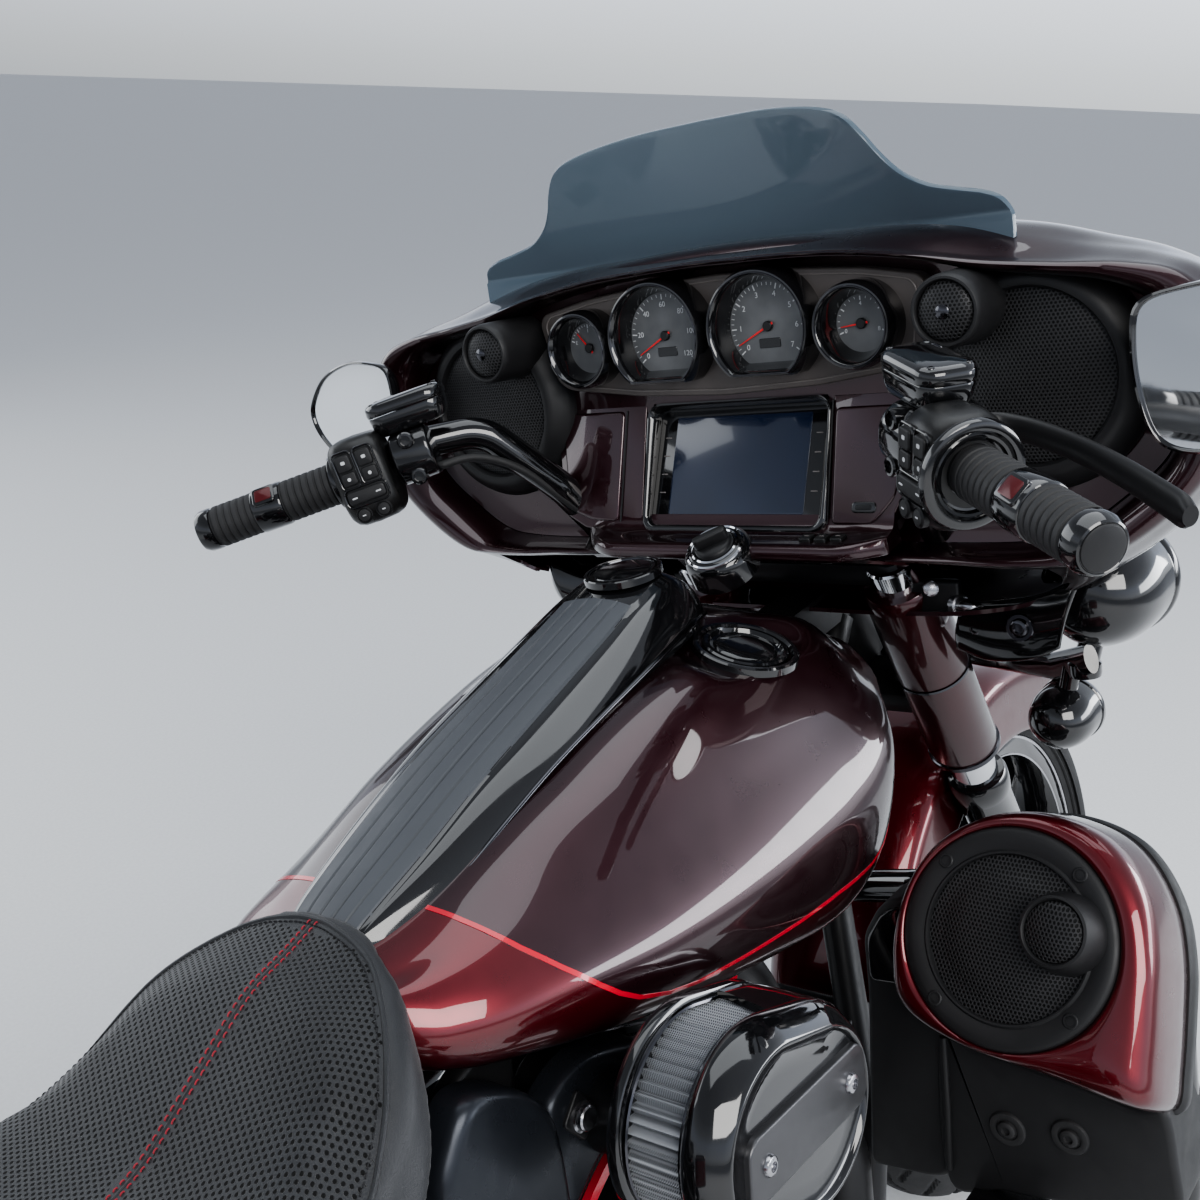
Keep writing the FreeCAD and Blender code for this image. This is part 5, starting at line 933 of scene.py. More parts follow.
def half_at(line, x):
    for (x0, y0), (x1, y1) in zip(line, line[1:]):
        if x1 <= x <= x0:
            return y1 + (y0 - y1) * (x - x1) / (x0 - x1)
    return 0.0


seat_obj.data.materials.clear()
seat_obj.data.materials.append(MAT["leather"])
seat_obj.data.materials.append(MAT["leather_holes"])
for p in seat_obj.data.polygons:
    c = MINV @ p.center * 1000.0
    n3 = M.to_3x3().inverted() @ p.normal
    inside = 322 < c.x < 660 and 6.5 < abs(c.y) < half_at(EDGE, c.x) - 5 and n3.z > 0.15
    pillion = -20 < c.x < 262 and abs(c.y) < 74 and n3.z > 0.4
    p.material_index = 1 if (inside or pillion) else 0
for p in seat_obj.data.polygons:
    p.use_smooth = True
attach(seat_obj, BODY_OF["seat"])
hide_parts("seat")


def seat_top(x, y, out=0.0):
    loc, nrm, _, _ = seat_tree.ray_cast(Vector((x, y, 900)), Vector((0, 0, -1)))
    if loc is None:
        loc, nrm, _, _ = seat_tree.find_nearest(Vector((x, y, 760)))
    if nrm.z < 0:
        nrm = -nrm
    return loc + nrm * out, nrm


def seam_line(name, pts, r, mat, out, sgn):
    line = [seat_top(x, sgn * y, out)[0] for x, y, _ in even(catmull([(a, b, 0) for a, b in pts], 10), 110)]
    return tube(name, line, r, mat, BODY_OF["seat"], seg=8, slot="seat_skin")


def stitches(name, pts, sgn, off, mat="thread_red", step=5.2, length=3.4, r=0.55, lift=0.5):
    base = even(catmull([(a, b, 0) for a, b in pts], 10), 400)
    total = sum((b - a).length for a, b in zip(base, base[1:]))
    n = int(total / step)
    line = even(base, n * 2 + 1)
    bm = bmesh.new()
    for i in range(0, len(line) - 1, 2):
        a, b = line[i], line[i + 1]
        d = (b - a).normalized()
        side = Vector((-d.y, d.x, 0)) * off
        pa, na = seat_top(a.x + side.x, sgn * (a.y + side.y), lift)
        pb, nb = seat_top(b.x + side.x, sgn * (b.y + side.y), lift)
        m_ = (pa + pb) / 2 + na * 0.35
        tube_bm(bm, [pa - na * 0.9, pa, m_, pb, pb - nb * 0.9], r, 6)
    return from_bm(name, bm, mat, BODY_OF["seat"], slot="seat_skin")


seam_line("seat_seam", SEAM, 1.2, "leather", -0.5, 1)
stitches("seat_stitch_left", SEAM, 1, 3.6)
stitches("seat_stitch_right", SEAM, 1, -3.6)
for side, s in (("left", 1), ("right", -1)):
    seam_line("seat_piping_" + side, EDGE, 2.1, "leather", -0.2, s)
    stitches("seat_piping_stitch_" + side, EDGE, s, 5.0, "seam_dark", 4.6, 3.2, 0.5)

# ------------------------------------------------------------------ fairing shell, rim and dash floor
RIM_OUT = [(0, 1180), (120, 1176), (200, 1166), (262, 1154), (320, 1146), (372, 1140), (414, 1127), (438, 1094), (443, 1040), (430, 985), (394, 944), (345, 912), (300, 905), (220, 906), (120, 908), (0, 908)]
RIM_IN = [(0, 1172), (120, 1168), (206, 1156), (258, 1141), (312, 1132), (354, 1122), (384, 1104), (402, 1076), (404, 1036), (390, 990), (352, 954), (310, 926), (270, 918), (200, 916), (110, 916), (0, 916)]
SHELL = [
    (1212, RIM_OUT),
    (1248, [(0, 1187), (130, 1186), (214, 1180), (272, 1170), (330, 1156), (384, 1144), (424, 1126), (444, 1090), (448, 1038), (434, 980), (398, 936), (346, 898), (300, 884), (220, 880), (120, 878), (0, 878)]),
    (1292, [(0, 1188), (130, 1188), (216, 1184), (284, 1174), (338, 1158), (388, 1140), (424, 1114), (438, 1076), (440, 1028), (420, 968), (376, 920), (318, 880), (262, 850), (196, 836), (110, 832), (0, 832)]),
    (1350, [(0, 1176), (120, 1174), (204, 1166), (276, 1150), (330, 1130), (376, 1106), (404, 1078), (414, 1046), (410, 1004), (384, 956), (334, 912), (276, 876), (222, 850), (168, 836), (100, 832), (0, 832)]),
    (1420, [(0, 1140), (100, 1137), (180, 1127), (248, 1110), (300, 1090), (338, 1066), (358, 1040), (360, 1008), (346, 970), (310, 932), (262, 896), (214, 868), (176, 850), (132, 838), (80, 834), (0, 834)]),
    (1488, [(0, 1085), (76, 1081), (136, 1070), (190, 1054), (232, 1036), (262, 1012), (276, 988), (274, 958), (258, 926), (228, 896), (196, 872), (164, 854), (134, 842), (100, 834), (60, 830), (0, 830)]),
    (1532, [(0, 1028), (50, 1024), (90, 1014), (122, 1000), (148, 984), (164, 964), (170, 944), (168, 918), (156, 892), (140, 872), (124, 856), (106, 844), (86, 834), (60, 826), (34, 822), (0, 821)]),
    (1548, [(0, 1004), (36, 1001), (64, 993), (84, 982), (98, 968), (106, 950), (108, 932), (106, 908), (98, 886), (88, 868), (76, 854), (62, 842), (46, 832), (30, 826), (16, 822), (0, 821)]),
]


def half_even(pts, n):
    return even(catmull([(0, y, z) for y, z in pts], 8), n)


def outline_loop(pts, n):
    """Points matched one to one from the crown to the keel, then back up the other side."""
    fine = []
    line = catmull([(0, y, z) for y, z in pts], n)
    half = line
    right = [Vector((0, -p.y, p.z)) for p in half[1:-1]]
    return half + list(reversed(right))


def fairing_shell():
    bm = bmesh.new()
    k = 8
    loops = [(x, outline_loop(p, k)) for x, p in SHELL]
    n = len(loops[0][1])
    cols = [catmull([Vector((x, lp[i].y, lp[i].z)) for x, lp in loops], 8) for i in range(n)]
    rings = [[c[i] for c in cols] for i in range(len(cols[0]))]
    rim_o, rim_i = outline_loop(RIM_OUT, k), outline_loop(RIM_IN, k)

    def between(t, x):
        return [Vector((x, a.y + (b.y - a.y) * t, a.z + (b.z - a.z) * t)) for a, b in zip(rim_o, rim_i)]
    lip = [between(0.97, 1247), between(0.90, 1236), between(0.80, 1222), between(0.62, 1211), between(0.42, 1206), between(0.22, 1204.5), between(0.08, 1206.5)]
    skin(bm, lip + rings, True, False, False)
    return bm


fbm = fairing_shell()
# the lamp's opening and the fork's way out at the keel
kill = []
for f in fbm.faces:
    c = f.calc_center_median()
    if c.x > 1500 and math.hypot(c.y, c.z - 905) < 90:
        kill.append(f)
    if c.x < 1478 and abs(c.y) < 190 and c.z < 880 and f.normal.z ** 2 > 0.2 and c.x > 1215:
        kill.append(f)
    if c.x < 1296 and abs(c.y) < 300 and c.z < 902:
        kill.append(f)
bmesh.ops.delete(fbm, geom=list(set(kill)), context="FACES")
# a little room for the tank's front corners at full lock
for v_ in fbm.verts:
    if v_.co.x < 1330 and v_.co.z < 930:
        v_.co.x += 3.5 * min(1.0, (1330 - v_.co.x) / 30.0) * max(0.0, min(1.0, (250 - abs(v_.co.y)) / 30.0)) * min(1.0, (930 - v_.co.z) / 20.0)
bmesh.ops.recalc_face_normals(fbm, faces=fbm.faces)
me = bpy.data.meshes.new("fairing_shell")
fbm.to_mesh(me)
fbm.free()
shell_obj = link("fairing_shell", me)
add_mod(shell_obj, "SOLIDIFY", thickness=4.0, offset=-1.0, use_rim=True)
apply_mods(shell_obj)
finish_obj(shell_obj, "brown", "steering", slot="paint_body", stand_for=["outer_fairing"], angle=55)

# dash floor: one gloss plate inside the rim
def dash_floor():
    bm = bmesh.new()
    rim_i = outline_loop(RIM_IN, 8)
    mid = Vector((0, 0, 1040))
    rings = []
    for t, x in [(1.0, 1247.5), (0.93, 1250)] + [(0.93 - 0.03 * k, 1250.5 + 0.03 * k) for k in range(1, 30)]:
        rings.append([Vector((x, mid.y + (p.y - mid.y) * t, mid.z + (p.z - mid.z) * t)) for p in rim_i])
    skin(bm, rings, True, False, True)
    # open the floor behind the display's bay
    gone = [f for f in bm.faces if any(abs(v.co.y) < 96 and 934 < v.co.z < 1046 for v in f.verts) or all(abs(v.co.y) < 97 and 930 < v.co.z < 1050 for v in f.verts)]
    bmesh.ops.delete(bm, geom=gone, context="FACES")
    return bm


from_bm("dash_floor", dash_floor(), "brown", "steering", slot="paint_body", stand_for=["inner_fairing"], angle=50)

# brow over the dials: a gloss band rising to the screen's foot
bm = bmesh.new()
top_half = [(-292, 1146), (-240, 1160), (-160, 1172), (-80, 1178), (0, 1180), (80, 1178), (160, 1172), (240, 1160), (292, 1146)]
tl = even(catmull([(0, y, z) for y, z in top_half], 8), 90)
rings = []
for dx, dz in ((1246, -8), (1240, -3), (1231, -2.5), (1227, 0.5), (1229, 5), (1238, 9.5), (1252, 12), (1272, 13), (1292, 9)):
    rings.append([Vector((dx - (abs(p.y) / 292) ** 2 * 5, p.y, p.z + dz * (1 - 0.45 * (abs(p.y) / 292) ** 2))) for p in tl])
skin(bm, rings, False)
me = bpy.data.meshes.new("dash_brow")
bmesh.ops.recalc_face_normals(bm, faces=bm.faces)
bm.to_mesh(me)
bm.free()
o = link("dash_brow", me)
add_mod(o, "SOLIDIFY", thickness=2.4, offset=-1.0)
apply_mods(o)
finish_obj(o, "brown", "steering", slot="paint_body", angle=55)

# ------------------------------------------------------------------ speakers in the fairing
for side, s in (("left", 1), ("right", -1)):
    at, way = Vector((1249, s * 289, 1057)), Vector((-1, 0, 0))
    lathe("speaker_bezel_" + side, [(96, -2), (96, 3), (93, 9), (88, 15), (83, 20), (79.5, 22.5), (76, 23.5), (72.5, 23), (70.5, 20), (70, 10)], at, way, "plastic", "steering", seg=96, slot="black_plastic",
          stand_for=["fairing_speakers"] if s > 0 else ())
    lathe("speaker_mesh_" + side, [(70.5, 8), (70.2, 17.5), (66, 19.2), (50, 22.4), (34, 24.6), (16, 26.0), (0.1, 26.4)], at, way, "mesh", "steering", seg=96, slot="black_plastic")
    tw = Vector((1224, s * 245, 1118))
    lathe("tweeter_pod_" + side, [(31, -24), (30.5, 0), (30, 26), (29.6, 38), (28.8, 43), (27.2, 45.2), (25.4, 45.4), (24.4, 44.2), (24.0, 40), (23.8, 34)], tw, way, "plastic", "steering", seg=72, slot="black_plastic")
    lathe("tweeter_mesh_" + side, [(24.1, 38), (23.7, 41.2), (21, 43.6), (15, 46.0), (8, 47.4), (0.1, 47.9)], tw, way, "mesh", "steering", seg=64, slot="black_plastic")
    lathe("tweeter_dome_" + side, [(6.2, 46.5), (5.8, 48.2), (4.0, 49.4), (0.1, 49.9)], tw, way, "dark_chrome", "steering", seg=32, slot="black_plastic")

# ------------------------------------------------------------------ dials
def rounded(points, r, n=6):
    """A polygon with each corner rounded off."""
    out, N = [], len(points)
    for i in range(N):
        p = Vector(points[i]).to_2d()
        a, b = (Vector(points[i - 1]).to_2d() - p), (Vector(points[(i + 1) % N]).to_2d() - p)
        k = min(r, a.length * 0.45, b.length * 0.45)
        p0, p1 = p + a.normalized() * k, p + b.normalized() * k
        for j in range(n + 1):
            t = j / n
            q = p0 * (1 - t) ** 2 + p * 2 * t * (1 - t) + p1 * t * t
            out.append((q.x, q.y))
    return out


PANEL = rounded([(-206, 1138), (-198, 1080), (-186, 1070), (-100, 1060), (0, 1056), (100, 1060), (186, 1070), (200, 1080), (212, 1138), (206, 1147), (150, 1157), (75, 1164), (0, 1166), (-75, 1164), (-150, 1157), (-200, 1147)], 9, 3)
slab("dial_panel", [(-y, z) for y, z in reversed([(p[0], p[1]) for p in PANEL])] and [(-p[0], p[1]) for p in PANEL], (1234, 0, 0), (0, -1, 0), (0, 0, 1), 18, "taupe", "steering", bevel=2.0, slot="panel_taupe", stand_for=["gauge_panel"])
bm = bmesh.new()
border = [Vector((1233.6, p[0] * 0.962, 1112 + (p[1] - 1112) * 0.90)) for p in PANEL]
tube_bm(bm, [*border, border[0]], 0.8, 6)
from_bm("dial_panel_line", bm, "grey_line", "steering", slot="panel_taupe")


def text(name, word, size, at, mat, body, slot=None, turn=0.0):
    """Plain figures standing on the dial, readable from the saddle."""
    cu = bpy.data.curves.new(name, "FONT")
    cu.body = word
    cu.size = size
    cu.align_x = "CENTER"
    cu.align_y = "CENTER"
    cu.extrude = 0.12
    o = link(name, cu)
    bpy.context.view_layer.update()
    me = bpy.data.meshes.new_from_object(o.evaluated_get(bpy.context.evaluated_depsgraph_get()))
    bpy.data.objects.remove(o)
    # text's x runs to the rider's right (-y), its y runs up, its face looks back (-x)
    R = Matrix(((0, 0, -1, at[0]), (-1, 0, 0, at[1]), (0, 1, 0, at[2]), (0, 0, 0, 1)))
    me.transform(R)
    return me


def gauge(name, y, z, r, flat, numbers, sweep, needle, face_x=1229.0, crest_x=1205.0):
    way = Vector((-1, 0, 0))
    # bezel, flat at the bottom when told
    bm = bmesh.new()
    prof = [(r, 1235), (r, 1220), (r - 0.6, 1210), (r - 2.6, crest_x + 0.5), (r - 4.8, crest_x), (r - 6.6, crest_x + 1.6), (r - 8.6, 1213), (r - 11.2, 1221), (r - 13.8, face_x + 0.6), (r - 14.0, face_x + 2)]
    rings = []
    for rr, x in prof:
        fl = None if flat is None else flat * (rr / r) ** 0.3 * 1.0 - (r - rr) * 0.55
        rings.append([Vector((x, y - a, z + b)) for a, b in ring_outline(rr, 96, 0, 0, fl)])
    skin(bm, rings, True, False, False)
    from_bm("bezel_" + name, bm, "gloss_black", "steering", slot="panel_taupe", angle=50)
    # thin bright ring on the crest
    bm = bmesh.new()
    rr = r - 4.8
    fl = None if flat is None else flat * (rr / r) ** 0.3 - (r - rr) * 0.55
    ringp = [Vector((crest_x + 0.2, y - a, z + b)) for a, b in ring_outline(rr, 96, 0, 0, fl)]
    tube_bm(bm, [*ringp, ringp[0]], 0.75, 6)
    from_bm("bezel_line_" + name, bm, "dark_chrome", "steering", slot="panel_taupe")
    # face
    bm = bmesh.new()
    rr = r - 13.4
    fl = None if flat is None else flat - (r - rr) * 0.55
    a_ = [Vector((face_x, y - a, z + b)) for a, b in ring_outline(rr, 96, 0, 0, fl)]
    b_ = [Vector((face_x + 2, y - a, z + b)) for a, b in ring_outline(rr, 96, 0, 0, fl)]
    skin(bm, [b_, a_], True, True, True)
    from_bm("dial_face_" + name, bm, "gauge_face", "steering", slot="panel_taupe")
    # ticks and figures
    bm = bmesh.new()
    a0, a1 = math.radians(sweep[0]), math.radians(sweep[1])
    major = len(numbers) - 1
    sub = 5 if r > 45 else 4
    for k in range(major * sub + 1):
        t = k / (major * sub)
        a = a0 + (a1 - a0) * t
        big = k % sub == 0
        r1 = rr - 1.6
        r0 = r1 - (5.2 if big else 2.8) * (r / 55)
        w = 0.55 if big else 0.28
        d = Vector((0, -sin(a), cos(a)))
        if flat is not None and d.z * r1 < -(flat - (r - rr) * 0.55) + 2:
            continue
        n_ = Vector((0, -cos(a), -sin(a)))
        c0, c1 = Vector((face_x - 0.25, y, z)) + d * r0, Vector((face_x - 0.25, y, z)) + d * r1
        q = [c0 - n_ * w, c0 + n_ * w, c1 + n_ * w, c1 - n_ * w]
        skin(bm, [[p + Vector((0.4, 0, 0)) for p in q], q], True, True, True)
    me2 = bpy.data.meshes.new("tmp")
    bm.to_mesh(me2)
    bm.free()
    metas = [me2]
    for k, num in enumerate(numbers):
        a = a0 + (a1 - a0) * k / major
        d = Vector((0, -sin(a), cos(a)))
        rad = rr - 11.5 * (r / 55)
        pz = z + d.z * rad
        if num:
            metas.append(text("t", num, 6.6 * (r / 55) + 0.6, (face_x - 0.25, y + d.y * rad, pz), "white_mark", "steering"))
    bm = bmesh.new()
    for me_ in metas:
        bm.from_mesh(me_)
        bpy.data.meshes.remove(me_)
    me3 = bpy.data.meshes.new("dial_marks_" + name)
    bm.to_mesh(me3)
    bm.free()
    finish_obj(link("dial_marks_" + name, me3), "white_mark", "steering", slot="panel_taupe", smooth=False)
    # needle and hub
    a = math.radians(needle)
    d, n_ = Vector((0, -sin(a), cos(a))), Vector((0, -cos(a), -sin(a)))
    c = Vector((face_x - 2.2, y, z))
    bm = bmesh.new()
    q = [c - d * 6 - n_ * 1.1, c - d * 6 + n_ * 1.1, c + d * (rr - 5) + n_ * 0.35, c + d * (rr - 5) - n_ * 0.35]
    skin(bm, [[p + Vector((0.7, 0, 0)) for p in q], q], True, True, True)
    from_bm("needle_" + name, bm, "red_needle", "steering", slot="panel_taupe", smooth=False)
    lathe("needle_hub_" + name, [(4.6, 0), (4.6, 2.6), (3.9, 3.4), (0.1, 3.6)], (face_x - 0.1, y, z), way, "satin_black", "steering", seg=32, slot="panel_taupe")
    # an inset window on the big ones
    if r > 45:
        bm = bmesh.new()
        slab_bm(bm, rrect(22, 8.5, 1.2, 3), (face_x - 0.6, y, z - 15), (0, -1, 0), (0, 0, 1), 1.0, 0.3, 1)
        from_bm("dial_window_" + name, bm, "gloss_black", "steering", slot="panel_taupe")


gauge("big_left", 56, 1116, 53.5, 43, ["0", "20", "40", "60", "80", "100", "120"], (-128, 128), -118)
gauge("big_right", -56, 1116, 53.5, 43, ["0", "1", "2", "3", "4", "5", "6", "7"], (-128, 128), -116)
gauge("small_left", 148, 1111, 38.0, None, ["E", "", "1", "", "F"], (-70, 70), -40)
gauge("small_right", -148, 1111, 38.0, None, ["0", "", "4", "", "8"], (-110, 110), -96)

# ------------------------------------------------------------------ lower dash
WAY = Vector((1252 - 1219, 0, 1050 - 938)).normalized()
OUT = Vector((-WAY.z, 0, WAY.x))
MID = Vector((1233.9, 0, 988.5))
ACROSS = Vector((0, -1, 0))


def dash_pt(y, b, out=0.0):
    return MID + Vector((0, y, 0)) + WAY * b + OUT * out


def dash_slab(name, outline_y, mat, out, depth, bevel=3.0, body="steering", **kw):
    """A plate on the lower dash, its outline in (y, height up the slope)."""
    pts = [(-y, b) for y, b in outline_y]
    return slab(name, pts, dash_pt(0, 0, out), ACROSS, WAY, depth, mat, body, bevel=bevel, **kw)


for nm_, ol_ in (("left", [(105, 64), (105, -60), (118, -65), (176, -58), (204, -44), (222, 64)]), ("right", [(-101.5, 64), (-198, 64), (-184, -4), (-160, -56), (-120, -65), (-101.5, -60)]), ("foot", [(-112, -61.5), (-116, -66), (114, -66), (110, -61.5)])):
    dash_slab("dash_lower_" + nm_, rounded(ol_, 2.5, 4), "brown", 0.4, 26, 2.2, slot="paint_body")
dash_slab("dash_left_panel", rounded([(131, 58), (134, -52), (166, -50), (196, -40), (206, 20), (210, 58)], 6, 4), "brown", 2.6, 6, 2.4, slot="paint_body")
door = dash_slab("media_door_skin", rounded([(-105.5, 51.5), (-105.5, -53.5), (-146, -53.5), (-166, -30), (-177, 20), (-178, 51.5)], 6, 4), "brown", 3.0, 7.5, 2.4, body="media_door", slot="paint_body", stand_for=["media_door"])
# slot latch on the door
dash_slab("door_latch_rim", rounded([(-126, -33), (-126, -43), (-150, -43), (-150, -33)], 5, 5), "gloss_black", 4.4, 3, 1.2, body="media_door", slot="paint_body")
dash_slab("door_latch_slot", rounded([(-130, -35.6), (-130, -40.4), (-146, -40.4), (-146, -35.6)], 2.3, 4), "satin_black", 4.9, 2, 0.4, body="media_door", slot="paint_body")

# display: a deep gloss frame round a leaning dark screen
SW_ = Vector((1253 - 1221, 0, 1026 - 951)).normalized()
SO_ = Vector((-SW_.z, 0, SW_.x))
SM_ = Vector((1238.5, 0, 988.5))


def screen_slab(name, outline_y, mat, out, depth, bevel=1.0, **kw):
    return slab(name, [(-y, b) for y, b in outline_y], SM_ + SO_ * out, ACROSS, SW_, depth, mat, "steering", bevel=bevel, **kw)


bay_o = rrect(203, 127, 15, 7)
bay_i = rrect(188, 112, 9, 7)
bm = bmesh.new()
prof = [(0.0, -4.0, 0), (0.0, 3.0, 0), (0.10, 5.4, 0), (0.35, 6.8, 0), (0.65, 6.4, 0), (0.88, 4.6, 0), (1.0, 1.0, 0), (1.0, -8.0, 0)]
rings = []
for t, h, _ in prof:
    ring = []
    for (a, b), (c, d) in zip(bay_o, bay_i):
        y, q = -(a + (c - a) * t), b + (d - b) * t
        pa, pb = dash_pt(y, q, h), SM_ + Vector((0, y, 0)) + SW_ * q + SO_ * h
        ring.append(pa.lerp(pb, t * 0.85))
    rings.append(ring)
skin(bm, rings, True, False, False)
from_bm("display_frame", bm, "gloss_black", "steering", slot="screen_glass", angle=60)
screen_slab("display_glass", [(-a, b) for a, b in rrect(189, 113, 8, 6)], "gloss_black", -2.0, 8, 0.8, slot="screen_glass", stand_for=["display"])
screen_slab("display_screen", [(-a, b) for a, b in rrect(150, 95, 2.0, 3, 0, 2)], "screen", -1.5, 3, 0.3, slot="screen_glass")
bm = bmesh.new()
for sy in (1, -1):
    for k, b in enumerate((30, 12, -6, -24)):
        slab_bm(bm, rrect(7, 1.1, 0.5, 2, sy * 84, b), SM_ + SO_ * -1.4, ACROSS, SW_, 1.0, 0.2, 1)
from_bm("display_marks", bm, "grey_line", "steering", slot="screen_glass")
# seams each side of the display bay
bm = bmesh.new()
for y0, y1 in ((128, 131), (-102, -101)):
    tube_bm(bm, [dash_pt(y0, 58, 1.2), dash_pt((y0 + y1) / 2, 0, 1.2), dash_pt(y1, -55, 1.2)], 1.0, 8)
from_bm("dash_seams", bm, "satin_black", "steering", slot="paint_body")

# shelf below the display with the ignition switch and three square buttons
SHELF = [(1222, 946), (1216, 937), (1206, 931), (1192, 928.5), (1183, 926.5), (1178.5, 922), (1179, 915), (1184, 911.5), (1200, 914), (1240, 917)]
bm = bmesh.new()
rings = []
ys = [-166, -160, -140, -110, -70, -30, 0, 40, 80, 120, 150, 168, 175]
shelf_line = even(catmull([(x, 0, z) for x, z in SHELF], 6), 44)
for i, y in enumerate(even([(0, y, 0) for y in ys], 60)):
    yy = y.y
    edge = max(0.0, (abs(yy + 4) - 120) / 50.0)
    rings.append([Vector((p.x + (1222 - p.x) * min(1.0, edge ** 2 * 0.75), yy, p.z + edge * 4)) for p in shelf_line])
skin(bm, rings, True, True, True)
from_bm("dash_shelf", bm, "brown", "steering", slot="paint_body", angle=55)
bm = bmesh.new()
for k, y in enumerate((-92, -107, -122)):
    slab_bm(bm, rrect(12, 13, 2.2, 4), Vector((1196 + (k == 2) * 2, y, 932.6)), (0, -1, 0), (1, 0, 0.16), 5, 1.2, 3)
bmesh.ops.recalc_face_normals(bm, faces=bm.faces)
from_bm("dash_buttons", bm, "switch", "steering", slot="black_plastic")
bm = bmesh.new()
for k, y in enumerate((-92, -107, -122)):
    slab_bm(bm, rrect(4.5, 1.0, 0.4, 2), Vector((1196 + (k == 2) * 2, y, 933.1)), (0, -1, 0), (1, 0, 0.16), 0.6, 0.1, 1)
from_bm("dash_button_marks", bm, "grey_line", "steering", slot="black_plastic")
IGN, IGN_WAY = Vector((1172, -10, 926)), Vector((-0.52, -0.02, 0.85)).normalized()
lathe("ignition_housing", [(34, -26), (33, -8), (31, -2), (27, 1.5), (23, 2.5), (22.4, 0), (0.1, 0)], IGN, IGN_WAY, "gloss_black", "steering", seg=72, slot="black_gloss")
bm = bmesh.new()
for r0, h0 in ((26.5, 1.8), (21.0, 3.2)):
    lathe_bm(bm, [(r0 + 1.6, h0 - 1.6), (r0 + 1.4, h0), (r0, h0 + 1.0), (r0 - 1.4, h0), (r0 - 1.6, h0 - 1.6)], IGN, IGN_WAY, 72, 0, False)
from_bm("ignition_rings", bm, "chrome", "steering", slot="steel")
bm = bmesh.new()
lathe_bm(bm, [(18.5, -1), (18.5, 5), (17.2, 7.4), (14, 8.4), (0.1, 8.8)], IGN, IGN_WAY, 64)
u_, v_, d_ = frame_axes(IGN_WAY)
slab_bm(bm, rrect(33, 9, 4.2, 6), IGN + IGN_WAY * 19, (u_ * 0.8 + v_ * 0.6), (u_ * -0.6 + v_ * 0.8), 12, 2.0, 4)
from_bm("ignition_knob", bm, "satin_black", "steering", slot="black_plastic", angle=45)

# ------------------------------------------------------------------ windshield
SCREEN_TOP = [(0, 1300), (60, 1298.5), (105, 1293.5), (138, 1286), (155, 1277), (167, 1262), (178, 1244), (192, 1228), (212, 1216), (238, 1209), (260, 1204), (274, 1197), (281, 1184)]


def screen_x(y, z):
    k = 0.36 + 0.25 * min(1.6, (abs(y) / 155.0) ** 2)
    return 1286 - (y / 275.0) ** 2 * 42 - max(0.0, z - 1188) * k


def windshield():
    bm = bmesh.new()
    prof = catmull([(y, z, 0) for y, z in SCREEN_TOP], 6)
    ys = [-p.x for p in reversed(prof[1:])] + [p.x for p in prof]
    tops = [p.y for p in reversed(prof[1:])] + [p.y for p in prof]
    rows = []
    for y, zt in zip(ys, tops):
        zb = 1172 - (abs(y) / 281.0) ** 2 * 12
        rows.append([Vector((screen_x(y, zb + (zt - zb) * k / 22), y, zb + (zt - zb) * k / 22)) for k in range(23)])
    skin(bm, rows, False)
    bmesh.ops.remove_doubles(bm, verts=bm.verts, dist=0.01)
    bmesh.ops.recalc_face_normals(bm, faces=bm.faces)
    me = bpy.data.meshes.new("windshield_sheet")
    bm.to_mesh(me)
    bm.free()
    o = link("windshield_sheet", me)
    add_mod(o, "SOLIDIFY", thickness=4.2, offset=0.0)
    add_mod(o, "BEVEL", width=1.1, segments=2, limit_method="ANGLE", angle_limit=math.radians(60))
    apply_mods(o)
    return finish_obj(o, "smoked", "steering", slot="smoked_glass", stand_for=["windshield"], angle=50)


windshield()
# a rubber bead on the fairing at the screen's foot
bm = bmesh.new()
bead = [Vector((screen_x(y, 1188) + 4.5, y, 1188.5 - (abs(y) / 281.0) ** 2 * 8)) for y in [k * 10 - 270 for k in range(55)]]
tube_bm(bm, bead, 2.4, 10)
from_bm("screen_bead", bm, "rubber", "steering", slot="rubber_black")

# ------------------------------------------------------------------ mirrors
MIRROR = [(390, 1112), (420, 1121), (460, 1122), (505, 1108), (534, 1082), (540, 1062), (527, 1038), (495, 1014), (455, 1002), (420, 1000), (398, 1012), (387, 1046), (384, 1085)]
for side, s in (("left", 1), ("right", -1)):
    ln = even(catmull([(0, y, z) for y, z in MIRROR], 8, True), 96, True)
    yc, zc = 462.0, 1062.0

    def ring(k, x, lift=0.0):
        return [Vector((x + (p.y - yc) * 0.10 * k, s * (yc + (p.y - yc) * k), zc + (p.z - zc) * k)) for p in ln]
    bm = bmesh.new()
    skin(bm, [ring(0.10, 1226), ring(0.40, 1224), ring(0.70, 1217), ring(0.90, 1207), ring(0.985, 1198), ring(1.0, 1192), ring(0.99, 1188.5), ring(0.965, 1187.2), ring(0.945, 1188.4), ring(0.935, 1191)], True, True, False)
    from_bm("mirror_shell_" + side, bm, "gloss_black", "steering", slot="black_gloss", stand_for=["mirrors"] if s > 0 else ())
    bm = bmesh.new()
    skin(bm, [ring(0.938, 1191.5), ring(0.936, 1190.6), ring(0.92, 1190.6), ring(0.6, 1191.0), ring(0.3, 1191.25), ring(0.04, 1191.35)], True, True, True)
    from_bm("mirror_glass_" + side, bm, "mirror", "steering", slot="mirror_glass")
    tube("mirror_stem_" + side, even(catmull([(1246, s * 420, 1052), (1236, s * 436, 1056), (1226, s * 452, 1060), (1212, s * 462, 1062)], 8), 20), lambda t: 11 - 2.5 * t, "gloss_black", "steering", seg=20, slot="black_gloss")

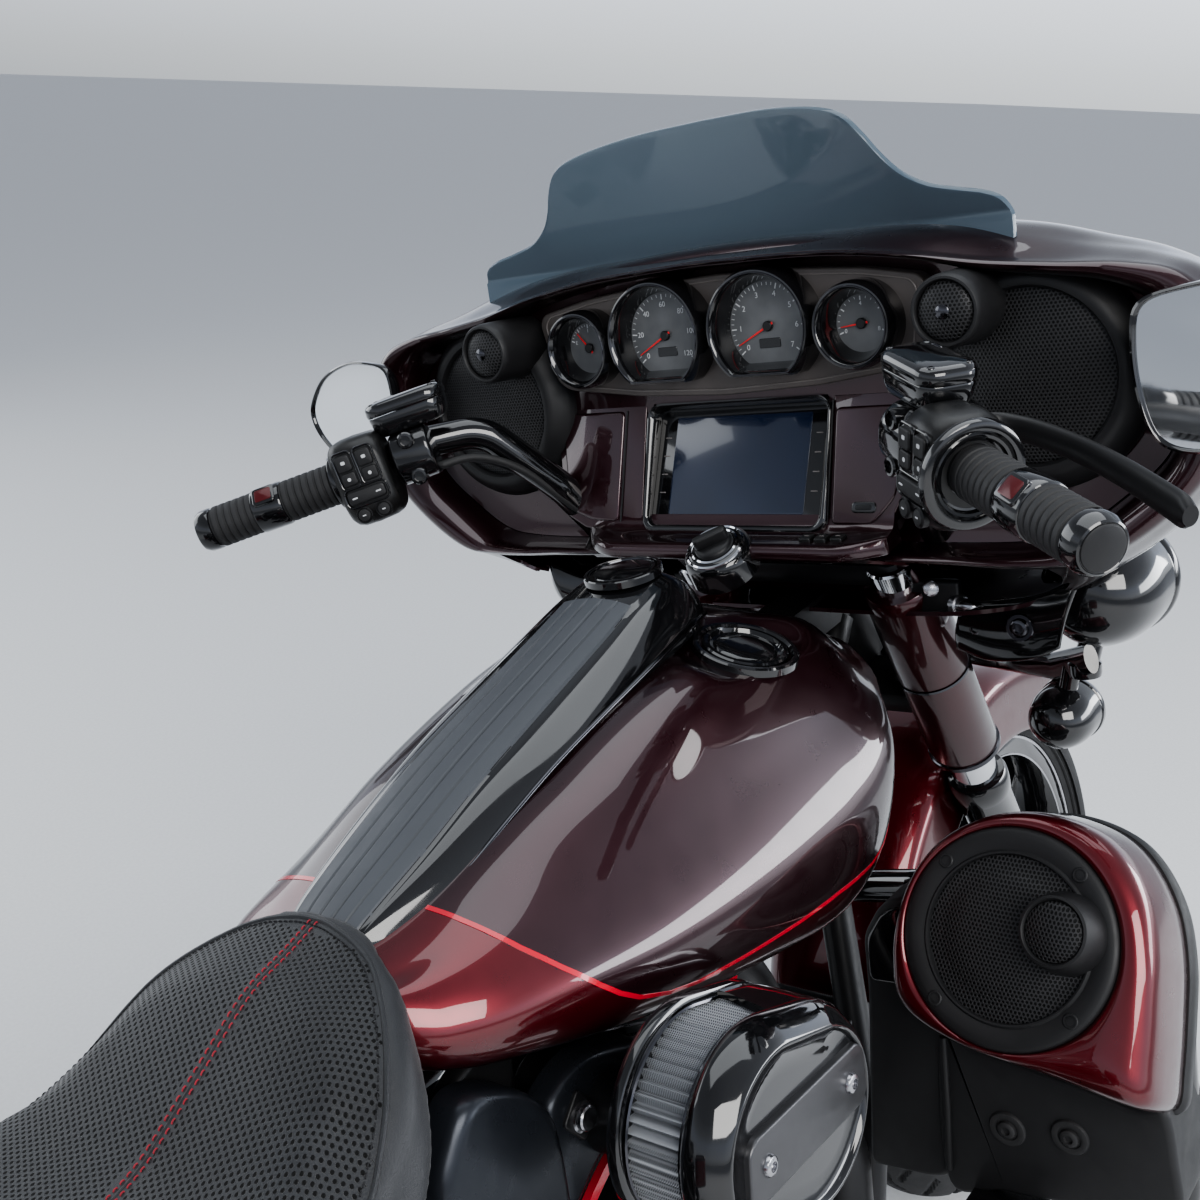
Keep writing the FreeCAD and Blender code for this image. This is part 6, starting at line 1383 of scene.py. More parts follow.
# ------------------------------------------------------------------ bar, grips, switches, levers
def bend_path(pts, bend=46.0, step=6):
    """Straight runs joined by round bends."""
    P = [Vector(p) for p in pts]
    out = [P[0]]
    for i in range(1, len(P) - 1):
        u, w = (P[i] - P[i - 1]).normalized(), (P[i + 1] - P[i]).normalized()
        ang = u.angle(w)
        if ang < 1e-3:
            out.append(P[i])
            continue
        run = min((P[i] - P[i - 1]).length, (P[i + 1] - P[i]).length) * 0.48
        rad = min(bend, run / math.tan(ang / 2))
        back = rad * math.tan(ang / 2)
        a, nrm = P[i] - u * back, u.cross(w).normalized()
        c = a + nrm.cross(u).normalized() * rad
        for k in range(step + 1):
            out.append(c + Matrix.Rotation(ang * k / step, 3, nrm) @ (a - c))
    out.append(P[-1])
    return out


def loaf(bm, at, axis, u, v, rows, n=7, mat_index=0, caps=True):
    """Rounded rectangles (along, width, height, corner, shift u, shift v) strung along an axis."""
    at, a, u, v = Vector(at), Vector(axis).normalized(), Vector(u).normalized(), Vector(v).normalized()
    rings = []
    for row in rows:
        t, w, h, r = row[:4]
        cu, cv = (row[4], row[5]) if len(row) > 4 else (0.0, 0.0)
        rings.append([at + a * t + u * x + v * y for x, y in rrect(w, h, min(r, w / 2 - 0.01, h / 2 - 0.01), n, cu, cv)])
    return skin(bm, rings, True, caps, caps, mat_index)


def pillow(bm, at, axis, u, v, t0, t1, w, h, r, edge=4.0, mat_index=0, cu=0.0, cv=0.0, steps=4):
    """A box with every edge rounded."""
    rows = []
    for k in range(steps + 1):
        s = sin(k / steps * pi / 2)
        rows.append((t0 + edge * (1 - cos(k / steps * pi / 2)), w - 2 * edge * (1 - s), h - 2 * edge * (1 - s), max(0.6, r - edge * (1 - s)), cu, cv))
    for k in range(steps, -1, -1):
        s = sin(k / steps * pi / 2)
        rows.append((t1 - edge * (1 - cos(k / steps * pi / 2)), w - 2 * edge * (1 - s), h - 2 * edge * (1 - s), max(0.6, r - edge * (1 - s)), cu, cv))
    return loaf(bm, at, axis, u, v, rows, mat_index=mat_index)


BAR = [(1312, 0, 908), (1308, 90, 907), (1276, 184, 901), (1216, 200, 976), (1160, 244, 1046), (1116, 286, 1042), (1032, 326, 1019)]
left_run = bend_path(BAR, 46, 9)
whole = [Vector((p.x, -p.y, p.z)) for p in reversed(left_run[1:])] + left_run
tube("handlebar_tube", whole, 16.0, "gloss_black", "steering", seg=40, slot="black_gloss", stand_for=["handlebar"])
bm = bmesh.new()
for s in (1, -1):
    pillow(bm, (1311, s * 44, 880), (0, 0, 1), (1, 0, 0), (0, 1, 0), 0, 34, 44, 40, 14, 4)
    pillow(bm, (1311, s * 44, 908), (0, 1, 0), (1, 0, 0), (0, 0, 1), -20, 20, 46, 44, 21, 3)
    for dx in (-16, 16):
        bolt(bm, (1311 + dx, s * 44, 929), (0, 0, 1), 5.5, 5.0)
from_bm("bar_risers", bm, "gloss_black", "steering", slot="black_gloss")

G_A, G_B = Vector((1034, 325, 1019.5)), Vector((950, 439, 988.5))
for side, s in (("left", 1), ("right", -1)):
    def S(p):
        return Vector((p[0], s * p[1], p[2]))
    a, b = S(G_A), S(G_B)
    o = (b - a).normalized()
    L = (b - a).length
    # rubber: ribs in two runs, a smooth band between
    prof = [(17.5, -2), (19.0, -1.6), (19.4, 0.5)]
    t = 3.0
    while t < L - 20:
        if 55 < t < 84:
            t = 84
            continue
        prof += [(19.0, t), (20.2, t + 0.7), (20.4, t + 3.0), (20.2, t + 5.2), (19.0, t + 5.9), (18.6, t + 6.5)]
        t += 7.2
    prof += [(18.6, L - 17), (18.6, L - 16)]
    g = lathe("grip_rubber_" + side, prof, a, o, "rubber", "steering", seg=64, slot="rubber_black", stand_for=["grips"] if s > 0 else ())
    bm = bmesh.new()
    lathe_bm(bm, [(19.0, 53.5), (21.0, 54.4), (21.6, 56), (21.6, 82), (21.0, 83.6), (19.0, 84.5)], a, o, 72, 0, False)
    lathe_bm(bm, [(18.4, L - 17), (20.4, L - 16), (20.8, L - 14), (20.6, L - 6), (18.2, L - 1.2), (16.8, L - 0.4), (16.2, L - 0.9), (0.05, L - 0.9)], a, o, 72, 0, False)
    lathe_bm(bm, [(17.0, -6), (19.6, -5.6), (19.9, -3.4), (19.6, -1.4), (17.0, -1.0)], a, o, 72, 0, False)
    from_bm("grip_bands_" + side, bm, "gloss_black", "steering", slot="black_gloss", angle=30)
    lathe("grip_end_cap_" + side, [(16.0, L - 1.0), (15.6, L - 0.2), (14.6, L + 0.3), (0.05, L + 0.5)], a, o, "satin_black", "steering", seg=64, slot="black_gloss")
    # the blank inset in the band faces the rider and up
    back = Vector((o.y * s, -o.x * s, 0)).normalized()
    if back.x > 0:
        back = -back
    up = (Vector((0, 0, 1)) - o * o.z).normalized()
    face = (back * 0.72 + up * 0.70).normalized()
    side_v = o.cross(face).normalized()
    bm = bmesh.new()
    v2 = side_v if o.cross(side_v).dot(face) > 0 else -side_v
    slab_bm(bm, rrect(23, 20, 3.5, 5), a + o * 69 + face * 22.6, o, v2, 6, 1.4, 3)
    from_bm("grip_inset_frame_" + side, bm, "gloss_black", "steering", slot="black_gloss")
    bm = bmesh.new()
    slab_bm(bm, rrect(17, 14, 2.2, 4), a + o * 69 + face * 22.9, o, v2, 1.2, 0.5, 2)
    from_bm("grip_inset_" + side, bm, "marker_red", "steering", slot="black_gloss")

    # switch housing: a rounded body with a gloss collar at the grip
    bm = bmesh.new()
    c = a - o * 3.0
    vv = o.cross(back).normalized()
    if vv.z < 0:
        vv = -vv
    rows = []
    for t, w, h, r, cu, cv in ((-54, 46, 62, 20, 0, -6), (-53, 53, 72, 23, 0, -5), (-49, 57, 80, 22, 0, -5), (-44, 59, 83, 20, 0, -5), (-26, 60, 85, 19, 0, -5), (-12, 60, 84, 20, 0, -5), (-5, 58, 80, 22, 0, -5), (-1.5, 54, 74, 24, 0, -5), (0, 46, 64, 22, 0, -5)):
        rows.append((t, w, h, r, cu, cv))
    loaf(bm, c, o, back, vv, rows, 9)
    from_bm("switch_housing_" + side, bm, "switch", "steering", slot="black_plastic", angle=50, stand_for=["hand_controls"] if s > 0 else ())
    bm = bmesh.new()
    if s < 0:
        lathe_bm(bm, [(27, -8), (36, -7), (39.5, -4), (40.5, 0), (39, 3.5), (35.5, 5.2), (32.5, 4.6), (31, 2.4), (29.6, 3.6), (27.5, 3.2), (26.0, 0.5), (21, -1)], c + vv * -3, o, 80, 0, False)
        lathe_bm(bm, [(30, -30), (31.5, -28), (31.5, -10), (30, -8)], c + vv * -3, o, 64, 0, False)
    else:
        lathe_bm(bm, [(24, -4), (26.5, -2), (27, 1), (26, 3.4), (23, 4.2), (20.5, 3.4), (20, 0)], c, o, 72, 0, False)
    from_bm("grip_collar_" + side, bm, "gloss_black", "steering", slot="black_gloss", angle=40)
    # rockers and buttons on the face toward the rider
    nrm = (back * 0.96 + vv * 0.28).normalized()
    along = o if o.cross(vv).dot(back) > 0 else -o
    bm = bmesh.new()
    bmk = bmesh.new()
    fc = c + back * 30.0 - o * 27.0
    e1 = along
    e2 = vv
    if e1.cross(e2).dot(back) < 0:
        e1 = -e1
    for du, w in ((-10.5, 15), (10.5, 15)):
        slab_bm(bm, rrect(w, 15.5, 3, 4, du, 17.0), fc + back * 3.0, e1, e2, 6, 1.4, 3)
        slab_bm(bm, rrect(w, 13.0, 3, 4, du, 1.5), fc + back * 2.2, e1, e2, 6, 1.4, 3)
        slab_bm(bmk, rrect(4.2, 3.2, 0.8, 2, du, 18.0), fc + back * 3.25, e1, e2, 0.8, 0.2, 1)
        slab_bm(bmk, rrect(3.6, 3.6, 1.7, 3, du, 1.5), fc + back * 2.45, e1, e2, 0.8, 0.2, 1)
    slab_bm(bm, rrect(38, 13, 4, 5, 0, -17), fc + back * 3.4, e1, e2, 7, 1.8, 3)
    for du in (-12, 12):
        slab_bm(bmk, rrect(5.4, 1.6, 0.6, 2, du, -17), fc + back * 3.65, e1, e2, 0.8, 0.2, 1)
    for du in (-10, 10):
        lathe_bm(bm, [(8.0, -4), (8.0, 0.6), (7.2, 1.4), (6.6, 0.4), (5.6, 1.6), (0.05, 2.2)], fc + e1 * du + e2 * -35 + back * 0.4, back, 36)
        slab_bm(bmk, rrect(3.6, 1.2, 0.5, 2, du, -35), fc + back * 2.85, e1, e2, 0.8, 0.2, 1)
    from_bm("switch_buttons_" + side, bm, "plastic", "steering", slot="black_plastic")
    from_bm("switch_marks_" + side, bmk, "white_mark", "steering", slot="black_plastic")
    bm = bmesh.new()
    for du in (-10.5, 10.5):
        ring_ = [fc + back * 0.6 + e1 * p + e2 * q for p, q in rrect(19, 36, 5, 5, du, 10.0)]
        tube_bm(bm, [*ring_, ring_[0]], 1.0, 8)
    ring_ = [fc + back * 0.8 + e1 * p + e2 * q for p, q in rrect(43, 18, 6, 5, 0, -17)]
    tube_bm(bm, [*ring_, ring_[0]], 1.0, 8)
    seam_ = [c - o * 27 + back * p + vv * (q - 5) for p, q in rrect(60.6, 85.4, 19, 9)]
    from_bm("switch_recess_" + side, bm, "gloss_black", "steering", slot="black_plastic")

    # perch, clamp, reservoir with its lid, lever with its pivot
    pc = a - o * 78.0
    bm = bmesh.new()
    rows = []
    pillow(bm, pc, o, back, vv, -23, 16, 44, 50, 21, 4)
    pillow(bm, pc - back * 22, o, back, vv, -20, 12, 34, 30, 8, 4)
    for q in (17, -19):
        lathe_bm(bm, [(8.2, -10), (8.2, 3), (7.0, 4.4), (5.0, 4.6), (4.6, 2.0), (0.05, 1.8)], pc - o * 3 + vv * q + back * 18, back, 32)
    from_bm("lever_perch_" + side, bm, "gloss_black", "steering", slot="black_gloss", angle=40)
    rc = a - o * 84 + Vector((8.0, 0, 0)) - back * 6 + vv * 26
    bm = bmesh.new()
    rows = [(0, 60, 34, 12), (2, 68, 40, 14), (10, 74, 45, 15), (19, 76, 47, 15), (20.4, 75, 46, 15)]
    loaf(bm, rc, vv, o, back, rows, 8)
    rows = [(21.2, 77, 48, 16), (24.0, 78, 49, 16), (29.5, 77, 48, 16), (32.4, 73, 44, 15), (33.8, 64, 35, 13), (34.6, 40, 18, 8)]
    loaf(bm, rc, vv, o, back, rows, 8)
    for du, dv in ((-30, -15), (30, 15), (-30, 15), (30, -15)):
        bolt(bm, rc + o * du + back * dv + vv * 31.5, vv, 3.2, 2.6)
    from_bm("reservoir_" + side, bm, "gloss_black", "steering", slot="black_gloss", angle=40)
    fore = -back
    p0 = a - o * 78.0 + fore * 26.0
    path = catmull([p0 - o * 6, p0 + fore * 20, p0 + fore * 40 + o * 6, p0 + fore * 52 + o * 30, p0 + fore * 58 + o * 70, p0 + fore * 58 + o * 120, p0 + fore * 53 + o * 170, p0 + fore * 48 + o * 205], 8)
    bm = bmesh.new()
    P = [Vector(p) for p in path]
    rings = []
    n = len(P)
    for i in range(n):
        T = (P[min(i + 1, n - 1)] - P[max(i - 1, 0)]).normalized()
        lat = T.cross(vv).normalized()
        t = i / (n - 1)
        wd = 13.0 - 3.0 * min(1.0, t * 3) + 2.2 * max(0.0, (t - 0.55)) * 2
        th = 7.5 - 1.2 * t
        if i > n - 4:
            wd *= (0.97, 0.86, 0.6)[i - (n - 3)] if i - (n - 3) >= 0 else 1.0
        rings.append([P[i] + lat * (cos(2 * pi * k / 24)) * th * 0.86 + vv * sin(2 * pi * k / 24) * wd for k in range(24)])
    skin(bm, rings, True, True, True)
    ball_c = P[-1] - vv * 1
    lathe_bm(bm, [(8.5, -22), (8.5, 12), (7.4, 14), (0.05, 14.5)], p0 + fore * 2, vv, 32)
    from_bm("hand_lever_" + side, bm, "satin_black", "steering", slot="black_satin", angle=50)
    # two lines run from the perch along the bar into the fairing
    bm = bmesh.new()
    off = [Vector(S(p)) for p in ((1096, 266, 1018), (1140, 240, 1022), (1176, 214, 1002), (1214, 192, 960), (1250, 182, 925), (1268, 176, 900))]
    tube_bm(bm, catmull(off, 8), 4.2, 14)
    off2 = [Vector(S(p)) for p in ((1100, 286, 1016), (1146, 256, 1020), (1186, 230, 998), (1224, 206, 954), (1252, 196, 922), (1270, 188, 898))]
    tube_bm(bm, catmull(off2, 8), 3.4, 12)
    from_bm("control_lines_" + side, bm, "rubber", "steering", slot="rubber_black")

# ------------------------------------------------------------------ lamps below the fairing
LAMP_BAR = [(1330, 290, 790), (1382, 236, 762), (1452, 150, 744), (1494, 0, 744), (1452, -150, 744), (1382, -236, 762), (1330, -290, 790)]
bm = bmesh.new()
bar_line = bend_path(LAMP_BAR, 60, 10)
rings = []
P = bar_line
n = len(P)
for i in range(n):
    T = (P[min(i + 1, n - 1)] - P[max(i - 1, 0)]).normalized()
    up_ = (Vector((0, 0, 1)) - T * T.z).normalized()
    lat = T.cross(up_)
    rings.append([P[i] + up_ * sin(2 * pi * k / 24) * 13.5 + lat * cos(2 * pi * k / 24) * 6.5 for k in range(24)])
skin(bm, rings, True, True, True)
pillow(bm, (1491, 0, 722), (0, 0, 1), (1, 0, 0), (0, 1, 0), -18, 20, 34, 60, 10, 4)
from_bm("lamp_bar", bm, "gloss_black", "steering", slot="black_gloss", stand_for=["passing_lamps"], angle=50)
for side, s in (("left", 1), ("right", -1)):
    at, way = Vector((1362, s * 290, 846)), Vector((1, 0, 0))
    lathe("passing_shell_" + side, [(0.1, -52), (14, -50.8), (28, -45.5), (40, -35), (48.5, -20), (53, -2), (54.5, 14), (54.5, 40), (56, 42), (56.5, 48), (55.5, 53), (53, 55.5), (50, 55), (48.5, 51)], at, way, "gloss_black", "steering", seg=96, slot="black_gloss")
    lathe("passing_lens_" + side, [(49, 50.5), (46, 53.5), (36, 56.5), (20, 58.6), (0.1, 59.2)], at, way, "lamp", "steering", seg=96, slot="lamp_glass")
    bm = bmesh.new()
    tube_bm(bm, [Vector((1352, s * 276, 776)), Vector((1358, s * 282, 800)), Vector((1366, s * 288, 824))], lambda t: 12 - 2 * t, 24)
    lathe_bm(bm, [(14, -4), (15, 0), (15, 8), (12, 11)], (1352, s * 276, 770), (0, 0, 1), 36)
    tube_bm(bm, [Vector((1360, s * 262, 774)), Vector((1360, s * 257, 752)), Vector((1358, s * 252, 736))], 8.5, 20)
    from_bm("lamp_posts_" + side, bm, "gloss_black", "steering", slot="black_gloss")
    at = Vector((1352, s * 250, 722))
    lathe("signal_shell_" + side, [(0.1, -29), (10, -27.6), (19, -22.5), (26, -13), (29.4, -2), (30.5, 8), (30.5, 26), (31.5, 27), (31.8, 31), (30.6, 34), (28.6, 34.6)], at, way, "gloss_black", "steering", seg=72, slot="black_gloss")
    lathe("signal_lens_" + side, [(28.8, 33.6), (27, 37.5), (20, 41), (10, 43), (0.1, 43.5)], at, way, "amber", "steering", seg=72, slot="lamp_glass")

# black skirts under the fairing's wings
for side, s in (("left", 1), ("right", -1)):
    top = [(1292, 300, 878), (1300, 262, 858), (1312, 214, 846), (1318, 178, 842)]
    low = [(1300, 274, 808), (1312, 242, 792), (1328, 196, 783), (1336, 160, 790)]
    tl_, ll_ = even(catmull([(x, s * y, z) for x, y, z in top], 8), 24), even(catmull([(x, s * y, z) for x, y, z in low], 8), 24)
    bm = bmesh.new()
    rings = []
    for k in range(13):
        t = k / 12
        rings.append([p.lerp(q, t) + Vector((14 * sin(t * pi) * -0.6, 0, 0)) for p, q in zip(tl_, ll_)])
    skin(bm, rings, False)
    me = bpy.data.meshes.new("skirt")
    bmesh.ops.recalc_face_normals(bm, faces=bm.faces)
    bm.to_mesh(me)
    bm.free()
    o_ = link("fairing_skirt_" + side, me)
    add_mod(o_, "SOLIDIFY", thickness=4.0, offset=0.0)
    add_mod(o_, "BEVEL", width=1.2, segments=2, limit_method="ANGLE", angle_limit=math.radians(50))
    apply_mods(o_)
    finish_obj(o_, "gloss_black", "steering", slot="black_gloss", angle=50)
    bm = bmesh.new()
    bolt(bm, (1296, s * 240, 826), (-1, 0, 0.1), 9, 5)
    bolt(bm, (1322, s * 190, 816), (-1, 0, 0.1), 7, 10)
    lathe_bm(bm, [(13, -2), (13, 0.8), (12, 1.6), (9, 1.6)], (1297, s * 240, 826), (-1, 0, 0.1), 32)
    from_bm("skirt_bolts_" + side, bm, "dark_chrome", "steering", slot="steel")

# headlamp: a bright ring, a lens with bars behind it
at, way = Vector((1500, 0, 905)), Vector((1, 0, 0))
lathe("headlamp_shell", [(40, -4), (86, -2), (90.5, 10), (91, 60), (93.5, 63), (94, 70), (91, 75.5), (86, 77), (82, 75.5), (80.5, 71)], at, way, "gloss_black", "steering", seg=120, slot="lamp_glass", stand_for=["headlamp"])
lathe("headlamp_lens", [(82, 70), (76, 74.5), (60, 79.5), (36, 83.2), (14, 84.8), (0.1, 85)], at, way, "lamp", "steering", seg=96, slot="lamp_glass")
bm = bmesh.new()
lathe_bm(bm, [(88.5, 76), (88, 79), (85.2, 80), (83.4, 78.6), (83.0, 76)], at, way, 120, 0, False)
lathe_bm(bm, [(50, 76), (49.4, 82), (47.6, 82.4), (47, 76)], at, way, 96, 0, False)
for k in (-1, 1):
    tube_bm(bm, [at + Vector((81.5, -46, k * 14)), at + Vector((84.8, 0, k * 14)), at + Vector((81.5, 46, k * 14))], 1.6, 10)
from_bm("headlamp_ring", bm, "dark_chrome", "steering", slot="lamp_glass")

# ------------------------------------------------------------------ fork
FK = math.radians(29.25)
F_UP = Vector((-sin(FK), 0, cos(FK)))
F_AX = Vector((1625, 0, 320))


def fork_at(t, s):
    return F_AX + F_UP * t + Vector((0, s * 110.0, 0))


for side, s in (("left", 1), ("right", -1)):
    first = s > 0
    lathe("fork_slider_" + side, [(24, -24), (28, -22), (29, -16), (29, 60), (30.5, 64), (30.5, 72), (29, 76), (29, 150), (29.6, 154), (29.6, 300), (31.5, 304), (32.5, 316), (32.5, 326), (30.5, 330), (26, 331), (24.6, 332)], fork_at(0, s), F_UP, "gloss_black", "steering", seg=64, slot="black_gloss", stand_for=["fork_legs"] if first else (), angle=40)
    lathe("fork_tube_" + side, [(24.5, 325), (24.5, 641), (22.5, 643), (0.1, 643.5)], fork_at(0, s), F_UP, "chrome", "steering", seg=48, slot="black_gloss")
    # the fork covers take the darker cherry copy, painted shade under the fairing
    lathe("fork_cover_" + side, [(25.2, 372), (33, 372), (35.6, 373.5), (36.6, 377), (36.9, 470), (37.2, 520), (37.2, 560), (36.4, 600), (35.4, 612), (33, 615.5), (26, 616)], fork_at(0, s), F_UP, "cherry_deep", "steering", seg=72, slot="paint_cherry", stand_for=["fork_covers"] if first else (), angle=40)
    bm = bmesh.new()
    lathe_bm(bm, [(37.0, 494), (38.4, 494.6), (38.4, 497.4), (37.0, 498)], fork_at(0, s), F_UP, 72, 0, False)
    lathe_bm(bm, [(36.2, 373), (38.0, 374), (38.0, 379), (36.4, 380)], fork_at(0, s), F_UP, 72, 0, False)
    from_bm("fork_rings_" + side, bm, "dark_chrome", "steering", slot="steel")
    bm = bmesh.new()
    for t in (476, 545):
        bolt(bm, fork_at(t, s) + Vector((0, -s * 36.6, 0)), (0, -s, 0), 6, 5)
    pillow(bm, fork_at(0, s), (0, 1, 0), (1, 0, 0), (0, 0, 1), -30, 30, 52, 54, 24, 4)
    for dz in (-19, 19):
        bolt(bm, fork_at(0, s) + Vector((22 if dz > 0 else -22, s * 4, dz)), (1 if dz > 0 else -1, 0, 0), 5, 5)
    from_bm("fork_foot_" + side, bm, "gloss_black", "steering", slot="black_gloss")

# panel of the nacelle between the fork covers, under the dash
bm = bmesh.new()
nac = rounded([(-150, -86), (-141, -30), (-124, 16), (124, 16), (141, -30), (150, -86), (114, -92), (98, -44), (-98, -44), (-114, -92)], 9, 5)
slab_bm(bm, [(-a, b) for a, b in nac], (1300, 0, 884), (0, -1, 0), (-0.438, 0, 0.899), 14, 5.0, 4)
from_bm("nacelle_panel", bm, "brown", "steering", slot="paint_body", angle=50)
# bright acorn nut and bolt beside the right and left covers
bm = bmesh.new()
for s in (1, -1):
    lathe_bm(bm, [(7.5, -8), (7.5, 0), (7.0, 2.0), (4.5, 3.2), (0.05, 3.6)], (1310, s * 151, 855), (-0.8, s * 0.5, 0.1), 28)
    lathe_bm(bm, [(10.5, -6), (10.5, 0.5), (8.2, 1.2), (8.2, 8), (7.6, 11), (5.6, 16), (2.6, 19.6), (0.05, 20.4)], (1314, s * 177, 839), (-0.35, s * 0.93, 0.05), 32)
from_bm("acorn_nuts", bm, "machined", "steering", slot="steel")
bm = bmesh.new()
for s in (1, -1):
    pillow(bm, (1318, s * 159, 846), (0, s, 0), (1, 0, 0), (0, 0, 1), -34, 18, 12, 34, 5, 3)
    tube_bm(bm, [Vector((1320, s * 138, 852)), Vector((1340, s * 120, 856))], 7, 18)
from_bm("skirt_bracket", bm, "satin_black", "steering", slot="black_satin")
# clamps rounded in to the fork covers
SLOT_CLAMP = {p["node"]: p["material_slot"] for p in frame["record"]["subparts"]}["triple_clamp"]
bm = bmesh.new()
for t_ in (714.0, 871.0):
    x_ = 1303 + (884 - t_) * 0.4877
    ol = rrect(262, 58, 27, 8)
    rings = []
    for h, k in ((-13, 0.96), (-11, 1.0), (11, 1.0), (13, 0.96)):
        c_ = Vector((x_, 0, t_)) + F_UP * h + Vector((18, 0, 9))
        rings.append([c_ + Vector((0, a * k, 0)) + Vector((0.899, 0, 0.438)) * (b * k) for a, b in ol])
    skin(bm, rings, True, True, True)
tube_bm(bm, [Vector((1797 - 735 * 0.4877, 0, 735)), Vector((1797 - 850 * 0.4877, 0, 850))], 22, 40)
from_bm("fork_clamps", bm, "satin_black", BODY_OF["triple_clamp"], slot=SLOT_CLAMP, stand_for=["triple_clamp"], angle=40)

# ------------------------------------------------------------------ lower fairings
POD = [(196, -56), (188, -30), (186, 2), (196, 48), (221, 86), (259, 110), (301, 118), (343, 111), (371, 92), (393, 58), (404, 18), (408, -24), (410, -66), (409, -92), (392, -97), (329, -88), (268, -82), (222, -72)]
PANEL_LOW = [(217, 522), (244, 508), (330, 497), (378, 489), (404, 494), (412, 440), (413, 404), (396, 390), (332, 380), (290, 374), (262, 371), (212, 366)]
LEG = [(132, 352), (147, 531), (148, 589), (166, 620), (188, 634), (214, 622), (219, 570), (219, 500), (214, 366), (196, 358)]
FACE_C, FACE_N, FACE_V = Vector((1104, 0, 613)), Vector((-0.877, 0, 0.480)), Vector((0.480, 0, 0.877))
RING_C = (289.0, 12.0)


def on_face(y, v, out):
    return FACE_C + Vector((0, y, 0)) + FACE_V * v + FACE_N * out


def polar_outline(pts, c, n):
    """The outline's distance from a centre at n even angles."""
    fine = even(catmull([(a, b, 0) for a, b in pts], 8, True), 720, True)
    polar = sorted((math.atan2(p.y - c[1], p.x - c[0]), math.hypot(p.x - c[0], p.y - c[1])) for p in fine)
    out = []
    for k in range(n):
        a = -pi + 2 * pi * k / n
        lo = max((q for q in polar if q[0] <= a), default=polar[-1], key=lambda q: q[0])
        hi = min((q for q in polar if q[0] > a), default=polar[0], key=lambda q: q[0])
        span = (hi[0] - lo[0]) or 1e-6
        t = min(1.0, max(0.0, (a - lo[0]) / span)) if span > 0 else 0.5
        out.append((a, lo[1] + (hi[1] - lo[1]) * t))
    return out


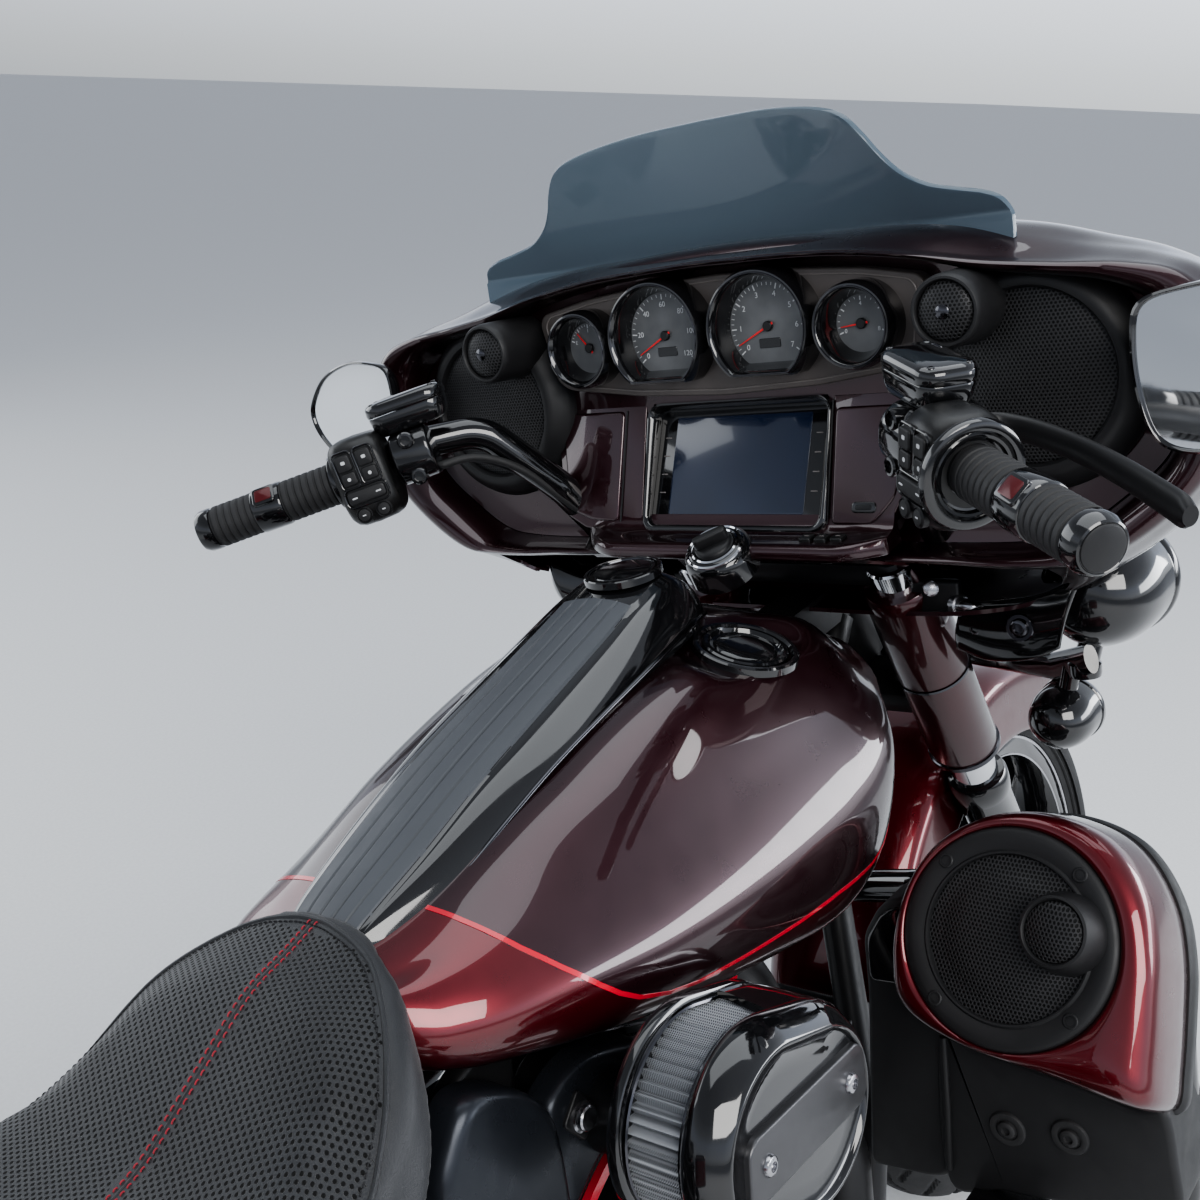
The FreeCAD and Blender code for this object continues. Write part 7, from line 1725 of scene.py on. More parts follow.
for side, s in (("left", 1), ("right", -1)):
    pol = polar_outline(POD, RING_C, 200)

    def pod_ring(d, k, inner=88.5, add=0.0):
        ring = []
        for a, r in pol:
            rr = inner + (r - inner) * k + add
            ring.append(on_face(s * (RING_C[0] + cos(a) * rr), RING_C[1] + sin(a) * rr, -d))
        return ring
    bm = bmesh.new()
    rings = [pod_ring(26, 0.0), pod_ring(3, 0.0), pod_ring(-0.5, 0.08), pod_ring(-1.5, 0.22), pod_ring(-0.6, 0.44), pod_ring(1.6, 0.62), pod_ring(5.5, 0.78), pod_ring(12, 0.89), pod_ring(22, 0.955),
             pod_ring(38, 1.0), pod_ring(58, 1.0, add=2.0), pod_ring(80, 1.0, add=2.0), pod_ring(94, 0.97, add=0.0), pod_ring(100, 0.90), pod_ring(103, 0.72), pod_ring(104, 0.4)]
    skin(bm, rings, True, False, True)
    from_bm("lower_pod_" + side, bm, "cherry", BODY_OF["lower_fairings"], slot="paint_cherry", stand_for=["lower_fairings"] if s > 0 else (), angle=60)
    # black moulded shell that carries the pod in front
    bm = bmesh.new()
    rings = [pod_ring(84, 0.80), pod_ring(84, 0.99, add=3.0), pod_ring(88, 1.0, add=5.5), pod_ring(104, 1.0, add=4.5), pod_ring(114, 0.92), pod_ring(119, 0.70), pod_ring(121, 0.2)]
    skin(bm, rings, True, True, True)
    from_bm("lower_shell_" + side, bm, "plastic", BODY_OF["lower_fairings"], slot="paint_cherry", angle=50)
    at, way = on_face(s * RING_C[0], RING_C[1], 0), FACE_N
    bm = bmesh.new()
    lathe_bm(bm, [(89.5, -24), (89.5, -3), (89.0, -1.0), (87.6, 1.2), (85, 2.6), (80, 2.8), (74, 2.0), (70.5, 1.2), (69.6, 2.2), (68.6, 3.2), (67.2, 3.0), (66.4, 1.0), (66.2, -6)], at, way, 140, 0, False)
    for k in range(4):
        a = math.radians(48 + 90 * k)
        p = at + Vector((0, s * cos(a) * 79, 0)) + FACE_V * (sin(a) * 79) + FACE_N * 2.0
        lathe_bm(bm, [(6.2, -2), (6.2, 1.0), (5.4, 1.8), (4.4, 1.8), (4.0, -0.2), (2.2, -0.4), (2.0, 0.6), (0.05, 0.6)], p, way, 28)
    from_bm("lower_speaker_bezel_" + side, bm, "plastic", BODY_OF["lower_speakers"], slot="black_plastic", stand_for=["lower_speakers"] if s > 0 else (), angle=40)
    lathe("lower_speaker_mesh_" + side, [(66.6, -6), (66.3, -1.0), (60, -0.2), (51, 0.4), (49.5, 1.3), (36, 3.0), (18, 4.2), (0.1, 4.8)], at, way, "mesh", BODY_OF["lower_speakers"], seg=110, slot="black_plastic")
    tw = on_face(s * 336, 24, 0)
    tw_way = (FACE_N + Vector((0, -s * 0.10, 0))).normalized()
    lathe("lower_tweeter_" + side, [(33, -4), (32.4, 6), (30.5, 16), (29.0, 23), (27.8, 26), (25.6, 26.6), (24.2, 25.0), (23.8, 22.6)], tw, tw_way, "plastic", BODY_OF["lower_speakers"], seg=80, slot="black_plastic")
    lathe("lower_tweeter_mesh_" + side, [(24.0, 22.2), (23.4, 24.0), (18, 26.6), (9, 28.4), (0.1, 29.0)], tw, tw_way, "mesh", BODY_OF["lower_speakers"], seg=64, slot="black_plastic")
    bm = bmesh.new()
    outl = even(catmull([(a, b, 0) for a, b in PANEL_LOW], 5, True), 110, True)
    slab_bm(bm, [(-s * p.x, p.y) for p in outl], (1118, 0, 0), (0, -1, 0), (0, 0, 1), 74, 6.0, 4)
    # a raised rib along the panel's inner edge
    tube_bm(bm, [Vector((1117.5, s * 221, 512)), Vector((1117.5, s * 219, 440)), Vector((1117.5, s * 216, 380))], 3.2, 12)
    outl = even(catmull([(a, b, 0) for a, b in rounded(LEG, 10, 4)], 1, True), 120, True)
    slab_bm(bm, [(-s * p.x, p.y) for p in outl], (1124, 0, 0), (0, -1, 0), (0, 0, 1), 44, 6.0, 4)
    from_bm("lower_panel_" + side, bm, "plastic", BODY_OF["lower_fairings"], slot="paint_cherry", angle=50)
    # gloss cover on the leg's upper part
    slab("lower_leg_cover_" + side, [(-s * a, b) for a, b in rounded([(151, 546), (152, 588), (168, 615), (188, 628), (205, 618), (206, 556), (180, 548)], 9, 5)], (1122.5, 0, 0), (0, -1, 0), (0, 0, 1), 8, "gloss_black", BODY_OF["lower_fairings"], bevel=4.0, slot="paint_cherry")
    bm = bmesh.new()
    way = Vector((-1, 0, 0))
    for y, z in ((273, 438), (327, 447)):
        c_ = Vector((1118, s * y, z))
        lathe_bm(bm, [(16, -4), (16, 0.8), (15, 2.4), (12.6, 3.0), (10, 2.4), (9.4, 1.2), (8.0, 1.2), (7.6, 4.0), (6.4, 5.0), (3.8, 5.2), (3.3, 3.0), (0.05, 2.8)], c_, way, 48)
    from_bm("lower_grommets_" + side, bm, "rubber", BODY_OF["lower_fairings"], slot="paint_cherry", angle=40)

# ------------------------------------------------------------------ air cleaner
TILT = math.radians(-18.0)
AIR_C = Vector((823, 0, 622))


def race(r, hl, y, n=24, grow=0.0):
    """Points round an oval in the x-z plane."""
    out = []
    for k in range(n + 1):
        a = -pi / 2 + pi * k / n
        out.append((hl + r * cos(a), r * sin(a)))
    for k in range(n + 1):
        a = pi / 2 + pi * k / n
        out.append((-hl + r * cos(a), r * sin(a)))
    return [AIR_C + Vector((u * cos(TILT) - v * sin(TILT), y, u * sin(TILT) + v * cos(TILT))) for u, v in out]


bm = bmesh.new()
skin(bm, [race(60, 27, -176), race(72, 27, -176.5), race(75, 27, -178.5), race(76, 27, -182), race(75, 27, -186), race(72, 27, -188), race(60, 27, -188.5)], True, True, True)
from_bm("air_back_plate", bm, "gloss_black", BODY_OF["air_cleaner"], slot="black_gloss", stand_for=["air_cleaner"], angle=40)
bm = bmesh.new()
rim = race(1.0, 27, 0, 90)
n = len(race(1.0, 27, 0, 90))
def pleat(y, k0=0.0):
    pts = []
    N = 132
    for k in range(N):
        s_ = k / N
        r = 69.0 if k % 2 == 0 else 60.0
        per = 2 * pi * 65 + 4 * 27
        d = s_ * per
        if d < pi * 65:
            a = -pi / 2 + d / 65
            u, v = 27 + r * cos(a), r * sin(a)
        elif d < pi * 65 + 54:
            q = d - pi * 65
            u, v = 27 - q, r
        elif d < 2 * pi * 65 + 54:
            a = pi / 2 + (d - pi * 65 - 54) / 65
            u, v = -27 + r * cos(a), r * sin(a)
        else:
            q = d - 2 * pi * 65 - 54
            u, v = -27 + q, -r
        pts.append(AIR_C + Vector((u * cos(TILT) - v * sin(TILT), y, u * sin(TILT) + v * cos(TILT))))
    return pts
skin(bm, [pleat(-187), pleat(-211), pleat(-235)], True)
from_bm("air_filter_pleats", bm, "gauze", BODY_OF["air_cleaner"], slot="black_gloss", smooth=False)
bm = bmesh.new()
skin(bm, [race(69.6, 27, -187.5), race(71.0, 27, -188.5), race(71.0, 27, -190.6), race(69.6, 27, -191.6)], True)
skin(bm, [race(69.6, 27, -231), race(71.0, 27, -232), race(71.0, 27, -234)], True)
from_bm("air_filter_rims", bm, "dark_chrome", BODY_OF["air_cleaner"], slot="black_gloss")
bm = bmesh.new()
skin(bm, [race(50, 27, -233.5), race(70, 27, -233.5), race(73.5, 27, -235), race(75.5, 27, -238.5), race(76, 27, -243), race(75, 27, -249), race(71, 27, -256), race(66.5, 27, -262), race(63.5, 27, -265.4), race(61.5, 27, -266.4), race(59.8, 27, -265.8), race(58.6, 27, -263.4), race(57.4, 27, -261.8), race(40, 27, -261.6)], True, True, True)
from_bm("air_cover", bm, "gloss_black", BODY_OF["air_cleaner"], slot="black_gloss", angle=60)
# the cover's hood over the filter's top and front


def arc_of_race(r, hl, y, u0, a1, n=30):
    out = []
    for k in range(8):
        out.append((u0 + (hl - u0) * k / 8, r))
    for k in range(n + 1):
        a = pi / 2 + (a1 - pi / 2) * k / n
        out.append((hl + r * cos(a), r * sin(a)))
    return [AIR_C + Vector((u * cos(TILT) - v * sin(TILT), y, u * sin(TILT) + v * cos(TILT))) for u, v in out]


bm = bmesh.new()
hood_ = [arc_of_race(70.5, 27, -238, -14, -1.15), arc_of_race(70.5, 27, -190, 4, -1.05), arc_of_race(72.5, 27, -188.5, 4, -1.05), arc_of_race(74.5, 27, -190, 4, -1.06), arc_of_race(75.6, 27, -200, 0, -1.08), arc_of_race(76, 27, -222, -8, -1.12), arc_of_race(75.6, 27, -242, -14, -1.15)]
skin(bm, list(map(list, zip(*hood_))), True, True, True)
from_bm("air_hood", bm, "gloss_black", BODY_OF["air_cleaner"], slot="black_gloss", angle=50)
# satin plate across the cover with two bolts, left blank
PA, PB = Vector((776, 0, 625)), Vector((884, 0, 620))
px_ = (PB - PA).normalized()
pv_ = Vector((-px_.z, 0, px_.x))
pm_ = (PA + PB) / 2
bm = bmesh.new()
outline_ = rounded([(-74, 17), (-66, 24), (68, 24), (77, 14), (77, -17), (69, -24), (-68, -24), (-76, -16)], 5, 4)
slab_bm(bm, outline_, Vector((pm_.x, -266.8, pm_.z)), px_, pv_, 8, 1.8, 3)
from_bm("air_cover_plate", bm, "plate_satin", BODY_OF["air_cleaner"], slot="black_gloss", angle=35)
bm = bmesh.new()
for c_ in (PA, PB):
    bolt(bm, Vector((c_.x, -266.4, c_.z)), (0, -1, 0), 7.5, 4.2)
from_bm("air_cover_bolts", bm, "machined", BODY_OF["air_cleaner"], slot="black_gloss")
lathe("air_duct", [(30, 0), (33, 4), (33, 120), (40, 132), (44, 138)], (806, -40, 596), (0.043, -0.997, 0.071), "satin_black", BODY_OF["air_cleaner"], seg=48, slot="black_gloss")

# ------------------------------------------------------------------ cylinders with fins, rocker covers, accent lines
CRANK = Vector((800, 0, 400))
for name, s in (("front", 1.0), ("rear", -1.0)):
    vee = math.radians(22.5)
    up_ = Vector((s * sin(vee), 0, cos(vee)))
    fx = Vector((cos(vee), 0, -s * sin(vee)))
    node_name = name + "_cylinder"
    body = BODY_OF[node_name]
    bm = bmesh.new()
    lathe_bm(bm, [(56, 150), (56, 238)], CRANK, up_, 48, 0)
    for k in range(10):
        t = 158 + k * 8.0
        w = 138 if k else 128
        rr = rrect(w, 140, 34, 8)
        rings = []
        for dt, sc in ((-1.3, 0.97), (-1.3, 1.0), (1.3, 1.0), (1.3, 0.97)):
            rings.append([CRANK + up_ * (t + dt) + fx * (a * sc) + Vector((0, b * sc, 0)) for a, b in rr])
        skin(bm, rings, True, True, True)
    from_bm(name + "_barrel_fins", bm, "engine", body, slot="engine_metal", stand_for=[node_name], angle=40)
    # bright machined rims on the fins
    bm = bmesh.new()
    for k in range(10):
        t = 158 + k * 8.0
        rr = rrect(138.6 if k else 128.6, 140.6, 34, 8)
        ring_ = [CRANK + up_ * t + fx * a + Vector((0, b, 0)) for a, b in rr]
        skin(bm, [[p + up_ * -0.9 for p in ring_], [p + up_ * 0.9 for p in ring_]], True)
    from_bm(name + "_fin_edges", bm, "machined", body, slot="engine_metal")
    # head: three stacked fins and a body
    bm = bmesh.new()
    pillow(bm, CRANK + up_ * 236, up_, fx, (0, 1, 0), 0, 46, 112, 120, 20, 4)
    for k in range(5):
        t = 238 + k * 9.0
        rr = rrect(140 - abs(k - 2) * 3, 148 - abs(k - 2) * 4, 26, 8)
        rings = [[CRANK + up_ * (t + dt) + fx * (a * sc) + Vector((0, b * sc, 0)) for a, b in rr] for dt, sc in ((-1.6, 0.96), (-1.6, 1.0), (1.6, 1.0), (1.6, 0.96))]
        skin(bm, rings, True, True, True)
    from_bm(name + "_head_fins", bm, "engine", body, slot="engine_metal", angle=40)
    # rocker cover: a swollen two-step cover that overhangs the head on the right
    bm = bmesh.new()
    loaf(bm, CRANK + up_ * 279, up_, fx, (0, 1, 0), [(0, 122, 146, 22), (1.5, 126, 152, 24), (8, 128, 156, 26), (14, 126, 154, 26), (16, 120, 148, 24), (18, 112, 140, 24), (26, 110, 138, 28), (33, 100, 126, 30), (38, 82, 106, 30), (40.5, 50, 70, 24)], 9)
    for a, b in ((-52, -66), (52, -66), (-52, 66), (52, 66)):
        bolt(bm, CRANK + up_ * 292 + fx * a + Vector((0, b, 0)), up_, 7.0, 5.0)
    from_bm(name + "_rocker_cover", bm, "gloss_black", body, slot="engine_metal", angle=50)
    bm = bmesh.new()
    for sgn in (-1, 1):
        bl = [(-58, -6), (-40, -32), (40, -34), (60, -8), (50, 22), (-48, 24)]
        ol = even(catmull([(a, b, 0) for a, b in rounded(bl, 14, 5)], 2, True), 80, True)
        slab_bm(bm, [(p.x * sgn * -1, p.y) for p in ol], CRANK + up_ * 279 + Vector((0, sgn * 83, 0)), (fx * -1 if sgn > 0 else fx), up_, 14, 6, 5)
    from_bm(name + "_rocker_side", bm, "engine", body, slot="engine_metal", angle=45)
    bm = bmesh.new()
    for sgn in (-1, 1):
        c_ = CRANK + up_ * 276 + Vector((0, sgn * 84, 0)) + fx * 6
        dia = rounded([(0, 19), (-19, 0), (0, -19), (19, 0)], 4, 4)
        slab_bm(bm, [(a, b) for a, b in dia], c_, fx if sgn < 0 else fx * -1, up_, 6, 2, 3)
    from_bm(name + "_rocker_pad", bm, "gloss_black", body, slot="engine_metal")
    bm = bmesh.new()
    for sgn in (-1, 1):
        c_ = CRANK + up_ * 276 + Vector((0, sgn * 84, 0)) + fx * 6
        lathe_bm(bm, [(11.5, 0), (11.5, 1.6), (9.5, 2.2), (9.5, 6.4), (8.4, 7.4), (0.05, 7.6)], c_, (0, sgn, 0), 32)
    from_bm(name + "_rocker_bolt", bm, "steel", body, slot="engine_metal")
    # thin red accent down the cover's edge
    bm = bmesh.new()
    for sgn in (-1, 1):
        if name == "rear":
            path = [(866, 623), (853, 606), (838, 592), (811, 571), (786, 557), (764, 542), (744, 524), (728, 504), (716, 482)]
        else:
            path = [(1010, 640), (1004, 615), (992, 590), (972, 566), (950, 548), (932, 530), (918, 508), (908, 484)]
        P_ = [Vector((a, sgn * (113.0 if name == "rear" else 96.0), b)) for a, b in path]
        P_ = catmull(P_, 6)
        rings = []
        for i, p in enumerate(P_):
            T = (P_[min(i + 1, len(P_) - 1)] - P_[max(i - 1, 0)]).normalized()
            nn = Vector((0, sgn, 0))
            lat = T.cross(nn).normalized()
            rings.append([p + lat * 4.2 - nn * 6, p + lat * 4.2 + nn * 0.6, p - lat * 4.2 + nn * 0.6, p - lat * 4.2 - nn * 6])
        skin(bm, rings, True, True, True)
    from_bm(name + "_accent", bm, "red_line", body, slot="engine_metal")

# broad smooth castings of the heads beside the air cleaner
ROCK_A = [(632, 640), (646, 672), (668, 692), (700, 682), (728, 660), (744, 632), (748, 590), (744, 548), (722, 520), (690, 530), (652, 590)]
ROCK_B = [(742, 628), (760, 646), (792, 652), (830, 640), (858, 624), (840, 600), (812, 580), (784, 566), (758, 550), (742, 566)]
for sgn, tag in ((-1, "right"), (1, "left")):
    for k_, (pts_, y_, mat_) in enumerate(((ROCK_A, 121, "rocker"), (ROCK_B, 112, "rocker"))):
        ol = even(catmull([(a, b, 0) for a, b in pts_], 6, True), 110, True)
        slab("rear_head_casting_%d_%s" % (k_, tag), [(p.x, p.y) for p in ol] if sgn < 0 else [(-p.x, p.y) for p in ol], (0, sgn * y_, 0), (1, 0, 0) if sgn < 0 else (-1, 0, 0), (0, 0, 1), 30 if k_ == 0 else 24, mat_, BODY_OF["rear_cylinder"], bevel=11.0 if k_ == 0 else 8.0, slot="engine_metal")
    c_ = Vector((772, sgn * 115.2, 617))
    bm = bmesh.new()
    dia = rounded([(0, 21), (-19, 2), (0, -21), (19, -2)], 4, 4)
    slab_bm(bm, dia, c_, (1, 0, 0) if sgn < 0 else (-1, 0, 0), (0, 0, 1), 5, 1.6, 3)
    from_bm("rear_bolt_recess_" + tag, bm, "satin_black", BODY_OF["rear_cylinder"], slot="engine_metal")
    bm = bmesh.new()
    lathe_bm(bm, [(11.5, 0), (11.5, 1.6), (9.5, 2.4), (9.3, 6.0), (8.2, 7.2), (5.0, 7.6), (0.05, 7.6)], c_, (0, sgn, 0), 36)
    from_bm("rear_head_bolt_" + tag, bm, "machined", BODY_OF["rear_cylinder"], slot="engine_metal")

# ------------------------------------------------------------------ wheels, tyres, fenders
SLOT_OF = {p["node"]: p["material_slot"] for p in frame["record"]["subparts"]}


def soften(node, mat, width=1.6, segs=2, pick=None, angle=32, clean=1.2, name=None):
    """The node's own shape with its hard edges rounded, in place of the node."""
    src = NODES[node]
    me = src.data.copy()
    me.transform(src.matrix_world)
    bm = bmesh.new()
    bm.from_mesh(me)
    bmesh.ops.remove_doubles(bm, verts=bm.verts, dist=1e-6)
    bmesh.ops.dissolve_limit(bm, angle_limit=math.radians(clean), verts=bm.verts, edges=bm.edges)
    bm.to_mesh(me)
    bm.free()
    o = link(name or node + "_finish", me)
    add_mod(o, "BEVEL", width=width / 1000.0, segments=segs, limit_method="ANGLE", angle_limit=math.radians(angle), use_clamp_overlap=True, harden_normals=False)
    apply_mods(o)
    mats = mat if isinstance(mat, (list, tuple)) else [mat]
    o.data.materials.clear()
    for k in mats:
        o.data.materials.append(MAT[k])
    if pick:
        for p in o.data.polygons:
            c = MINV @ p.center * 1000.0
            p.material_index = pick(c)
    for p in o.data.polygons:
        p.use_smooth = True
    o.data.set_sharp_from_angle(angle=math.radians(40))
    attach(o, BODY_OF[node])
    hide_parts(node)
    return o


REAR_AX, FRONT_AX = Vector((0, 0, 328)), Vector((1625, 0, 320))
for side, axle, R, Wd, S_, C, hw in (("rear", REAR_AX, 328.0, 90.0, 229.0, 105.0, 64.0), ("front", FRONT_AX, 320.0, 65.0, 241.0, 72.0, 46.0)):
    body = BODY_OF[side + "_wheel"]
    ew = 0.80 * Wd
    er = (R - C) + math.sqrt(C * C - ew * ew)
    prof = [(S_ + 9, -hw - 2), (S_ + 9.5, -hw - 7.5), (S_ + 14, -hw - 10)]
    mid_r = (S_ + er) / 2 + 2
    prof += [(S_ + 24, -Wd + 5), (mid_r - 8, -Wd + 0.8), (mid_r, -Wd + 0.2), (mid_r + 9, -Wd + 1.6), (er - 6, -ew - 3.2)]
    tread = []
    n_t = 54
    for k in range(n_t + 1):
        y = -ew + 2 * ew * k / n_t
        tread.append(((R - C) + math.sqrt(C * C - y * y), y))
    prof = prof + tread + [(r, -y) for r, y in reversed(prof)]
    seg = 400
    bm = bmesh.new()
    rings = []
    for r, y in prof:
        ring = []
        on_tread = abs(y) <= ew - 1 and r >= er - 0.1
        for k in range(seg):
            a = 2 * pi * k / seg
            rr = r
            if on_tread:
                ay = abs(y) / Wd
                g = 0.0
                wig = 0.035 * sin(a * 26)
                if abs(ay - (0.16 + wig)) < 0.042:
                    g = 1.0
                ph = (a * 26 / (2 * pi) * 1.0 + ay * 1.35 * (1 if y > 0 else 1) + (0.5 if y > 0 else 0.0)) % 1.0
                if 0.30 < ay < 0.78 and ph < 0.17:
                    g = 1.0
                rr -= 4.6 * g
            ring.append(axle + Vector((rr * cos(a), y, rr * sin(a))))
        rings.append(ring)
    skin(bm, rings, True)
    # close at the bead
    vs = bm.verts[:]
    bm.verts.ensure_lookup_table()
    a_, b_ = [bm.verts[k] for k in range(seg)], [bm.verts[len(prof) * seg - seg + k] for k in range(seg)]
    for k in range(seg):
        j = (k + 1) % seg
        bm.faces.new((a_[j], a_[k], b_[k], b_[j]))
    from_bm(side + "_tyre_tread", bm, "tyre", body, slot="tyre_black", stand_for=[side + "_tyre"], angle=38)
    # raised plain rings on the side walls
    bm = bmesh.new()
    for sgn in (1, -1):
        for rr, ww in ((mid_r - 12, 1.2), (S_ + 22, 1.6)):
            y_ = Wd - 0.6 if rr > S_ + 30 else Wd - 5.5
            lathe_bm(bm, [(rr - 2.4, sgn * (y_ - 1.5)), (rr - 1.2, sgn * (y_ + ww * 0.6)), (rr + 1.2, sgn * (y_ + ww * 0.6)), (rr + 2.4, sgn * (y_ - 1.5))], axle, (0, 1, 0), 180, 0, False)
    from_bm(side + "_tyre_rings", bm, "tyre", body, slot="tyre_black")

    def pick_wheel(c, axle=axle, S_=S_, side=side):
        r = math.hypot(c.x - axle.x, c.z - axle.z)
        y = abs(c.y)
        if side == "front" and 66 < y < 75 and r > 58:
            return 1
        if side == "rear" and c.y < -104 and r > 58:
            return 1
        if side == "rear" and c.y > 98 and r > 110:
            return 2
        return 0
    soften(side + "_wheel", ["gloss_black", "steel", "satin_black"], 1.4, 2, pick_wheel, angle=30)
    # machined rim lips, hub rings, spoke faces and bolts
    bm = bmesh.new()
    for sgn in (1, -1):
        lathe_bm(bm, [(S_ + 3, sgn * (hw + 5.5)), (S_ + 7.4, sgn * (hw + 7.0)), (S_ + 9.4, sgn * (hw + 5.2)), (S_ + 9.2, sgn * (hw + 1.5))], axle, (0, 1, 0), 180, 0, False)
        lathe_bm(bm, [(S_ - 13.4, sgn * (hw + 5)), (S_ - 14.4, sgn * (hw + 6.6)), (S_ - 16.5, sgn * (hw + 5.8))], axle, (0, 1, 0), 180, 0, False)
    from_bm(side + "_rim_lips", bm, "machined", body, slot="black_gloss")
    bm = bmesh.new()
    n_s = 9
    for k in range(n_s):
        a = 2 * pi * k / n_s
        # the spoke's own direction in the wheel: first one along the profile's x axis
        for sgn in (1, -1):
            d = Vector((cos(a), 0, sin(a)))
            t_ = Vector((-sin(a), 0, cos(a)))
            base = axle + Vector((0, sgn * 15.6, 0))
            q0, q1 = base + d * 50, base + d * (S_ - 24)
            skin(bm, [[q0 + t_ * 9 - Vector((0, sgn * 2.5, 0)), q0 + t_ * 7.4, q0 - t_ * 7.4, q0 - t_ * 9 - Vector((0, sgn * 2.5, 0))],
                      [q1 + t_ * 5 - Vector((0, sgn * 2.5, 0)), q1 + t_ * 3.8, q1 - t_ * 3.8, q1 - t_ * 5 - Vector((0, sgn * 2.5, 0))]], True, True, True)
    from_bm(side + "_spoke_faces", bm, "gloss_black", body, slot="black_gloss")
    bm = bmesh.new()
    ys = ((73.4, 1), (-73.4, -1)) if side == "front" else ((-117.2, -1), (127.4, 1))
    for y, sgn in ys:
        for k in range(6 if side == "front" else 5):
            a = 2 * pi * k / (6 if side == "front" else 5) + 0.2
            bolt(bm, axle + Vector((52 * cos(a), y, 52 * sin(a))), (0, sgn, 0), 6.0, 4.5)
        lathe_bm(bm, [(44, y - sgn * 2), (44, y + sgn * 1.0), (42, y + sgn * 1.8), (33, y + sgn * 2.0), (30, y + sgn * 4.5), (27, y + sgn * 5.0), (24, y + sgn * 3.0)], axle, (0, 1, 0), 72, 0, False)
    from_bm(side + "_hub_bolts", bm, "dark_chrome", body, slot="black_gloss")
    # drilled look on the discs: shallow dark pits in rows
    bm = bmesh.new()
    for y, sgn in (((73.15, 1), (-73.15, -1)) if side == "front" else ((-117.15, -1),)):
        for k in range(40):
            a = 2 * pi * k / 40
            for j, rr in enumerate((122, 133, 143)):
                aa = a + j * 0.05
                lathe_bm(bm, [(2.6, 0.25), (2.4, 0.3), (0.05, 0.3)], axle + Vector((rr * cos(aa), y, rr * sin(aa))), (0, sgn, 0), 12, 0, False)
    from_bm(side + "_disc_pits", bm, "satin_black", body, slot="steel")


def fender_sheet(name, axle, outer, half, a0, a1, end0, end1, mat, node, wall=3.5):
    """A fender swept about the axle, its skirts rounded up at both ends."""
    bm = bmesh.new()
    n = 120
    rows = []
    for k in range(n + 1):
        t = k / n
        a = math.radians(a0 + (a1 - a0) * t)
        d0, d1 = t * (a1 - a0), (1 - t) * (a1 - a0)
        f = 1.0
        if d0 < end0:
            f = min(f, math.sqrt(max(0.0, 1 - (1 - d0 / end0) ** 2)))
        if d1 < end1:
            f = min(f, math.sqrt(max(0.0, 1 - (1 - d1 / end1) ** 2)))
        depth = 26 + (92 - 26) * f
        hf = half - (1 - f) * 14
        sec = [(outer - depth, hf), (outer - depth + 6, hf + 0.6), (outer - min(depth * 0.7, 60), hf), (outer - 26, hf - 1.5), (outer - 13, hf - 9), (outer - 4.5, hf - 24), (outer - 0.8, hf - 46), (outer, 0)]
        if depth < 50:
            sec[1] = (outer - depth * 0.85, hf + 0.3)
            sec[2] = (outer - depth * 0.7, hf - 0.6)
            sec[3] = (outer - depth * 0.55, hf - 3)
            sec[4] = (outer - depth * 0.36, hf - 9)
            sec[5] = (outer - depth * 0.14, hf - 24)
        full = sec + [(r, -y) for r, y in reversed(sec[:-1])]
        line = even(catmull([(r, y, 0) for r, y in full], 6), 72)
        rows.append([axle + Vector((p.x * cos(a), p.y, p.x * sin(a))) for p in line])
    skin(bm, rows, False)
    bmesh.ops.recalc_face_normals(bm, faces=bm.faces)
    mid = rows[n // 2][36]
    bm.faces.ensure_lookup_table()
    best = min(bm.faces, key=lambda f: (f.calc_center_median() - mid).length)
    if best.normal.dot(best.calc_center_median() - axle) < 0:
        bmesh.ops.reverse_faces(bm, faces=bm.faces)
    me = bpy.data.meshes.new(name)
    bm.to_mesh(me)
    bm.free()
    o = link(name, me)
    add_mod(o, "SOLIDIFY", thickness=wall, offset=-1.0)
    add_mod(o, "BEVEL", width=1.2, segments=2, limit_method="ANGLE", angle_limit=math.radians(60))
    apply_mods(o)
    return finish_obj(o, mat, BODY_OF[node], slot=SLOT_OF[node], stand_for=[node], angle=60)


fender_sheet("rear_fender_sheet", REAR_AX, 372.0, 111.5, 42, 200, 10, 14, "cherry", "rear_fender")
fender_sheet("front_fender_sheet", FRONT_AX, 352.0, 80.0, 46, 196, 22, 26, "cherry", "front_fender")
bm = bmesh.new()
for side, s in (("left", 1), ("right", -1)):
    # struts from the fork feet to the front fender
    pillow(bm, FRONT_AX + Vector((-62, s * 84.5, 150)), Vector((-0.2, 0, 1)), (1, 0, 0.2), (0, 1, 0), -50, 60, 46, 7, 3, 2)
    for k in (-30, 40):
        bolt(bm, FRONT_AX + Vector((-62 - k * 0.2, s * 88, 150 + k)), (0, s, 0), 7, 5)
from_bm("front_fender_struts", bm, "gloss_black", BODY_OF["front_fender"], slot="black_gloss")

# ------------------------------------------------------------------ axles' nuts, calipers
bm = bmesh.new()
for s in (1, -1):
    lathe_bm(bm, [(12.6, 0), (19, 0.5), (20.5, 3), (20.5, 12), (18, 14.4), (13, 15), (12, 12), (8.2, 11.6), (8.1, 2)], FRONT_AX + Vector((0, s * 131, 0)), (0, s, 0), 48, 0, False)
from_bm("front_axle_nuts", bm, "dark_chrome", BODY_OF["front_axle"], slot="steel")
bm = bmesh.new()
for s in (1, -1):
    lathe_bm(bm, [(12.6, 0), (21, 0.5), (22.5, 3), (22.5, 14), (20, 17), (13, 17.6), (12, 14), (8.2, 13.6), (8.1, 2)], REAR_AX + Vector((0, s * 164.5, 0)), (0, s, 0), 48, 0, False)
from_bm("rear_axle_nuts", bm, "dark_chrome", BODY_OF["rear_axle"], slot="steel")
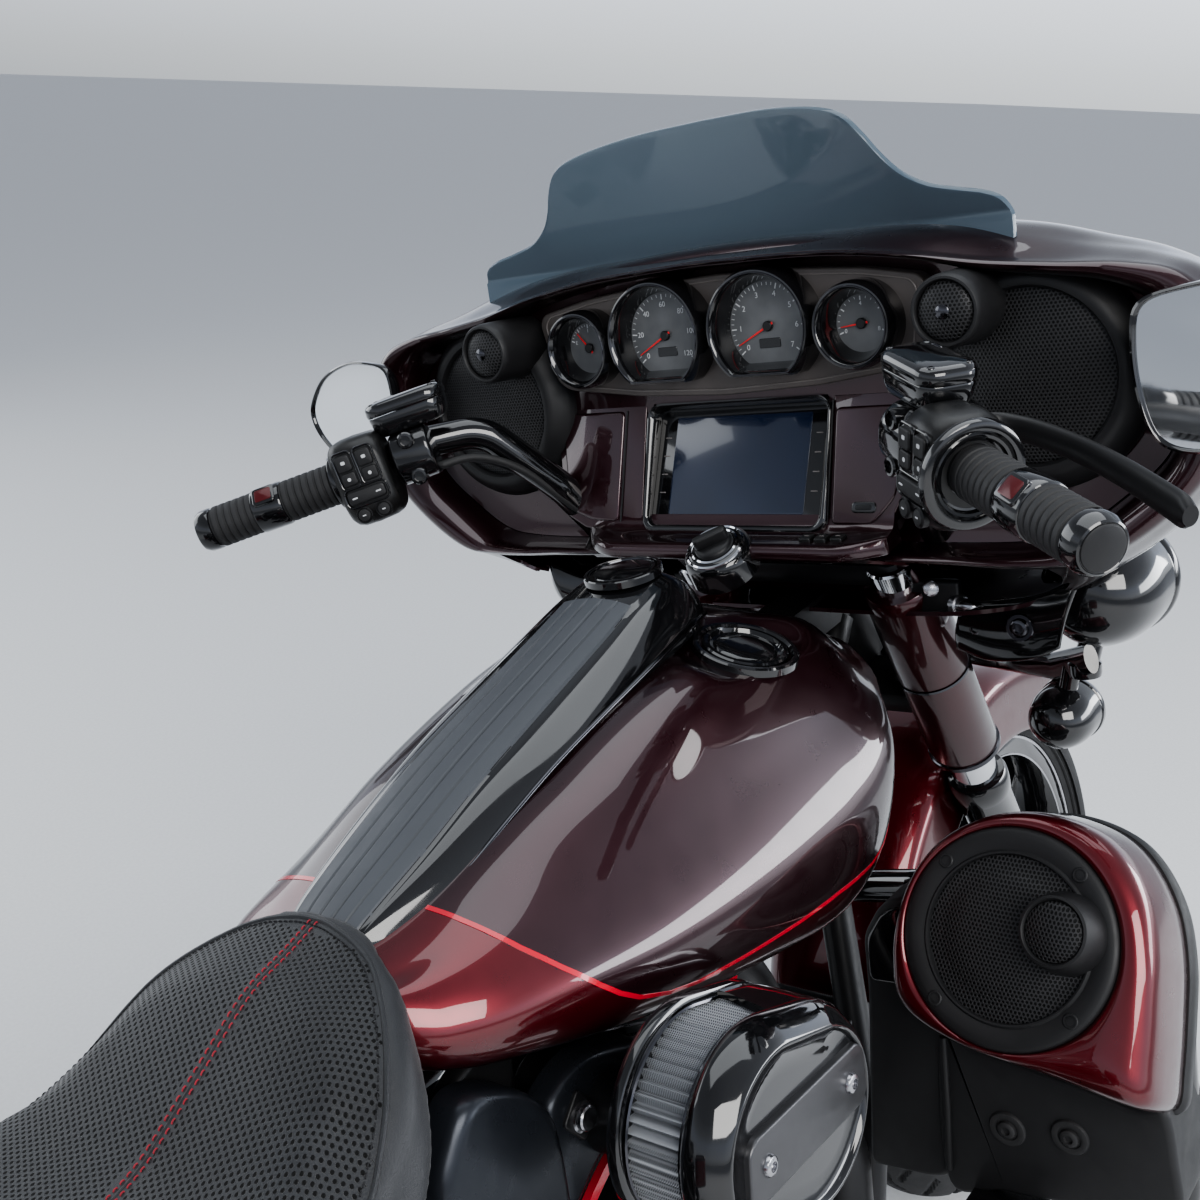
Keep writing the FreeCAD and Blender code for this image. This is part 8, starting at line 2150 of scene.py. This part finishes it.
soften("front_calipers", "satin_black", 7.0, 3, angle=40)
soften("rear_caliper", "satin_black", 6.0, 3, angle=40)
soften("swingarm", "satin_black", 4.0, 3, angle=40)
soften("foot_controls", "gloss_black", 2.0, 2, angle=40)
soften("side_covers", "brown", 2.5, 3, angle=40)

# ------------------------------------------------------------------ saddlebags with lids
def bag_ring(x0, x1, y0, y1, z, r_out, s, n=8):
    """A level ring round a bag, its outer corners rounder than its inner ones."""
    pts = []
    corners = ((x1, y1, r_out, 0), (x0, y1, r_out, 90), (x0, y0, max(4.0, r_out * 0.45), 180), (x1, y0, max(4.0, r_out * 0.45), 270))
    for cx, cy, r, a0 in corners:
        sx, sy = (1 if cx == x1 else -1), (1 if cy == y1 else -1)
        for k in range(n + 1):
            a = math.radians(a0 + 90 * k / n)
            pts.append(Vector((cx - sx * r + r * cos(a), s * (cy - sy * r + r * sin(a)), z)))
    return pts


BAG_X = [(372, -318, 188), (380, -340, 206), (400, -353, 219), (440, -360, 236), (470, -364, 249), (560, -377, 255), (600, -381, 257.5), (640, -381.5, 258)]
for side, s in (("left", 1), ("right", -1)):
    node = "saddlebag_" + side
    bm = bmesh.new()
    rings = [bag_ring(-290, 160, 262, 420, 372.0, 30, s), bag_ring(-312, 182, 250, 438, 373.5, 34, s), bag_ring(-330, 198, 241, 448, 379, 36, s), bag_ring(-343, 208, 237.5, 451.5, 388, 36, s)]
    for z, x0, x1 in BAG_X[2:]:
        rings.append(bag_ring(x0, x1, 236, 452, z, 36, s))
    rings.append(bag_ring(-379.5, 256, 237.5, 450.5, 640.4, 35, s))
    rings.append(bag_ring(-378.5, 255, 239, 449, 640.0, 34, s))
    for z, x0, x1 in reversed(BAG_X[2:-1]):
        rings.append(bag_ring(x0 + 4, x1 - 4, 240, 448, z, 33, s))
    rings.append(bag_ring(-334, 196, 244, 442, 380, 30, s))
    rings.append(bag_ring(-300, 160, 262, 420, 376.5, 24, s))
    skin(bm, rings, True, True, True)
    bmesh.ops.recalc_face_normals(bm, faces=bm.faces)
    mid = Vector((-60, s * 344, 520))
    for f in bm.faces:
        c = f.calc_center_median()
        f.material_index = 1 if (f.normal.dot(mid - c) > 0.1 * (mid - c).length and c.z < 640) else 0
    from_bm("saddlebag_shell_" + side, bm, ["cherry", "plastic"], BODY_OF[node], slot="paint_body", stand_for=[node], angle=50)
    # trim: a black band along the bottom, a reflector and hinge barrels
    bm = bmesh.new()
    for z0, z1, off in ((392, 404, 1.2),):
        a_ = bag_ring(-350 - off, 214 + off, 236 - off * 0.2, 452 + off, z0, 36, s)
        b_ = bag_ring(-353.5 - off, 220.5 + off, 236 - off * 0.2, 452 + off, z1, 36, s)
        c_ = bag_ring(-353.5 + 1, 220.5 - 1, 237, 451, z1 + 1.5, 36, s)
        d_ = bag_ring(-350 + 1, 214 - 1, 237, 451, z0 - 1.5, 36, s)
        skin(bm, [d_, a_, b_, c_], True)
    from_bm("saddlebag_band_" + side, bm, "gloss_black", BODY_OF[node], slot="black_gloss")
    slab("saddlebag_reflector_" + side, rrect(84, 24, 6, 5), (-300, s * 452.8, 470), (-s, 0, 0), (0, 0, 1), 3.5, "lamp_red", BODY_OF[node], bevel=1.6, slot="lamp_red")
    bm = bmesh.new()
    for x in (-230.0, 110.0):
        for dx in (-30, 18):
            lathe_bm(bm, [(3.0, 0), (4.6, 0.2), (5.2, 1.0), (5.2, 11), (4.6, 11.8), (3.0, 12)], (x + dx, s * 456, 640.5), (1, 0, 0), 24)
            pillow(bm, (x + dx + 6, s * 453.5, 628), (0, 0, 1), (1, 0, 0), (0, 1, 0), -10, 8, 12, 4.5, 1.5, 1)
        lathe_bm(bm, [(2.2, -31.5), (3.4, -31), (3.4, -30), (2.9, -30), (2.9, 30), (3.4, 30), (3.4, 31), (2.2, 31.5)], (x, s * 456, 640.5), (1, 0, 0), 20)
    from_bm("saddlebag_hinge_" + side, bm, "dark_chrome", BODY_OF[node], slot="steel")

    node = "saddlebag_lid_" + side
    LID = [(641.2, -381.5, 258, 236, 452, 36), (652, -379, 257, 236, 452, 36), (662, -373, 254.5, 236.5, 451, 37), (674, -360, 248, 238, 447, 38), (684, -338, 236, 242, 439, 40), (692, -306, 216, 250, 424, 42), (697.5, -262, 186, 264, 404, 44), (700.5, -200, 140, 286, 380, 40), (701.4, -120, 70, 316, 360, 18)]
    bm = bmesh.new()
    inner = [(z - 4.2 if z > 650 else z, x0 + 4, x1 - 4, y0 + 4, y1 - 4, r - 3) for z, x0, x1, y0, y1, r in LID]
    rings = [bag_ring(x0, x1, y0, y1, z, r, s) for z, x0, x1, y0, y1, r in reversed(inner)] + [bag_ring(x0, x1, y0, y1, z, r, s) for z, x0, x1, y0, y1, r in LID]
    skin(bm, rings, True, True, True)
    bmesh.ops.recalc_face_normals(bm, faces=bm.faces)
    for f in bm.faces:
        c = f.calc_center_median()
        f.material_index = 1 if f.normal.dot(Vector((-60, s * 344, 560)) - c) > 0.15 * (Vector((-60, s * 344, 560)) - c).length else 0
    from_bm("saddlebag_lid_shell_" + side, bm, ["brown", "plastic"], BODY_OF[node], slot="paint_body", stand_for=[node], angle=50)
    bm = bmesh.new()
    for x in (-230.0, 110.0):
        lathe_bm(bm, [(3.4, -16), (4.8, -15.8), (5.3, -15), (5.3, 15), (4.8, 15.8), (3.4, 16)], (x, s * 456, 640.5), (1, 0, 0), 24)
        pillow(bm, (x, s * 453.8, 652), (0, 0, 1), (1, 0, 0), (0, 1, 0), -9, 11, 32, 4.5, 1.5, 1)
    # a latch lever on the side toward the seat
    pillow(bm, (-60, s * 233.0, 660), (1, 0, 0), (0, 1, 0), (0, 0, 1), -42, 42, 7, 26, 3, 2)
    pillow(bm, (-60, s * 229.5, 652), (1, 0, 0), (0, 1, 0), (0, 0, 1), -30, 30, 5, 9, 2, 1.5)
    from_bm("saddlebag_lid_fittings_" + side, bm, "dark_chrome", BODY_OF[node], slot="steel")
    bm = bmesh.new()
    ring_ = bag_ring(-381.8, 258.3, 235.8, 452.3, 644, 36, s)
    skin(bm, [[Vector((p.x * 0.998, p.y, p.z - 2.2)) for p in ring_], ring_, [Vector((p.x * 0.998, p.y, p.z + 2.2)) for p in ring_]], True)
    from_bm("saddlebag_lid_seal_" + side, bm, "rubber", BODY_OF[node], slot="rubber_black")

# ------------------------------------------------------------------ mufflers, tail, supports
for side, s in (("left", 1), ("right", -1)):
    a, b = Vector((180, s * 240, 286)), Vector((-420, s * 262, 296))
    way = (b - a).normalized()
    L = (b - a).length
    lathe("muffler_body_" + side, [(22, -84), (25, -83), (27, -76), (38, -48), (48, -18), (51.6, 2), (52, 14), (52, L - 40), (52.6, L - 38), (54, L - 30), (54.4, L - 12), (53.4, L - 3), (50.5, L + 0.6), (46, L - 0.4), (42, L - 6), (38, L - 14), (34, L - 15), (33, L - 60), (0.1, L - 60)], a, way, "gloss_black", BODY_OF["mufflers"], seg=96, slot=SLOT_OF["mufflers"], stand_for=["mufflers"] if s > 0 else (), angle=40)
    bm = bmesh.new()
    lathe_bm(bm, [(52.2, L - 46), (54.2, L - 45), (54.4, L - 42), (52.2, L - 41)], a, way, 96, 0, False)
    lathe_bm(bm, [(50.8, -2), (53.2, -1), (53.4, 8), (52.0, 9)], a, way, 96, 0, False)
    from_bm("muffler_rings_" + side, bm, "dark_chrome", BODY_OF["mufflers"], slot="steel")
    tube("muffler_link_" + side, bend_path([(240, s * 176, 236), (236, s * 214, 262), (236, s * 236, 285)], 30, 6), 20.5, "satin_black", BODY_OF["mufflers"], seg=28, slot="black_satin")
    at = Vector((-378, s * 150, 508))
    lathe("tail_lamp_shell_" + side, [(0.1, -30), (12, -28), (22, -21), (29, -9), (32, 4), (32.5, 26), (34, 28), (34, 33), (32.5, 35), (30, 35)], at, (-1, 0, 0), "gloss_black", BODY_OF["tail_lights"], seg=72, slot="black_gloss", stand_for=["tail_lights"] if s > 0 else ())
    lathe("tail_lamp_lens_" + side, [(30.2, 34), (28.5, 38.5), (21, 42.5), (10, 44.4), (0.1, 45)], at, (-1, 0, 0), "lamp_red", BODY_OF["tail_lights"], seg=72, slot="lamp_red")
bm = bmesh.new()
pillow(bm, (-379, 0, 508), (0, 1, 0), (1, 0, 0), (0, 0, 1), -106, 106, 20, 62, 8, 4)
for s in (1, -1):
    tube_bm(bm, [Vector((-384, s * 98, 508)), Vector((-382, s * 124, 508))], 10, 24)
from_bm("tail_bar", bm, "gloss_black", BODY_OF["tail_lights"], slot="black_gloss")
bm = bmesh.new()
pillow(bm, (-390, 0, 508), (0, 1, 0), (1, 0, 0), (0, 0, 1), -92, 92, 6, 40, 3, 2)
from_bm("tail_bar_lens", bm, "lamp_red", BODY_OF["tail_lights"], slot="lamp_red")
bm = bmesh.new()
slab_bm(bm, rrect(184, 138, 8, 5), (-402, 0, 398), (0, -1, 0), (-0.085, 0, 0.996), -4, 1.2, 2)
for dy in (-70, 70):
    lathe_bm(bm, [(5, 0), (5, 3), (4, 4), (0.05, 4)], (-399, dy, 452), (-1, 0, 0), 20)
pillow(bm, (-371, 0, 455), (1, 0, 0), (0, 1, 0), (0, 0, 1), -24, 18, 40, 28, 5, 2)
from_bm("plate_holder", bm, "satin_black", BODY_OF["tail_lights"], slot="black_satin")

soften("fender_supports", "gloss_black", 1.6, 2, angle=40)

# ------------------------------------------------------------------ chain case, crankcase covers
PRIM = [(560, 330), (600, 290), (960, 290), (1000, 345), (985, 455), (930, 500), (640, 470), (570, 420)]
soften("primary_cover", "gloss_black", 7.0, 4, angle=35)
bm = bmesh.new()
for at, r, h in (((905, 207, 395), 74, 3), ((690, 205, 380), 88, 3)):
    lathe_bm(bm, [(r - 2, -1), (r - 3, 1.5), (r - 9, h), (r - 14, h), (r - 16, h - 1.6), (r - 30, h - 1.8), (r - 33, h + 0.8), (0.1, h + 2.2)], at, (0, 1, 0), 96)
    for k in range(6):
        a = 2 * pi * k / 6 + 0.3
        bolt(bm, (at[0] + (r - 7) * cos(a), at[1] + h - 0.5, at[2] + (r - 7) * sin(a)), (0, 1, 0), 4.6, 4.0)
for x, z in ((578, 340), (604, 303), (700, 300), (800, 300), (900, 300), (954, 303), (986, 350), (975, 446), (926, 488), (860, 482), (772, 476), (650, 460)):
    bolt(bm, (x, 185.5, z), (0, 1, 0), 6.5, 5.0)
from_bm("primary_details", bm, "dark_chrome", BODY_OF["primary_cover"], slot="steel")

soften("engine_case", "engine", 5.0, 3, angle=38)
bm = bmesh.new()
cc = Vector((808, -128, 412))
lathe_bm(bm, [(114, -1), (112, 2), (104, 4), (99, 4), (96, 2.2), (84, 2), (80, 4.5), (60, 5.4), (0.1, 6)], cc, (0, -1, 0), 120)
for k in range(9):
    a = 2 * pi * k / 9 + 0.15
    bolt(bm, cc + Vector((106 * cos(a), -3.4, 106 * sin(a))), (0, -1, 0), 5.6, 4.6)
from_bm("cam_cover", bm, "gloss_black", BODY_OF["engine_case"], slot="engine_metal", angle=40)
bm = bmesh.new()
for k in range(30):
    a = 2 * pi * k / 30
    p = Vector((975, 0, 325)) + Vector((0.963, 0, -0.268)) * 20
    u_, v_, d_ = frame_axes((0.963, 0, -0.268))
    tube_bm(bm, [p + (u_ * cos(a) + v_ * sin(a)) * 37.5, p + (u_ * cos(a) + v_ * sin(a)) * 37.5 + d_ * 70], 1.6, 6)
from_bm("oil_filter_flutes", bm, "satin_black", BODY_OF["engine_case"], slot="black_satin")
bm = bmesh.new()
for x0, x1, z1 in ((835, 905, 604), (868, 946, 588), (765, 695, 604), (732, 654, 588)):
    p, q = Vector((x0, -104, 524)), Vector((x1, -90, z1))
    d = (q - p).normalized()
    for t in (0.0, 0.55, 0.62, 0.93):
        lathe_bm(bm, [(11.2, 0), (13.4, 0.8), (13.4, 5.2), (11.2, 6)], p + (q - p) * t, d, 32, 0, False)
from_bm("push_rod_collars", bm, "dark_chrome", BODY_OF["engine_case"], slot="steel")

# ------------------------------------------------------------------ cooler, boards, shocks, stand
bm = bmesh.new()
pillow(bm, (1213, 0, 375), (0, 1, 0), (1, 0, 0), (0, 0, 1), -86, -74, 48, 152, 8, 4)
pillow(bm, (1213, 0, 375), (0, 1, 0), (1, 0, 0), (0, 0, 1), 74, 86, 48, 152, 8, 4)
for k in range(9):
    pillow(bm, (1213, 0, 306 + k * 17.2), (0, 1, 0), (1, 0, 0), (0, 0, 1), -75, 75, 42, 4.4, 2, 1)
from_bm("cooler_tanks", bm, "satin_black", BODY_OF["oil_cooler"], slot=SLOT_OF["oil_cooler"], stand_for=["oil_cooler"])
bm = bmesh.new()
for k in range(62):
    y = -73 + k * 2.4
    skin(bm, [[Vector((1194, y - 0.2, 302)), Vector((1194, y + 0.2, 302)), Vector((1194, y + 0.2, 448)), Vector((1194, y - 0.2, 448))],
              [Vector((1232, y - 0.2, 302)), Vector((1232, y + 0.2, 302)), Vector((1232, y + 0.2, 448)), Vector((1232, y - 0.2, 448))]], True, True, True)
from_bm("cooler_fins", bm, "engine", BODY_OF["oil_cooler"], slot=SLOT_OF["oil_cooler"])

soften("footboards", "satin_black", 2.5, 3, angle=40)
bm = bmesh.new()
tilt = math.radians(-4)
for s in (1, -1):
    u = Vector((cos(tilt), 0, -sin(tilt)))
    upn = Vector((sin(tilt), 0, cos(tilt)))
    base = Vector((905, s * 292, 292)) + upn * 16.0
    pillow(bm, base, u, (0, 1, 0), upn, -128, 128, 84, 5, 2.4, 1.2, cu=0, cv=1.5)
    for k in range(9):
        pillow(bm, base + Vector((0, (k - 4) * 9.2, 0)), u, (0, 1, 0), upn, -120, 120, 4.6, 4.4, 2, 1, cv=4.6)
from_bm("footboard_rubbers", bm, "rubber", BODY_OF["footboards"], slot="rubber_black")
soften("passenger_boards", "satin_black", 2.5, 3, angle=40)
bm = bmesh.new()
for s in (1, -1):
    for k in range(8):
        pillow(bm, (480, s * (243 + k * 9), 380.5), (1, 0, 0), (0, 1, 0), (0, 0, 1), -68, 68, 5, 4, 2, 1)
from_bm("passenger_rubbers", bm, "rubber", BODY_OF["passenger_boards"], slot="rubber_black")

bm = bmesh.new()
bm2 = bmesh.new()
for s in (1, -1):
    a, b = Vector((96, s * 184, 366)), Vector((202, s * 184, 566))
    d = (b - a).normalized()
    L = (b - a).length
    lathe_bm(bm, [(8, 0), (8, 30), (19, 32), (21.5, 36), (21.5, 120), (23.5, 122), (23.5, 128), (21, 130), (21, 196), (18, 200), (8, 202), (8, L)], a, d, 48)
    for p in (a, b):
        lathe_bm(bm, [(8, -19), (12.5, -18), (13.5, -16), (13.5, 16), (12.5, 18), (8, 19)], p + Vector((0, -s * 1, 0)), (0, 1, 0), 36)
        bolt(bm2, p + Vector((0, s * 17.5, 0)), (0, s, 0), 9, 6)
    N = 8 * 24
    pts = []
    u_, v_, _ = frame_axes(d)
    for k in range(N + 1):
        t = k / N
        an = 2 * pi * 8 * t
        pts.append(a + d * (36 + 84 * t) + (u_ * cos(an) + v_ * sin(an)) * 23)
    tube_bm(bm2, pts, 2.4, 8)
from_bm("shock_bodies", bm, "satin_black", BODY_OF["rear_shocks"], slot=SLOT_OF["rear_shocks"], stand_for=["rear_shocks"])
from_bm("shock_springs", bm2, "dark_chrome", BODY_OF["rear_shocks"], slot="steel")
soften("side_stand", "satin_black", 2.0, 2, angle=40)


# ------------------------------------------------------------------ floor and light
def studio():
    me = bpy.data.meshes.new("floor")
    s = 60.0
    me.from_pydata([(-s, -s, 0), (s, -s, 0), (s, s, 0), (-s, s, 0)], [], [(0, 1, 2, 3)])
    fl = link("floor", me)
    m, nt, bs = new_mat("floor_pale")
    v = coords(nt)
    nt.links.new(ramp(nt, noise(nt, v, 160.0, 3.0), [(0.3, (0.66, 0.665, 0.67)), (0.7, (0.70, 0.705, 0.71))]), bs.inputs["Base Color"])
    bs.inputs["Roughness"].default_value = 0.7
    bump(nt, bs, noise(nt, v, 220.0, 3.0), 0.05, 0.0004)
    fl.data.materials.append(m)
    w = bpy.data.worlds.new("studio")
    bpy.context.scene.world = w
    w.use_nodes = True
    nt = w.node_tree
    bg = nt.nodes["Background"]
    tc = nt.nodes.new("ShaderNodeTexCoord")
    sp = nt.nodes.new("ShaderNodeSeparateXYZ")
    nt.links.new(tc.outputs["Generated"], sp.inputs[0])
    # a bright band low over the horizon, brightest ahead and to the right, under a dimmer top
    band = ramp(nt, maprange(nt, sp.outputs[2], -0.1, 0.9, 0.0, 1.0), [(0.0, (0.30, 0.31, 0.33)), (0.10, (0.62, 0.65, 0.68)), (0.17, (0.90, 0.95, 1.04)), (0.36, (0.80, 0.88, 1.04)), (0.50, (0.56, 0.60, 0.66)), (0.66, (0.38, 0.41, 0.46)), (1.0, (0.34, 0.36, 0.40))])
    dot = nt.nodes.new("ShaderNodeVectorMath")
    dot.operation = "DOT_PRODUCT"
    nt.links.new(tc.outputs["Generated"], dot.inputs[0])
    dot.inputs[1].default_value = (0.78, -0.62, 0.0)
    gain = maprange(nt, dot.outputs["Value"], -0.5, 0.75, 0.55, 1.12)
    mul = nt.nodes.new("ShaderNodeVectorMath")
    mul.operation = "SCALE"
    nt.links.new(band, mul.inputs[0])
    nt.links.new(gain, mul.inputs["Scale"])
    nt.links.new(mul.outputs[0], bg.inputs["Color"])
    bg.inputs["Strength"].default_value = 1.05

    def area(name, at, target, size, size_y, power, colour=(1, 1, 1)):
        li = bpy.data.lights.new(name, "AREA")
        li.shape = "RECTANGLE"
        li.size, li.size_y = size, size_y
        li.energy = power
        li.color = colour
        o = bpy.data.objects.new(name, li)
        bpy.context.scene.collection.objects.link(o)
        o.location = at
        o.rotation_euler = (Vector(target) - Vector(at)).to_track_quat("-Z", "Y").to_euler()
        return o
    area("key", (-2.2, -3.4, 3.6), (0.2, -0.1, 0.8), 3.6, 2.4, 150, (1.0, 0.985, 0.96))
    area("top", (0.6, 0.6, 4.4), (0.2, 0.0, 0.8), 4.6, 3.0, 60, (0.93, 0.97, 1.0))
    area("left", (-0.6, 4.2, 1.9), (0.2, 0.0, 0.8), 4.0, 2.2, 40, (0.95, 0.98, 1.0))
    area("side_strip", (3.0, -3.4, 1.7), (0.3, -0.1, 0.8), 4.2, 0.9, 70, (0.96, 0.98, 1.0))
    bpy.context.scene.view_settings.view_transform = "AgX"
    bpy.context.scene.view_settings.look = "AgX - Medium High Contrast"
    bpy.context.scene.view_settings.exposure = 0.3


studio()

# ------------------------------------------------------------------ final update
bpy.context.view_layer.update()
